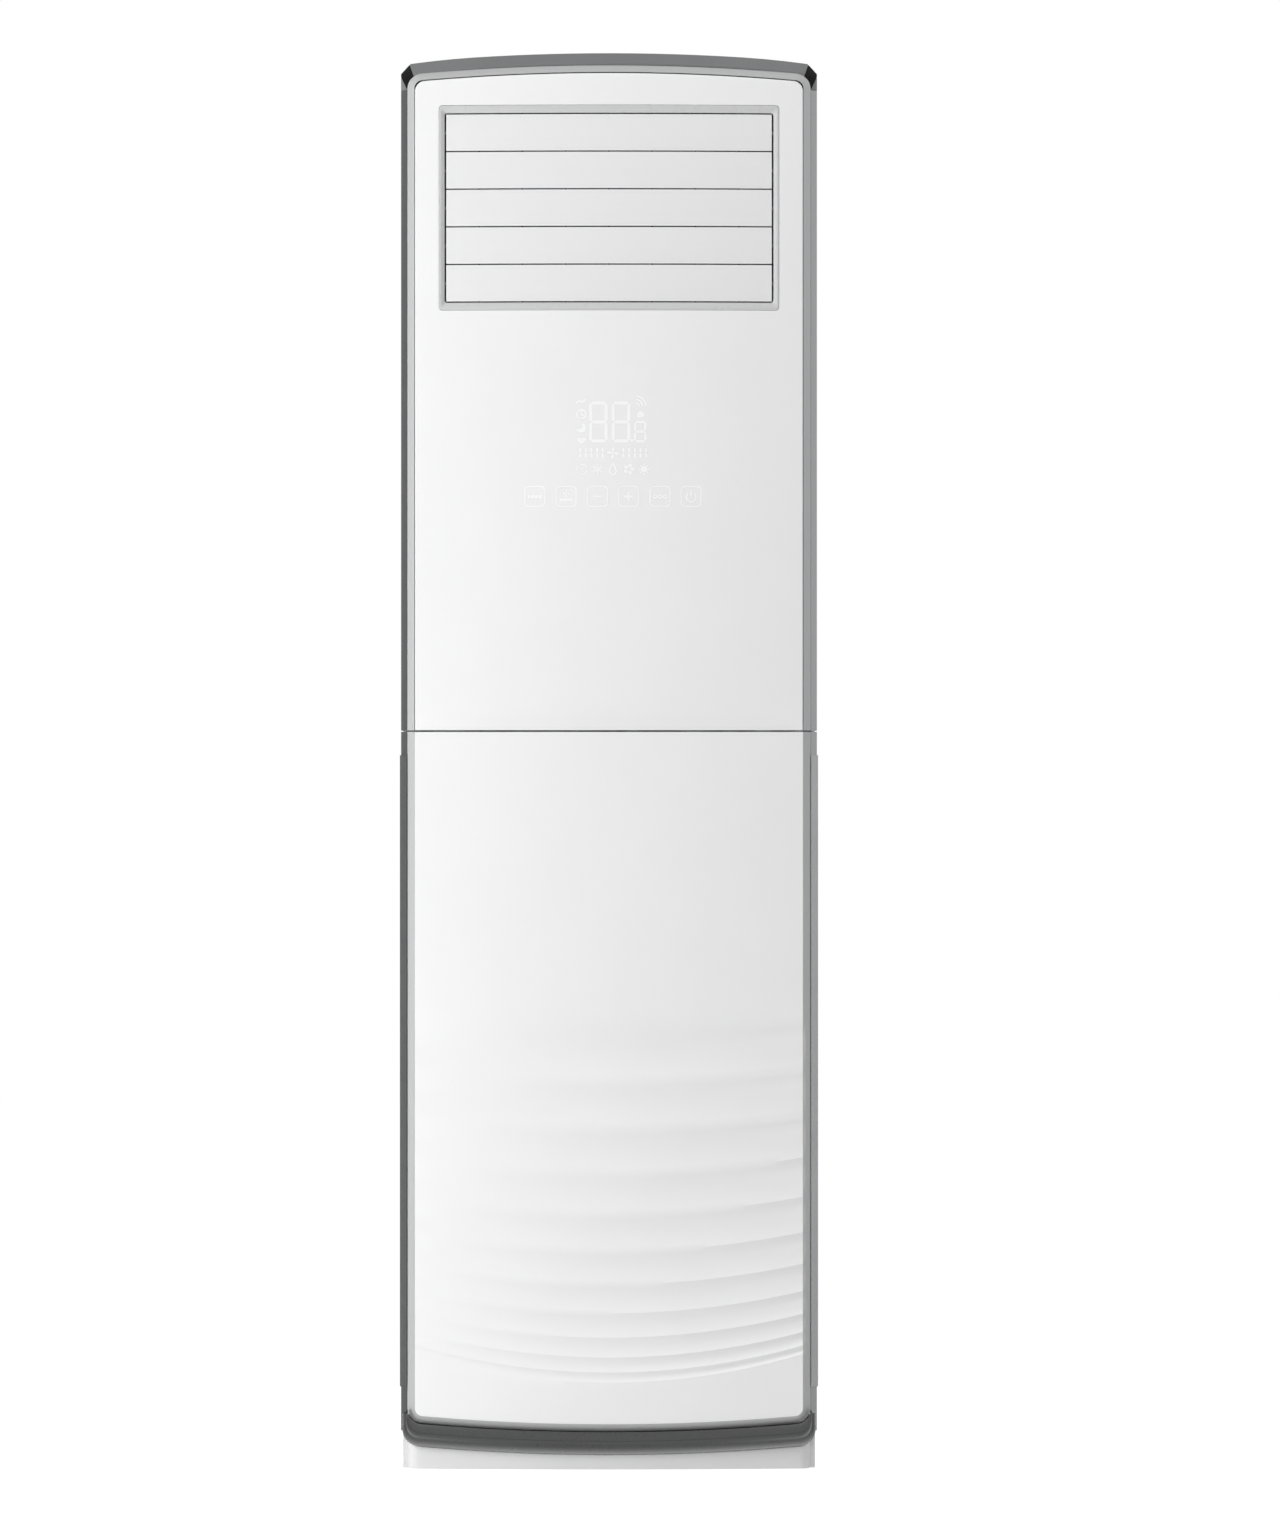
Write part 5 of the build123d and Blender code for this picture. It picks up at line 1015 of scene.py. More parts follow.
# ------------------------------------------------------------------ upper front
@dataclass
class UpperFront:
    """Rim, white face and outlet bezel of the upper half."""

    low: float = 952.1 * MM
    rim_top: float = 1808.7 * MM
    rim_half: float = 260 * MM
    rim_width: float = 9.3 * MM
    rim_corner: float = 20 * MM
    rim_back: float = -160 * MM
    rim_sink: float = 0.3 * MM
    flange: Pair = (12 * MM, 15 * MM)
    face_half: float = 250 * MM
    face_top: float = 1798 * MM
    face_corner: float = 13 * MM
    face_round: float = 1.3 * MM
    face_wall: float = 2.5 * MM
    face_thick: float = 3 * MM
    skirt: float = 11.7 * MM
    window_margin: float = 4 * MM
    window_gap: float = 0.3 * MM
    outlet_z: float = 1625 * MM
    bezel_half: float = 219 * MM
    bezel_half_height: float = 132 * MM
    bezel_corner: float = 5 * MM
    opening_inset: float = 7.2 * MM
    opening_corner: float = 3.5 * MM
    bar: float = 10 * MM
    collar_back: float = -80 * MM

    def rim(self) -> None:
        """Draws the silver rim as one sweep up, over and down, with its hidden flange."""
        outline = Outline(self.rim_half, self.low, self.rim_top, r_high=self.rim_corner,
                          arch_high=FRONT.arch)
        steps = [(0.0, FLAT, self.rim_back)]
        steps += bow_steps(slope(self.rim_width - 0.2 * MM), self.rim_sink)
        steps += [(self.rim_width, BOW, 0.5 * MM), (self.rim_width, FLAT, self.rim_back)]
        rings = [FRONT.line(*outline.around(inset, self.low, True, 24), kind, depth)
                 for inset, kind, depth in steps]
        rim = lofted("upper_rim", rings, closed_path=False)
        inner = Outline(self.rim_half - self.rim_width + 0.1 * MM, self.low,
                        self.rim_top - self.rim_width, r_high=self.face_corner,
                        arch_high=FRONT.arch)
        near, far = self.flange
        flange = [loop_round(inner, step, 24, 24) for step in bow_steps(
            ((0.0, near), (15 * MM, near), (15 * MM, far), (0.0, far)))]
        whole = joined("upper_rim", [rim, lofted("flange", flange)])
        dressed(new_piece("upper_rim", whole), "upper_frame")

    def face(self) -> None:
        """Draws the white face with its turned-back edge and the rounded window for the bezel."""
        outline = Outline(self.face_half, self.low, self.face_top, r_high=self.face_corner,
                          arch_high=FRONT.arch)
        profile = bow_steps([*rounding(self.face_round, 4)[::-1], (0.0, self.skirt),
                             (self.face_wall, self.skirt), (self.face_wall, self.face_thick)])
        r, m = self.bezel_corner, self.window_margin
        half, half_z = (v + self.window_gap for v in (self.bezel_half, self.bezel_half_height))
        low_z, high_z = self.outlet_z - half_z, self.outlet_z + half_z
        marks = (low_z - m, low_z + r, high_z - r, high_z + m)

        def rows(x: np.ndarray, low: np.ndarray, high: np.ndarray) -> np.ndarray:
            """Rows that meet the window's edges; returns heights, rows by columns."""
            return stepped([low, *(np.full_like(low, v) for v in marks), high], (16, 5, 8, 5, 6))

        stops = (-half - m, -half + r, half - r, half + m)
        shell = BowedShell("white_face", outline, profile, stops, (3, 5, 30, 5, 3), rows)
        mesh = shell.mesh((-half - m, half + m, low_z - m, high_z + m))
        self.line_window(mesh, half, half_z)
        smoothed(mesh)
        dressed(new_piece("white_face", mesh), "upper_face_panel")

    def line_window(self, mesh: Mesh, half: float, half_z: float) -> None:
        """Closes the window's border down to a rounded opening and joins front to back.

        Args:
            mesh: the face's mesh, changed in place.
            half: half width of the rounded opening.
            half_z: half height of it.
        """
        r = self.bezel_corner
        with editing(mesh) as tool:
            border = [e for e in tool.edges if e.is_boundary]
            new: dict[int, bmesh.types.BMVert] = {}
            for vert in {v for e in border for v in e.verts}:
                x, z = vert.co.x, vert.co.z - self.outlet_z
                core_x = max(-(half - r), min(half - r, x))
                core_z = max(-(half_z - r), min(half_z - r, z))
                away = Vector((x - core_x, 0, z - core_z)).normalized() * r
                px, pz = core_x + away.x, core_z + away.z
                depth = vert.co.y - float(FRONT.y(x))
                new[vert.index] = tool.verts.new((px, float(FRONT.y(px)) + depth,
                                                  pz + self.outlet_z))
            for edge in border:
                a, b = edge.verts
                tool.faces.new((a, b, new[b.index], new[a.index]))
            bmesh.ops.bridge_loops(tool, edges=[e for e in tool.edges if e.is_boundary])
            bmesh.ops.recalc_face_normals(tool, faces=tool.faces)

    def bezel(self) -> None:
        """Draws the bezel that slopes in to the louvres, and behind it a black collar that paints
        shade into the gaps round the blades.
        """
        w, front = self.opening_inset / MM, 4.3
        steps = ((0.0, 5.3), (0.0, 0.5), (0.15, 0.15), (0.5, 0.0), (2.0, 0.0), (2.6, 0.15),
                 (w - 0.5, 3.6), (w - 0.1, 4.0), (w, 4.15), (w, front), (2.5, front), (2.5, 5.3))
        mesh = lofted("outlet_bezel", self.bezel_rings(steps))
        dressed(new_piece("outlet_bezel", mesh), "outlet_frame", BEZEL)
        # Painted shade: the collar's black front ring sits just behind the bezel's inner edge, so
        # the gaps round the blades look deep and dark.
        inner = self.bezel_rings(((2.6, front), (w, front), (w, 5.4), (2.0, 5.4)))
        outer = self.bezel_rings(((2.0, 5.4), (0.0, 5.4), (0.0, 5.4), (2.6, 5.35)))
        for ring in outer[:2]:
            ring[:, 1] = self.collar_back
        added("outlet_collar", lofted("outlet_collar", inner + outer), "outlet_frame",
              "black_plastic")

    def bezel_rings(self, steps: Sequence[Pair]) -> list[np.ndarray]:
        """Rings round the outlet, its upper and lower bars wider than its sides.

        Args:
            steps: inset and depth of each ring, in millimetres.

        Returns:
            The rings.
        """
        share = self.bar / self.opening_inset
        outline = Outline(self.bezel_half, self.outlet_z - self.bezel_half_height,
                          self.outlet_z + self.bezel_half_height, r_low=self.bezel_corner,
                          r_high=self.bezel_corner, low_share=share, top_share=share,
                          least_round=self.opening_corner)
        return [loop_round(outline, (a * MM, BOW, b * MM), 36, 20) for a, b in steps]

    def build(self) -> None:
        """Draws and dresses all the pieces."""
        self.rim()
        self.face()
        self.bezel()


# ------------------------------------------------------------------ display print
@dataclass
class DisplayPrint:
    """Hidden display and touch keys: white marks with a painted glow, so that they show faintly
    through the face.

    The marks are drawn in drawing units, with Y downward.
    """

    unit: float = 1.287 * MM
    origin: Pair = (609.0, 1470.0)
    proud: float = 0.12 * MM
    body: float = 0.08 * MM
    weight: float = 1.05
    shapes: list[list[Pair]] = field(default_factory=list)

    def area(self, points: Sequence[Pair]) -> None:
        """Adds a filled outline."""
        self.shapes.append([((x - self.origin[0]) * self.unit, (self.origin[1] - y) * self.unit)
                            for x, y in points])

    def block(self, x: float, y: float, half: float, half_y: float) -> None:
        """Adds a filled rectangle round a middle, from its half width and half height."""
        self.area([(x - half, y - half_y), (x + half, y - half_y), (x + half, y + half_y),
                   (x - half, y + half_y)])

    def disc(self, x: float, y: float, r: float, sides: int = 16) -> None:
        """Adds a filled disc."""
        self.area(round_outline((x, y), r, sides))

    def stroke(self, points: Sequence[Pair], width: float, closed: bool = False) -> None:
        """Adds a line of one width.

        Args:
            points: the line's corners.
            width: its width.
            closed: whether it runs back to its start.
        """
        p = np.array(points, float)
        n, width = len(p), width * self.weight
        around = [p[(i + 1) % n] - p[i] for i in range(n if closed else n - 1)]
        around = [d / max(np.linalg.norm(d), 1e-9) for d in around]
        sides = []
        for i in range(n):
            before = around[i - 1] if (closed or i) else around[0]
            after = around[i] if (closed or i < n - 1) else around[-1]
            normal = np.array([-(before + after)[1], (before + after)[0]])
            normal /= max(np.linalg.norm(normal), 1e-9)
            reach = width / 2 / max(0.5, float(normal @ np.array([-after[1], after[0]])))
            sides.append((p[i] + normal * reach, p[i] - normal * reach))
        for i in range(n if closed else n - 1):
            j = (i + 1) % n
            self.area([sides[i][0], sides[j][0], sides[j][1], sides[i][1]])

    def bar(self, x: float, y: float, half: float, width: float, up: bool = False) -> None:
        """Adds a straight line round a middle, across or upright."""
        dx, dy = (0.0, half) if up else (half, 0.0)
        self.stroke([(x - dx, y - dy), (x + dx, y + dy)], width)

    def circle(self, x: float, y: float, r: float, width: float, start: float = 0.0,
               end: float = 360.0) -> None:
        """Adds a ring or part of one.

        Args:
            x: its centre across.
            y: its centre down.
            r: its radius.
            width: width of its line.
            start: where it starts, in degrees.
            end: where it ends.
        """
        whole = end - start >= 360
        turns = np.radians(np.linspace(start, end, 25))[:24 if whole else 25]
        self.stroke(arc((x, y), r, -turns), width, whole)

    def segment(self, a: Pair, b: Pair, width: float) -> None:
        """Adds one bar of a digit with pointed ends.

        Args:
            a: one end.
            b: the other end.
            width: the bar's width.
        """
        (x0, y0), (x1, y1) = a, b
        h = width * self.weight / 2
        if abs(x1 - x0) > abs(y1 - y0):
            self.area([(x0, y0), (x0 + h, y0 - h), (x1 - h, y0 - h), (x1, y0), (x1 - h, y0 + h),
                       (x0 + h, y0 + h)])
        else:
            self.area([(x0, y0), (x0 + h, y0 + h), (x0 + h, y1 - h), (x0, y1), (x0 - h, y1 - h),
                       (x0 - h, y0 + h)])

    def eight(self, x0: float, x1: float, y0: float, y1: float, width: float) -> None:
        """Adds a seven-bar digit with all its bars.

        Args:
            x0: its left edge.
            x1: its right edge.
            y0: its top.
            y1: its foot.
            width: width of a bar.
        """
        h, gap = width / 2, 0.35
        left, right, top, low = x0 + h, x1 - h, y0 + h, y1 - h
        mid = (y0 + y1) / 2
        for y in (top, mid, low):
            self.segment((left + gap, y), (right - gap, y), width)
        for x in (left, right):
            self.segment((x, top + gap), (x, mid - gap), width)
            self.segment((x, mid + gap), (x, low - gap), width)

    def key(self, x: float, y: float, half: float = 10.0, r: float = 4.0) -> None:
        """Adds the rounded frame of a touch key.

        Args:
            x: its centre across.
            y: its centre down.
            half: half its width.
            r: radius of its corners.
        """
        points = []
        for cx, cy, start in ((1, -1, 0), (-1, -1, 90), (-1, 1, 180), (1, 1, 270)):
            turns = -np.radians(np.linspace(start, start + 90, 6))
            points += arc((x + cx * (half - r), y + cy * (half - r)), r, turns)
        self.stroke(points, 1.05, closed=True)

    def fan(self, x: float, y: float, r: float) -> None:
        """Adds a four-bladed fan.

        Args:
            x: its centre across.
            y: its centre down.
            r: its radius.
        """
        lobe = ((0, 0), (0.28, 0.10), (0.60, 0.30), (0.95, 0.28), (1.0, 0.0), (0.72, -0.16),
                (0.3, -0.12))
        for k in range(4):
            c, s = r * math.cos(math.pi / 2 * k), r * math.sin(math.pi / 2 * k)
            self.area([(x + u * c - v * s, y + u * s + v * c) for u, v in lobe])

    def digits(self) -> None:
        """Draws the three digits, their point, and the signs on both sides of them."""
        self.eight(589.4, 607.5, 401.7, 442.2, 2.7)
        self.eight(611.9, 630.2, 401.7, 442.2, 2.7)
        self.eight(634.2, 646.3, 420.9, 442.2, 2.0)
        self.disc(632.0, 440.4, 1.5, 8)
        self.stroke([(576.5, 402.6), (579.5, 400.6), (582.5, 402.0), (586.3, 399.4)], 1.6)
        self.circle(581.4, 414.1, 4.4, 1.1)
        self.stroke([(581.4, 411.2), (581.4, 414.4), (583.6, 415.6)], 1.0)
        self.area([(581.8, 423.2), (585.0, 424.6), (586.1, 428.2), (584.3, 431.5), (580.8, 432.4),
                   (577.6, 430.8), (577.0, 429.4), (580.5, 429.6), (582.8, 427.2)])
        self.area([(576.4, 438.6), (579.2, 437.4), (581.4, 439.2), (583.6, 437.4), (586.4, 438.6),
                   (584.6, 441.6), (581.4, 444.0), (578.2, 441.6)])
        for r in (3.4, 6.6, 10.0):
            self.circle(635.8, 406.2, r, 1.2, 5, 85)
        self.area([(637.3, 417.6), (637.5, 413.4), (640.2, 410.6), (643.6, 412.6), (644.0, 416.4),
                   (640.6, 417.2)])

    def modes(self) -> None:
        """Draws the speed bars with their fan, and the row of mode signs."""
        for x in (580.3, 585.8, 591.4, 597.1, 602.7, 623.3, 629.0, 634.8, 640.5, 646.1):
            for y in (450.1, 455.3):
                self.block(x, y, 0.8, 1.9)
        self.fan(612.8, 452.9, 5.6)
        y = 469.1
        for k in range(3):
            self.circle(582.0, y + 0.2, 5.0, 1.1, 120 * k + 15, 120 * k + 105)
        for k in range(3):
            (dx, dy), = arc((0.0, 0.0), 5.2, (math.pi / 3 * k + math.pi / 2,))
            self.stroke([(597.7 - dx, y - dy), (597.7 + dx, y + dy)], 0.9)
        self.circle(597.7, y, 2.4, 0.8)
        self.stroke([(612.8, 463.2), (615.7, 468.6), (616.2, 471.6), (614.8, 474.2), (612.8, 475.0),
                     (610.8, 474.2), (609.4, 471.6), (609.9, 468.6)], 1.1, closed=True)
        for petal in round_outline((628.9, y), 3.6, 5):
            self.disc(*petal, 1.8, 9)
        self.disc(644.3, y, 3.2)
        for ray in zip(round_outline((644.3, y), 4.0, 8), round_outline((644.3, y), 5.4, 8)):
            self.stroke(ray, 1.0)

    def keys(self) -> None:
        """Draws the six touch keys, from left to right, with plain signs on them."""
        xs, y = (534.7, 566.2, 597.4, 628.5, 660.1, 691.2), 496.4
        for x in xs:
            self.key(x, y)
        for dx in (-5.4, -1.8, 1.8, 5.4):
            self.block(xs[0] + dx, y + 0.1, 1.3, 1.5)
        self.fan(xs[1], y - 3.0, 3.6)
        self.bar(xs[1], y + 3.4, 6.4, 2.2)
        self.bar(xs[2], y, 4.2, 1.6)
        self.bar(xs[3], y, 4.2, 1.6)
        self.bar(xs[3], y, 4.2, 1.6, up=True)
        for dx in (-5.0, 0.0, 5.0):
            self.circle(xs[4] + dx, y, 1.7, 1.2)
        self.circle(xs[5], y + 0.6, 4.8, 1.2, 125, 415)
        self.bar(xs[5], y - 3.0, 2.6, 1.2, up=True)

    def build(self) -> None:
        """Draws the marks just proud of the face."""
        self.digits()
        self.modes()
        self.keys()
        mesh = bpy.data.meshes.new("display_print")
        with editing(mesh) as tool:
            for shape in self.shapes:
                front, back = ([tool.verts.new((x, float(FRONT.y(x)) + depth, z)) for x, z in shape]
                               for depth in (-self.proud, -self.proud + self.body))
                tool.faces.new(front)
                tool.faces.new(back[::-1])
                for i, j in zip(range(len(shape)), [*range(1, len(shape)), 0]):
                    tool.faces.new((front[i], back[i], back[j], front[j]))
            bmesh.ops.recalc_face_normals(tool, faces=tool.faces)
        added("display_print", mesh, "upper_face_panel", "white_face", PRINT_WITH_PAINTED_GLOW)


# ------------------------------------------------------------------ lower front
@dataclass
class LowerFront:
    """Rippled lower panel and the dark band round its foot."""

    half: float = 260 * MM
    low: float = 48.9 * MM
    high: float = 949.9 * MM
    corner: float = 20 * MM
    rim_width: float = 9.6 * MM
    rim_sink: float = 0.3 * MM
    edge: float = 0.9 * MM
    seam: float = 0.03 * MM
    back: float = -160 * MM
    wall: float = 2.5 * MM
    thick: float = 6.5 * MM
    panel_top_share: float = 0.16
    ridge_count: int = 11
    ridge_top: float = 564 * MM
    ridge_rows: int = 8
    first_pitch: float = 64 * MM
    last_pitch: float = 13 * MM
    pitch_power: float = 1.25
    first_depth: float = 3.0 * MM
    last_depth: float = 2.4 * MM
    depth_lean: float = 0.35
    first_radius: float = 2250 * MM
    last_radius: float = 880 * MM
    sink: float = 0.15 * MM
    band_half: float = 266.5 * MM
    band_low: float = 18.7 * MM
    band_end: float = 72 * MM
    band_corner: float = 24 * MM
    band_proud: float = 4 * MM
    band_side_round: float = 5.5 * MM
    band_foot_round: float = 12.5 * MM
    band_depth_round: float = 9 * MM
    band_back: float = -178.3 * MM
    ledge: float = 37 * MM
    ledge_depth: float = 1.5 * MM
    plinth_recess: float = 7.7 * MM

    def ridges(self) -> list[Triple]:
        """Centre height, radius and scallop depth of each ridge, from the top."""
        first, last = 1 / self.first_radius, 1 / self.last_radius
        found, z = [], self.ridge_top
        for i in range(self.ridge_count + 1):
            t = i / self.ridge_count
            found.append((z, 1 / (first + (last - first) * t),
                          self.first_depth + (self.last_depth - self.first_depth) * t))
            down = (i / (self.ridge_count - 1))**self.pitch_power
            z -= self.first_pitch + (self.last_pitch - self.first_pitch) * down
        return found

    def crests(self, x: np.ndarray) -> list[np.ndarray]:
        """Heights of the ridges at x, from the top."""
        return [c + r - np.sqrt(r**2 - np.square(x)) for c, r, _ in self.ridges()]

    def ripple(self, x: np.ndarray, z: np.ndarray, inset: float) -> np.ndarray:
        """How far the rippled surface lies behind the face.

        Args:
            x: places across the front.
            z: heights.
            inset: inset of the ring that the places are on.

        Returns:
            The depths.
        """
        crests, depth = self.crests(x), np.zeros_like(z)
        for high, low, (_, _, sag) in zip(crests, crests[1:], self.ridges()):
            share = np.clip((high - z) / (high - low), 0, 1)
            inside = (z <= high) & (z >= low)
            depth = np.where(inside, self.sink + sag * 4 * share * (1 - share), depth)
        lean = 1 + self.depth_lean * (x / self.half - 1)
        return depth * lean * min(1.0, inset / self.rim_width)**2

    def rows(self, x: np.ndarray, low: np.ndarray, high: np.ndarray) -> np.ndarray:
        """Rows that run along the ridges; returns heights, rows by columns."""
        levels = [low, *self.crests(x)[::-1], high]
        return stepped(levels, [self.ridge_rows] * (self.ridge_count + 1) + [14])

    def panel(self) -> None:
        """Draws the rippled white panel with its rounded edge."""
        share, wall = self.panel_top_share, self.rim_width + self.seam
        outline = Outline(self.half, self.low, self.high + share * self.rim_width,
                          r_low=self.corner, arch_low=FRONT.arch, top_share=share)
        front = bow_steps(rounding(self.edge)[::-1], inset=wall)
        back = [(wall, FLAT, self.back), (wall + self.wall, FLAT, self.back),
                (wall + self.wall, BOW, self.thick)]
        mesh = BowedShell("rippled_panel", outline, front + back, (), (72,), self.rows,
                          self.ripple, len(front)).mesh()
        smoothed(mesh, 20.0)
        dressed(new_piece("rippled_panel", mesh), "lower_front_panel")

    def rim(self) -> None:
        """Draws the silver rim down both sides of the panel and along its foot."""
        outline = Outline(self.half, self.low, self.high, r_low=self.corner, arch_low=FRONT.arch,
                          top_share=0.0)
        profile = [(0.0, FLAT, self.back)]
        profile += bow_steps(slope(self.rim_width - 0.2 * MM), self.rim_sink)
        profile += [(self.rim_width, BOW, 0.5 * MM), (self.rim_width, FLAT, self.back)]
        shell = BowedShell("lower_rim", outline, profile, (), (72,), self.rows, self.ripple,
                           len(profile))
        rings = []
        for level, (_, kind, _) in enumerate(profile):
            grid = shell.grid(level)
            if kind is FLAT:
                grid[..., 1] = self.back
            rings.append(np.concatenate([grid[::-1, 0], grid[0, 1:-1], grid[:, -1]]))
        added("lower_rim", lofted("lower_rim", rings, closed_path=False), "lower_front_panel",
              "rim_grey")

    def band(self) -> None:
        """Draws the dark band from its rounded foot over the ledge up to the panel."""
        outer = Outline(self.band_half, self.band_low, self.band_end, r_low=self.band_corner,
                        arch_low=FRONT.arch, low_share=self.band_foot_round / self.band_side_round)
        inner = Outline(self.half + 0.3 * MM, self.low - 0.3 * MM, self.band_end,
                        r_low=self.corner, arch_low=FRONT.arch)
        proud, r = -self.band_proud, self.band_side_round
        deep, foot = self.band_depth_round / r, self.band_low + self.band_foot_round
        set_back = proud + self.ledge_depth

        def path(outline: Outline, inset: float) -> np.ndarray:
            """Open line down the left, along the foot and up the right; returns x and z."""
            return np.stack(outline.around(inset, self.band_end, False, 8), axis=-1)

        start, end = path(outer, r), path(inner, 0.0)
        steps = [(path(outer, 0.0), FLAT, self.band_back)]
        steps += [(path(outer, a), BOW, proud + b * deep) for a, b in rounding(r, 7)]
        ledge = (self.ledge - foot) / (self.low - foot)
        for share, depth in ((ledge - 0.06, proud), (ledge - 0.01, proud + 0.2 * MM),
                             (ledge + 0.01, set_back - 0.2 * MM), (ledge + 0.06, set_back),
                             (0.97, set_back), (1.0, set_back + 0.5 * MM)):
            steps.append((start + (end - start) * share, BOW, depth))
        steps.append((end, FLAT, self.band_back))
        rings = []
        for line, kind, depth in steps:
            y = (FRONT.y(line[:, 0], depth) if kind is BOW else
                 np.minimum(FRONT.y(line[:, 0], self.plinth_recess), depth))
            rings.append(np.stack([line[:, 0], y, line[:, 1]], axis=-1))
        mesh = lofted("dark_band", rings, closed_path=False, angle=28.0)
        dressed(new_piece("dark_band", mesh), "bottom_band")

    def build(self) -> None:
        """Draws and dresses all the pieces."""
        self.panel()
        self.rim()
        self.band()


# ------------------------------------------------------------------ plinth
@dataclass
class Plinth:
    """White foot tray: its bowed front turns back at the corners and steps out to its flanks."""

    height: float = 48 * MM
    wall: float = 2 * MM
    edge: float = 0.8 * MM
    recess: float = 8 * MM
    turn_x: float = 246 * MM
    corner: Sequence[Pair] = ((251 * MM, 1.2 * MM), (255 * MM, 4.5 * MM), (258 * MM, 9 * MM),
                              (259 * MM, 14 * MM), (259 * MM, 21 * MM), (265.4 * MM, 21 * MM),
                              (266 * MM, 21.6 * MM))
    back_round: float = 12 * MM
    hole: float = 6 * MM
    hole_places: Pair = (200 * MM, 120 * MM)

    def plan(self) -> np.ndarray:
        """Outer outline seen from above, against the clock from the front's middle."""
        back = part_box("base_pan")[1].y
        front_x = np.linspace(0, self.turn_x, 25)
        line = list(zip(front_x, FRONT.y(front_x, self.recess)))
        line += [(x, float(FRONT.y(self.turn_x, self.recess)) + y) for x, y in self.corner]
        side = self.corner[-1][0]
        line += [(side - a, back - b) for a, b in rounding(self.back_round, 8)]
        right = np.array(line)
        return np.concatenate([right, right[1:][::-1] * (-1, 1)])

    @staticmethod
    def drawn_in(line: np.ndarray, distance: float) -> np.ndarray:
        """Closed outline moved inward by a distance.

        Args:
            line: corners in order, against the clock.
            distance: how far each side moves.

        Returns:
            The corners in the same order.
        """
        after = np.roll(line, -1, axis=0) - line
        after /= np.linalg.norm(after, axis=1)[:, None]
        inward = np.stack([-after[:, 1], after[:, 0]], axis=1)
        before = np.roll(inward, 1, axis=0)
        return line + (inward + before) * distance / (1 + (inward * before).sum(axis=1))[:, None]

    def build(self) -> None:
        """Draws the tray, cuts its anchor holes and dresses it."""
        outer, e, h, w = self.plan(), self.edge, self.height, self.wall
        levels = ((e, 0.0), (0.0, e), (0.0, h - e), (0.3 * e, h - 0.3 * e), (e, h), (w, h), (w, w))
        rings = [np.insert(self.drawn_in(outer, inset), 2, z, axis=1) for inset, z in levels]
        tray = new_piece("foot_tray", lofted("foot_tray", rings, closed_profile=False))
        x, y = self.hole_places
        pins = [prism(round_outline((sx * x, sy * y), self.hole, 32), -0.01, 0.01, 2)
                for sx in (-1, 1) for sy in (-1, 1)]
        cutter = new_piece("anchor_cutter", joined("anchor_cutter", pins))
        cut = tray.modifiers.new("holes", "BOOLEAN")
        cut.operation, cut.object, cut.solver = "DIFFERENCE", cutter, "EXACT"
        baked(tray)
        bpy.data.objects.remove(cutter)
        smoothed(tray.data)
        dressed(tray, "base_pan")


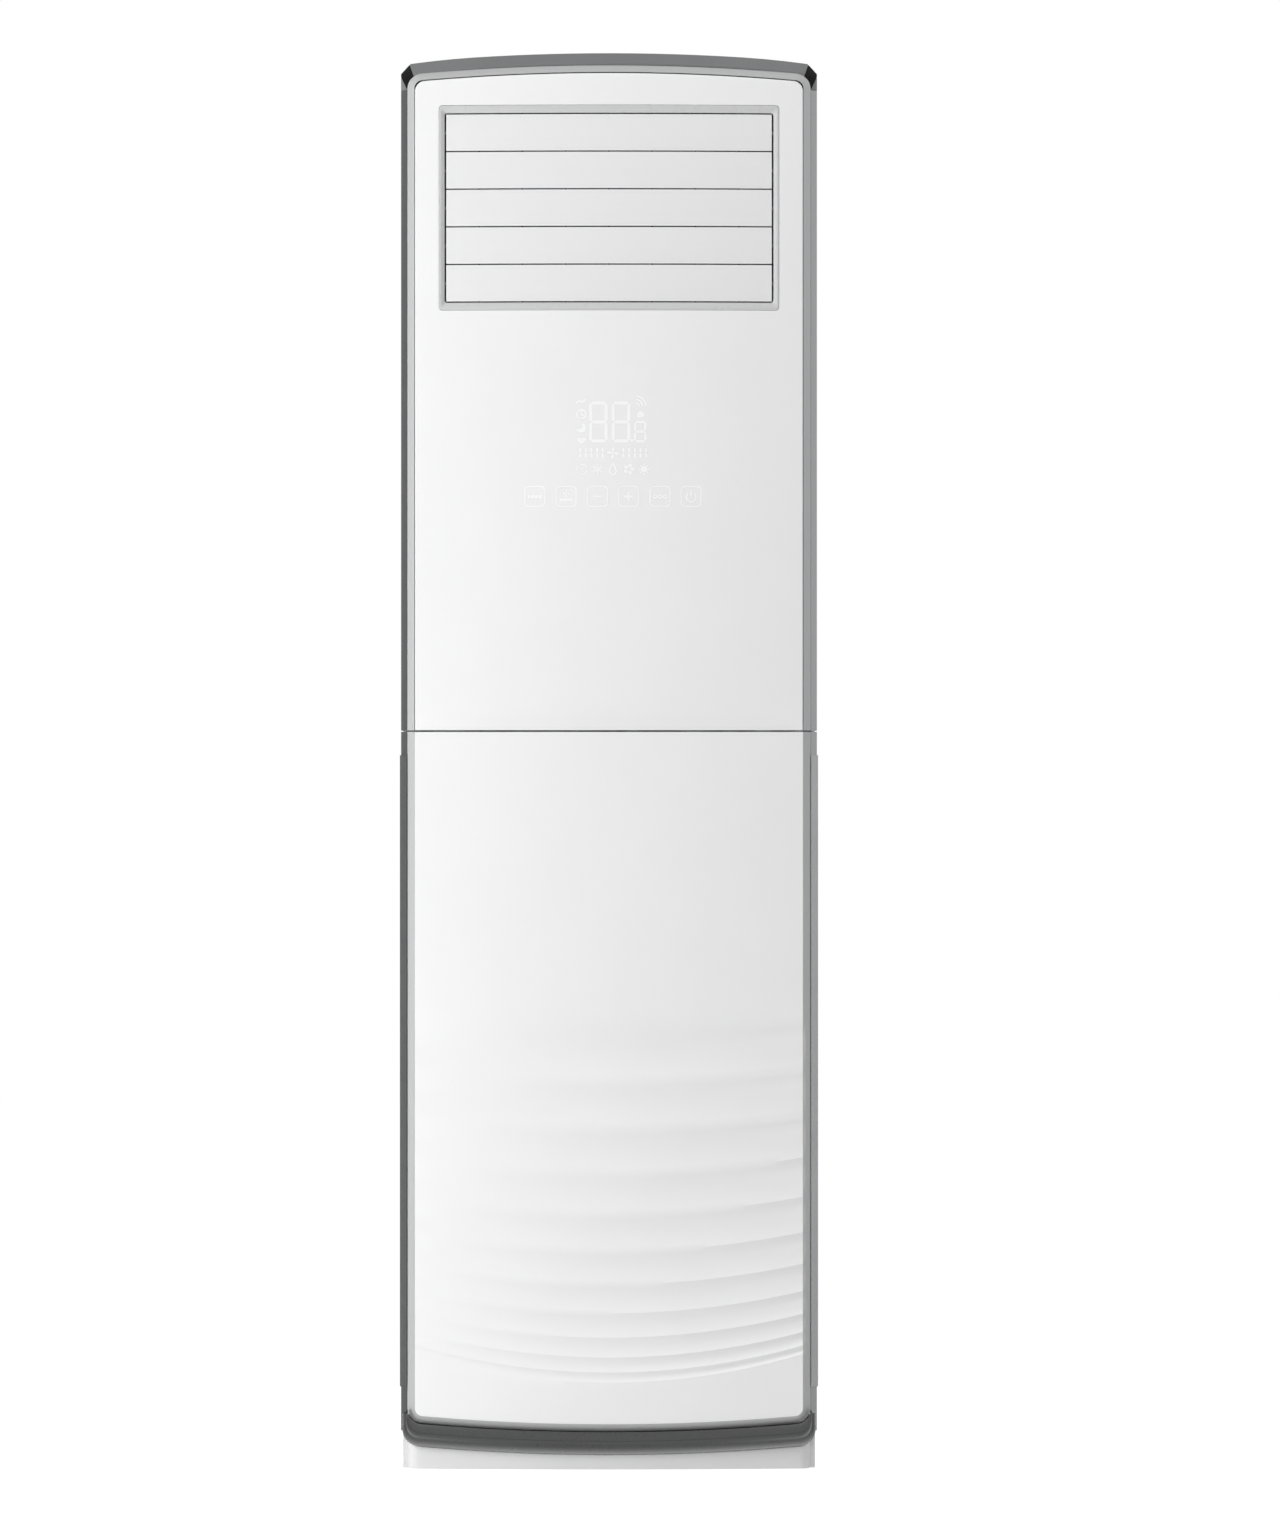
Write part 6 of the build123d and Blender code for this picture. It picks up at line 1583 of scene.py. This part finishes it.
# ------------------------------------------------------------------ cabinet
@dataclass
class Cabinet:
    """Side panels, back, top cover and the fittings on them."""

    screw_radius: float = 4.0 * MM
    screw_height: float = 2.0 * MM
    screw_slot: float = 0.9 * MM
    rim_edge: float = 260.3 * MM
    front_edge: float = -171.8 * MM
    cover_half: float = 268.5 * MM
    cover_low: float = 1779 * MM
    cover_high: float = 1809 * MM
    droop: float = 2.6 * MM
    droop_from: float = 170 * MM
    cap_corner: Sequence[Pair] = ((251.4 * MM, 1793.6 * MM), (256.8 * MM, 1809 * MM))
    seat: float = 0.3 * MM

    def side(self, node: str) -> None:
        """Dresses a side piece, its front edge brought up to the rim.

        Args:
            node: the side piece's node.
        """
        for vert in refined(node).data.vertices:
            if vert.co.y < self.front_edge:
                vert.co.x = math.copysign(self.rim_edge, vert.co.x)

    def drooped(self, piece: Piece) -> None:
        """Rounds the cover's crown off towards both corners.

        Args:
            piece: the cover or a cap, changed in place.
        """
        reach, rise = self.cover_half - self.droop_from, self.cover_high - self.cover_low
        for vert in piece.data.vertices:
            out = max(0.0, abs(vert.co.x) - self.droop_from) / reach
            up = min(1.0, max(0.0, (vert.co.z - self.cover_low) / rise))
            vert.co.z -= self.droop * min(1.0, out)**2 * up

    def cap(self, side: Side) -> Mesh:
        """Cuts the inner wedge off a corner cap, which turns into part of the cover.

        Args:
            side: the cap's side.

        Returns:
            The wedge, set against the cover.
        """
        cap = refined(f"{side.word}_corner_cap", 0.3 * MM)
        self.drooped(cap)
        (x0, z0), (x1, z1) = self.cap_corner
        place = Vector((x0 * side.value, 0, z0))
        normal = Vector((x1 - x0, 0, z1 - z0)).cross(Vector((0, 1, 0))).normalized()
        normal.x *= side.value
        wedge = cap.data.copy()
        for mesh, outer in ((cap.data, True), (wedge, False)):
            with editing(mesh) as tool:
                every = [*tool.verts, *tool.edges, *tool.faces]
                cut = bmesh.ops.bisect_plane(tool, geom=every, plane_co=place, plane_no=normal,
                                             clear_inner=not outer, clear_outer=outer)
                edges = [e for e in cut["geom_cut"] if isinstance(e, bmesh.types.BMEdge)]
                bmesh.ops.holes_fill(tool, edges=edges)
                bmesh.ops.recalc_face_normals(tool, faces=tool.faces)
            smoothed(mesh)
        wedge.transform(Matrix.Translation((-self.seat * side.value, 0, 0)))
        wedge.materials.clear()
        return wedge

    def cover(self) -> None:
        """Dresses the top cover, its corner wedges joined to it."""
        wedges = [self.cap(side) for side in Side]
        cover = refined("top_cover", 1.2 * MM, 4, angle=25.0)
        self.drooped(cover)
        cover.data = joined("top_cover_fine", [cover.data, *wedges])
        cover.data.materials.append(FINISHES["cover_grey"].material())

    def screws(self) -> None:
        """Sets a cross-head screw on each place of the frame's own screws."""
        co = np.array([v.co for v in frame["nodes"]["casing_screws"].data.vertices])
        back = co[:, 1].max() - self.screw_height
        places: list[Triple] = []
        for x, _, z in co:
            if not any(abs(p[0] - x) < 0.01 and abs(p[2] - z) < 0.01 for p in places):
                near = co[(abs(co[:, 0] - x) < 0.01) & (abs(co[:, 2] - z) < 0.01)]
                middle = (near.min(axis=0) + near.max(axis=0)) / 2
                places.append((middle[0], back, middle[2]))
        base = bpy.data.meshes.new("screw_places")
        base.from_pydata(places, [], [])
        heads = self.screw_heads(base)
        smoothed(heads, 40.0)
        dressed(new_piece("back_screws", heads), "casing_screws")

    def screw_heads(self, base: Mesh) -> Mesh:
        """Grows a domed head with a cross recess on every point of a mesh, facing +Y.

        Args:
            base: the mesh.

        Returns:
            The mesh of all the heads.
        """
        grown = GrowTree("cross_head_screws", Radius=self.screw_radius, Height=self.screw_height,
                         Slot=self.screw_slot, Turn=(-math.pi / 2, 0.0, 0.0))
        sheet, size = grown.sheet, grown.source

        def moved(solid: Socket, **changes: Any) -> Socket:
            """Moves or scales a solid; returns the output."""
            return sheet.out("GeometryNodeTransform", {"Geometry": solid, **changes})

        def cut(solid: Socket, tool: Socket) -> Socket:
            """Cuts one solid out of another; returns the output."""
            return sheet.out("GeometryNodeMeshBoolean", {0: solid, 1: tool}, operation="DIFFERENCE")

        ball = sheet.out("GeometryNodeMeshUVSphere", {"Segments": 24, "Rings": 12, "Radius": 1.0})
        low = sheet.out("GeometryNodeMeshCube", {"Size": (3.0, 3.0, 2.0)})
        head = moved(cut(ball, moved(low, Translation=(0.0, 0.0, -1.0))),
                     Scale=sheet.xyz(size["Radius"], size["Radius"], size["Height"]))
        reach = sheet.calc("MULTIPLY", size["Radius"], 1.15)
        depth = sheet.calc("MULTIPLY", size["Height"], 1.1)
        for sides in ((reach, size["Slot"]), (size["Slot"], reach)):
            bar = sheet.out("GeometryNodeMeshCube", {"Size": sheet.xyz(*sides, depth)})
            head = cut(head, moved(bar, Translation=sheet.xyz(z=size["Height"])))
        return grown.grow("back_screws", grown.stood(size[0], head, size["Turn"]), base)

    def build(self) -> None:
        """Draws and dresses all the pieces."""
        self.cover()
        for side in Side:
            for level in ("lower", "upper"):
                self.side(f"{side.word}_{level}_side")
        all_refined(0.4 * MM, "rear_panel")
        all_refined(0.3 * MM, "front_cross_rail", "wall_bracket")
        refined("pipe_port_ring", 0.6 * MM, 3)
        all_refined(0.4 * MM, "cable_gland")
        self.screws()


@dataclass
class IntakeSide:
    """Side intake grille with its slats, and the washable filter behind it."""

    side: Side
    pitch: float = 21 * MM
    slat_depth: float = 5.6 * MM
    slat_length: float = 164 * MM
    slat_thick: float = 1.6 * MM
    slat_inset: float = 3.6 * MM
    slat_y: float = -61.5 * MM
    frame_bars: float = 28 * MM
    front_edge: float = -173.3 * MM
    rim_edge: float = 260.4 * MM

    def slats(self, name: str, low: Vector, high: Vector) -> Mesh:
        """Grows slats with rounded noses, one above the other.

        Args:
            name: name of what grows.
            low: the grille's lowest corner.
            high: its highest corner.

        Returns:
            The mesh.
        """
        count = int((high.z - low.z - self.frame_bars) / self.pitch) - 1
        outer = (high if self.side is Side.RIGHT else low).x - self.side.value * self.slat_inset
        first = (outer, self.slat_y, (low.z + high.z) / 2 - (count - 1) / 2 * self.pitch)
        grown = GrowTree(f"{name}_slats", Count=count, Pitch=self.pitch, Depth=self.slat_depth,
                         Length=self.slat_length, Thickness=self.slat_thick,
                         Nose=0.45 * self.slat_thick, First=first)
        sheet, size = grown.sheet, grown.source
        half = sheet.calc("MULTIPLY", size["Length"], 0.5)
        along = sheet.out("GeometryNodeCurvePrimitiveLine", {
            "Start": sheet.xyz(y=sheet.calc("MULTIPLY", half, -1.0)), "End": sheet.xyz(y=half)})
        spots = sheet.out("GeometryNodeMeshLine", {
            "Count": size["Count"], "Start Location": size["First"],
            "Offset": sheet.xyz(z=size["Pitch"])})
        slat = grown.swept(along, "Depth", "Thickness", "Nose")
        return grown.grow(f"{name}_extra", grown.stood(spots, slat))

    def build(self) -> None:
        """Draws the grille with a fine slat between each two of the frame's, and the filter."""
        node = f"{self.side.word}_intake_grille"
        body = copied_mesh(node, node)
        for vert in body.vertices:
            if vert.co.y < self.front_edge:
                vert.co.x = self.side.value * self.rim_edge
        whole = joined(f"{node}_fine", [body, self.slats(node, *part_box(node))])
        dressed(new_piece(f"{node}_fine", whole), node)
        refined(f"{self.side.word}_air_filter")


@dataclass
class Louvres:
    """Five bowed blades, the vanes behind them, their links and their motors."""

    blades: int = 5
    vanes: int = 7
    pitch: float = 48.5 * MM
    middle_z: float = 1625 * MM
    gap: float = 1.6 * MM
    half: float = 209.5 * MM
    inset: float = 3 * MM
    thickness: float = 3.5 * MM
    nose: float = 0.7 * MM
    pivot_y: float = -176 * MM
    bezel_half: float = 219 * MM
    ear: float = 3 * MM
    ear_half: float = 4.5 * MM
    ear_inset: float = 0.05 * MM
    pin: float = 2 * MM
    crank: float = 12 * MM
    crank_half: float = 3.5 * MM
    crank_thick: float = 2 * MM
    crank_pin: float = 1.5 * MM
    crank_gap: float = 0.5 * MM
    crank_rest: float = 42.5
    motor_bore: float = 8 * MM

    def sweep(self, name: str, level: float) -> Mesh:
        """Grows a blade's rounded section along the bow of the front.

        Args:
            name: name of what grows.
            level: height of the blade's middle.

        Returns:
            The mesh.
        """
        middle = self.inset + self.thickness / 2
        grown = GrowTree(f"{name}_sweep", Half=self.half, Crown=float(FRONT.y(0.0, middle)),
                         End=float(FRONT.y(self.half, middle)), Level=level,
                         Thickness=self.thickness, Height=self.pitch - self.gap, Edge=self.nose)
        sheet, size = grown.sheet, grown.source
        left, right = (sheet.xyz(x, size["End"], size["Level"])
                       for x in (sheet.calc("MULTIPLY", size["Half"], -1.0), size["Half"]))
        bow = sheet.out("GeometryNodeCurveArc", {
            "Resolution": 65, "Start": left, "End": right,
            "Middle": sheet.xyz(0.0, size["Crown"], size["Level"])}, mode="POINTS")
        return grown.grow(name, grown.swept(bow, "Thickness", "Height", "Edge", 4))

    def blade(self, number: int) -> None:
        """Grows one blade and joins its ears, pins and crank to it.

        Args:
            number: the blade's number in its node's name.
        """
        node = f"louvre_blade_{number}"
        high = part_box(node)[1]
        middle = (self.blades + 1) / 2
        levels = [self.middle_z + (i - middle) * self.pitch for i in range(1, self.blades + 1)]
        z = min(levels, key=lambda v: abs(v - (high.z + self.gap / 2 - self.pitch / 2)))
        meshes = [self.sweep(node, z)]
        pivot, front = (self.pivot_y, z), float(FRONT.y(self.half, self.inset + self.thickness / 2))
        ear = [(front, z - self.ear_half),
               *arc(pivot, self.ear_half, np.linspace(-math.pi / 2, math.pi / 2, 13)),
               (front, z + self.ear_half)]
        inner, outer = self.half - self.ear, self.half - self.ear_inset
        for side in Side:
            meshes.append(prism(ear, inner * side.value, outer * side.value, 0))
        arm = self.bezel_half + self.crank_gap + self.crank_thick
        driven = abs(z - self.middle_z) < MM
        reach = self.bezel_half + (self.motor_bore if driven else self.crank_gap)
        end = arc(pivot, self.crank, [-math.radians(self.crank_rest)])[0]
        link = arm + 2 * self.crank_gap + self.crank_thick
        for outline, start, stop in ((round_outline(pivot, self.pin), -arm, -inner),
                                     (round_outline(pivot, self.pin), inner, reach),
                                     (arm_outline(pivot, end, self.crank_half), -arm,
                                      -arm + self.crank_thick),
                                     (round_outline(end, self.crank_pin), -link, -arm)):
            meshes.append(prism(outline, start, stop, 0))
        dressed(new_piece(f"{node}_fine", joined(node, meshes)), node)

    def build(self) -> None:
        """Draws and dresses all the pieces."""
        for i in range(1, self.blades + 1):
            self.blade(i)
        for i in range(1, self.vanes + 1):
            refined(f"swing_vane_{i}", 0.3 * MM, finish=VANE)
        all_refined(0.2 * MM, "louvre_link_bar", "vane_link_bar")
        all_refined(0.3 * MM, "louvre_motor", "vane_motor")


@dataclass
class Evaporator:
    """Coil, its tubes, plates, pan and pipes, and the foam elbow above it."""

    fin_count: int = 260
    fin_thick: float = 0.35 * MM
    half: float = 221.7 * MM

    def fins(self) -> None:
        """Grows the thin fins in the place of the frame's fin block."""
        block = frame["nodes"]["evaporator_fins"].data.vertices
        seen = {(round(v.co.y, 5), round(v.co.z, 5)) for v in block}
        corners = [p for p in seen if self.is_corner(p, seen)]
        y, z = np.mean(corners, axis=0)
        corners.sort(key=lambda p: math.atan2(p[1] - z, p[0] - y))
        base = prism(corners, -self.half, -self.half + self.fin_thick, 0)
        pitch = (2 * self.half - self.fin_thick) / (self.fin_count - 1)
        grown = GrowTree("fin_stack", Count=self.fin_count, Pitch=pitch)
        sheet, size = grown.sheet, grown.source
        line = sheet.out("GeometryNodeMeshLine",
                         {"Count": size["Count"], "Offset": sheet.xyz(size["Pitch"])})
        mesh = grown.grow("coil_fins", grown.stood(line, size[0]), base)
        dressed(new_piece("coil_fins", mesh), "evaporator_fins")

    @staticmethod
    def is_corner(point: Pair, points: set[Pair]) -> bool:
        """Whether a point is a corner of the convex outline of all points.

        Args:
            point: the point.
            points: all points.

        Returns:
            True for a corner.
        """
        turns = sorted(math.atan2(q[1] - point[1], q[0] - point[0]) for q in points if q != point)
        gaps = [b - a for a, b in zip(turns, turns[1:])] + [turns[0] + 2 * math.pi - turns[-1]]
        return max(gaps) > math.pi + 0.02

    def build(self) -> None:
        """Draws and dresses all the pieces."""
        self.fins()
        refined("coil_end_plates")
        refined("evaporator_tubes", angle=50.0)
        all_refined(0.8 * MM, "drain_pan", "outlet_duct")
        all_refined(0.3 * MM, "gas_pipe", "liquid_pipe")


@dataclass
class Blower:
    """Scroll, wheel, shaft and motor."""

    blade_count: int = 32
    centre_x: float = 30 * MM
    centre_z: float = 500 * MM
    radius: float = 165 * MM
    inner: float = 138 * MM
    plate: float = 2 * MM
    ring: float = 3 * MM
    edge: float = 0.5 * MM
    bore: float = 6.05 * MM
    hub: float = 22 * MM
    hub_length: float = 34 * MM
    hub_edge: float = 1.5 * MM
    hub_fillet: float = 4 * MM
    blade_thick: float = 1.4 * MM
    blade_sag: float = -6 * MM
    blade_lead: float = -7.0

    def turned(self, name: str, outline: Sequence[Pair], steps: int = 128) -> Mesh:
        """Body turned about the wheel's axis.

        Args:
            name: the mesh's name.
            outline: corners of its closed section, each a radius and a Y.
            steps: how many steps go round.

        Returns:
            The mesh.
        """
        centre = (self.centre_x, self.centre_z)
        return lofted(name, [np.insert(np.array(round_outline(centre, r, steps)), 1, y, axis=1)
                             for r, y in outline])

    def blades(self, depth: float) -> Mesh:
        """Grows curved blades in a ring round the Y axis.

        Args:
            depth: length of a blade along Y.

        Returns:
            The mesh.
        """
        grown = GrowTree("wheel_blades", Count=self.blade_count, Inner=self.inner + self.edge,
                         Outer=self.radius - self.edge, Sag=self.blade_sag,
                         Lead=math.radians(self.blade_lead), Depth=depth,
                         Thickness=self.blade_thick)
        sheet, size = grown.sheet, grown.source
        tip_x, tip_z = (sheet.calc("MULTIPLY", size["Outer"], sheet.calc(way, size["Lead"]))
                        for way in ("COSINE", "SINE"))
        half_x = sheet.calc("MULTIPLY", sheet.calc("ADD", size["Inner"], tip_x), 0.5)
        half_z = sheet.calc("SUBTRACT", sheet.calc("MULTIPLY", tip_z, 0.5), size["Sag"])
        path = sheet.out("GeometryNodeCurveArc", {
            "Resolution": 9, "Start": sheet.xyz(size["Inner"]),
            "Middle": sheet.xyz(half_x, 0.0, half_z), "End": sheet.xyz(tip_x, 0.0, tip_z)},
            mode="POINTS")
        blade = grown.swept(path, "Depth", "Thickness")
        spots = sheet.out("GeometryNodePoints", {"Count": size["Count"]})
        share = sheet.calc("DIVIDE", sheet.out("GeometryNodeInputIndex"), size["Count"])
        turn = sheet.xyz(y=sheet.calc("MULTIPLY", share, 2 * math.pi))
        return grown.grow("wheel_blades", grown.stood(spots, blade, turn))

    def wheel(self) -> None:
        """Turns the plate with its hub and the front ring, and grows the blades between them."""
        low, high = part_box("blower_wheel")
        back, front, e, r, hub = high.y, low.y, self.edge, self.radius, self.hub
        hub_end, plate, chamfer = back - self.hub_length, back - self.plate, self.hub_edge
        body = [(self.bore, back), (r - e, back), (r, back - e), (r, plate + e), (r - e, plate)]
        body += [(hub + b, plate - a) for a, b in rounding(self.hub_fillet)]
        body += [(hub, hub_end + chamfer), (hub - chamfer, hub_end), (self.bore, hub_end)]
        mouth = [(self.inner, front + e), (self.inner + e, front), (r - e, front), (r, front + e),
                 (r, front + self.ring), (self.inner, front + self.ring)]
        depth = back - front - self.plate / 2 - self.ring / 2
        blades = self.blades(depth)
        middle = (self.centre_x, back - self.plate / 2 - depth / 2, self.centre_z)
        blades.transform(Matrix.Translation(middle))
        whole = joined("wheel_fine", [self.turned("plate", body), self.turned("mouth", mouth),
                                      blades])
        dressed(new_piece("wheel_fine", whole), "blower_wheel")

    def build(self) -> None:
        """Draws and dresses all the pieces."""
        self.wheel()
        all_refined(0.0, "scroll_casing", "bell_mouth", "fan_deck", "motor_bracket")
        all_refined(0.5 * MM, "fan_motor")
        all_refined(0.4 * MM, "fan_shaft", "wheel_nut")


class Electrics:
    """Electric box and what is in it, and the display board."""

    def build(self) -> None:
        """Draws and dresses all the pieces."""
        all_refined(0.3 * MM, "electric_box", "electric_box_lid", "terminal_block")
        all_refined(0.2 * MM, "main_board", "display_board")
        refined("run_capacitor", 1.2 * MM, 3)


# ------------------------------------------------------------------ studio
@dataclass(frozen=True)
class Lamp:
    """Soft rectangular lamp that gloss doesn't show, with its power in watts."""

    name: str
    place: Triple
    aim: Triple
    power: float
    size: Pair = (1.6, 3.0)
    reach: Reach | None = None
    pieces: Sequence[str] = ()

    def light(self) -> bpy.types.Light:
        """Makes the light itself."""
        light = bpy.data.lights.new(self.name, "AREA")
        light.shape, light.energy = "RECTANGLE", self.power
        light.size, light.size_y = self.size
        return light

    def build(self) -> None:
        """Hangs the lamp and settles which pieces it lights."""
        lamp = bpy.data.objects.new(self.name, self.light())
        away = Vector(self.place) - Vector(self.aim)
        lamp.location = self.place
        lamp.rotation_euler = away.to_track_quat("Z", "Y").to_euler()
        lamp.visible_glossy = False
        bpy.context.scene.collection.objects.link(lamp)
        if self.reach:
            group = bpy.data.collections.new(f"{self.name}_pieces")
            for name in self.pieces:
                group.objects.link(bpy.data.objects[name])
            for link in group.collection_objects:
                link.light_linking.link_state = self.reach.value
            lamp.light_linking.receiver_collection = group


@dataclass(frozen=True)
class Sun(Lamp):
    """Lamp whose light falls evenly from one direction, in watts on each square metre."""

    blur: float = 25.0

    def light(self) -> bpy.types.Light:
        """Makes the light itself."""
        light = bpy.data.lights.new(self.name, "SUN")
        light.energy, light.angle = self.power, math.radians(self.blur)
        return light


SHELLS = tuple(f"{side.word}_{name}_fine" for side in Side
               for name in ("lower_side", "upper_side", "intake_grille"))
MIDDLE = (0.0, 0.0, 0.95)
LAMPS = (
    Lamp("key", (-2.95, -1.6, 1.15), (0.0, -0.1, 0.95), 77.0, (1.4, 3.4), Reach.NOT, SHELLS),
    Lamp("flank", (2.6, -1.0, 1.1), MIDDLE, 150.0, reach=Reach.ONLY, pieces=SHELLS),
    Lamp("side", (3.2, 0.1, 1.1), MIDDLE, 3.0),
    Sun("rake", (-0.35, -0.45, 1.0), (0.0, 0.0, 0.0), 0.55, reach=Reach.ONLY,
        pieces=("rippled_panel", "white_face")),
    Lamp("low", (-1.1, -2.4, 0.22), (0.0, -0.2, 0.02), 4.0, (1.8, 0.3)),
    Lamp("top", (0.9, -1.0, 3.6), (0.1, 0.0, 0.5), 19.0, (1.6, 1.2)),
)


@dataclass
class Surroundings:
    """White to the eye and softer as a light; gloss sees a pale floor, brighter at its sides."""

    ambient: float = 0.40
    gloss: float = 0.7
    floor_gloss: float = 0.45
    floor_rise: float = 1.9
    horizon: Pair = (0.03, 0.07)
    flare: float = 45.0
    flare_top: float = 0.062
    side_fade: Pair = (0.48, 0.64)
    down_fade: Pair = (0.12, 0.35)
    behind: Pair = (0.2, 0.5)
    behind_share: float = 0.75

    def gloss_below(self, sheet: NodeSheet, aside: Socket, back: Socket, down: Socket) -> Socket:
        """Strength that gloss sees below the horizon.

        Args:
            sheet: the world's tree.
            aside: how far the direction leans to either side, from 0 to 1.
            back: how far it leans to the back.
            down: how far it leans down.

        Returns:
            The output that carries the strength.
        """
        base = sheet.calc("MULTIPLY_ADD", sheet.calc("POWER", down, 2.0), self.floor_rise,
                          self.floor_gloss)
        flare = sheet.calc("MINIMUM", sheet.calc("POWER", aside, 3.0), self.flare_top)
        flare = sheet.calc("MULTIPLY", flare, self.flare)
        for value, ends, rest in ((aside, self.side_fade, 0.0), (down, self.down_fade, 0.0),
                                  (back, self.behind, self.behind_share)):
            fade = sheet.ramp(value, *ends, 1.0, rest, interpolation_type="SMOOTHSTEP")
            flare = sheet.calc("MULTIPLY", flare, fade)
        return sheet.calc("ADD", base, flare)

    def build(self) -> None:
        """Sets up the world."""
        world = bpy.data.worlds.new("white_studio")
        world.use_nodes = True
        bpy.context.scene.world = world
        sheet = NodeSheet(world.node_tree)
        way = sheet.out("ShaderNodeTexCoord", pick="Generated")
        axes = sheet.add("ShaderNodeSeparateXYZ", {0: way}).outputs
        down = sheet.calc("MAXIMUM", sheet.calc("MULTIPLY", axes[2], -1.0), 0.0)
        below = self.gloss_below(sheet, sheet.calc("ABSOLUTE", axes[0]), axes[1], down)
        gloss = sheet.between(sheet.ramp(down, *self.horizon), self.gloss, below)
        plain = sheet.ramp(seen(sheet), 0.0, 1.0, self.ambient, 1.0)
        glossy = sheet.out("ShaderNodeLightPath", pick="Is Glossy Ray")
        sheet.feed(world.node_tree.nodes["Background"], {
            "Color": PURE_WHITE, "Strength": sheet.between(glossy, plain, gloss)})


def seen(sheet: NodeSheet) -> Socket:
    """Whether a ray comes from the camera, a gloss or a clear piece; returns the output."""
    path = sheet.add("ShaderNodeLightPath").outputs
    either = sheet.calc("MAXIMUM", path["Is Camera Ray"], path["Is Glossy Ray"])
    return sheet.calc("MAXIMUM", either, path["Is Transmission Ray"])


@dataclass
class Floor:
    """White floor that keeps a soft shadow; gloss sees the surroundings in its place."""

    reach: float = 14.0
    shades: Pair = (0.80, 0.82)
    patches: float = 3.0
    roughness: float = 0.9
    glow: float = 1.36
    seen_share: float = 0.50
    light_share: float = 0.16

    def build(self) -> None:
        """Lays the floor and paints it."""
        mesh, r = bpy.data.meshes.new("floor"), self.reach
        mesh.from_pydata([(-r, -r, 0), (r, -r, 0), (r, r, 0), (-r, r, 0)], [], [(0, 1, 2, 3)])
        floor = new_piece("floor", mesh)
        floor.visible_glossy = False
        paint = bpy.data.materials.new("white_floor")
        paint.use_nodes = True
        sheet, nodes = NodeSheet(paint.node_tree), paint.node_tree.nodes
        place = sheet.out("ShaderNodeTexCoord", pick="Object")
        colour = sheet.blend(sheet.spread(sheet.noise(place, self.patches)),
                             *(tinted((v, v, v)) for v in self.shades))
        sheet.feed(nodes["Principled BSDF"], {
            "Base Color": colour, "Roughness": self.roughness, "Specular IOR Level": 0.0})
        glow = sheet.out("ShaderNodeEmission", {"Color": PURE_WHITE, "Strength": self.glow})
        share = sheet.calc("MULTIPLY_ADD", seen(sheet), self.seen_share, self.light_share)
        mixed = sheet.out("ShaderNodeMixShader",
                          {0: share, 1: nodes["Principled BSDF"].outputs[0], 2: glow})
        sheet.feed(nodes["Material Output"], {"Surface": mixed})
        mesh.materials.append(paint)


@dataclass
class Camera:
    """Camera square to the front, at the photograph's scale."""

    px: float = 1.287 * MM
    frame_px: Pair = (1280.0, 1536.0)
    middle_px: Pair = (609.0, 1470.0)
    distance: float = 13.0
    sensor: float = 36.0
    sight: float = 60.0

    def build(self) -> None:
        """Sets the camera up."""
        lens = bpy.data.cameras.new("front_camera")
        width, height = self.frame_px
        lens.sensor_width, lens.sensor_fit, lens.clip_end = self.sensor, "AUTO", self.sight
        lens.lens = self.sensor * self.distance / (height * self.px)
        lens.shift_x = (width / 2 - self.middle_px[0]) / height
        camera = bpy.data.objects.new("front_camera", lens)
        camera.location = (0.0, FRONT.crown_y - self.distance,
                           (self.middle_px[1] - height / 2) * self.px)
        camera.rotation_euler = (math.pi / 2, 0.0, 0.0)
        bpy.context.scene.collection.objects.link(camera)
        bpy.context.scene.camera = camera


def carry_over() -> None:
    """Gives every node that still shows its finish."""
    for name, node in frame["nodes"].items():
        if not node.hide_render:
            node.data.materials.clear()
            node.data.materials.append(FINISHES[slot_of(name)].material())
            log.info("%s keeps its own mesh", name)


def main() -> None:
    """Builds the dressed object and its studio."""
    logging.basicConfig(level=logging.INFO, format="%(name)s: %(message)s")
    for part in (UpperFront(), DisplayPrint(), LowerFront(), Plinth(), Cabinet(),
                 IntakeSide(Side.LEFT), IntakeSide(Side.RIGHT), Louvres(), Evaporator(), Blower(),
                 Electrics()):
        part.build()
    carry_over()
    for part in (Camera(), Surroundings(), Floor(), *LAMPS):
        part.build()
    bpy.context.scene.view_settings.view_transform = "Standard"


if __name__ == "__main__":
    main()
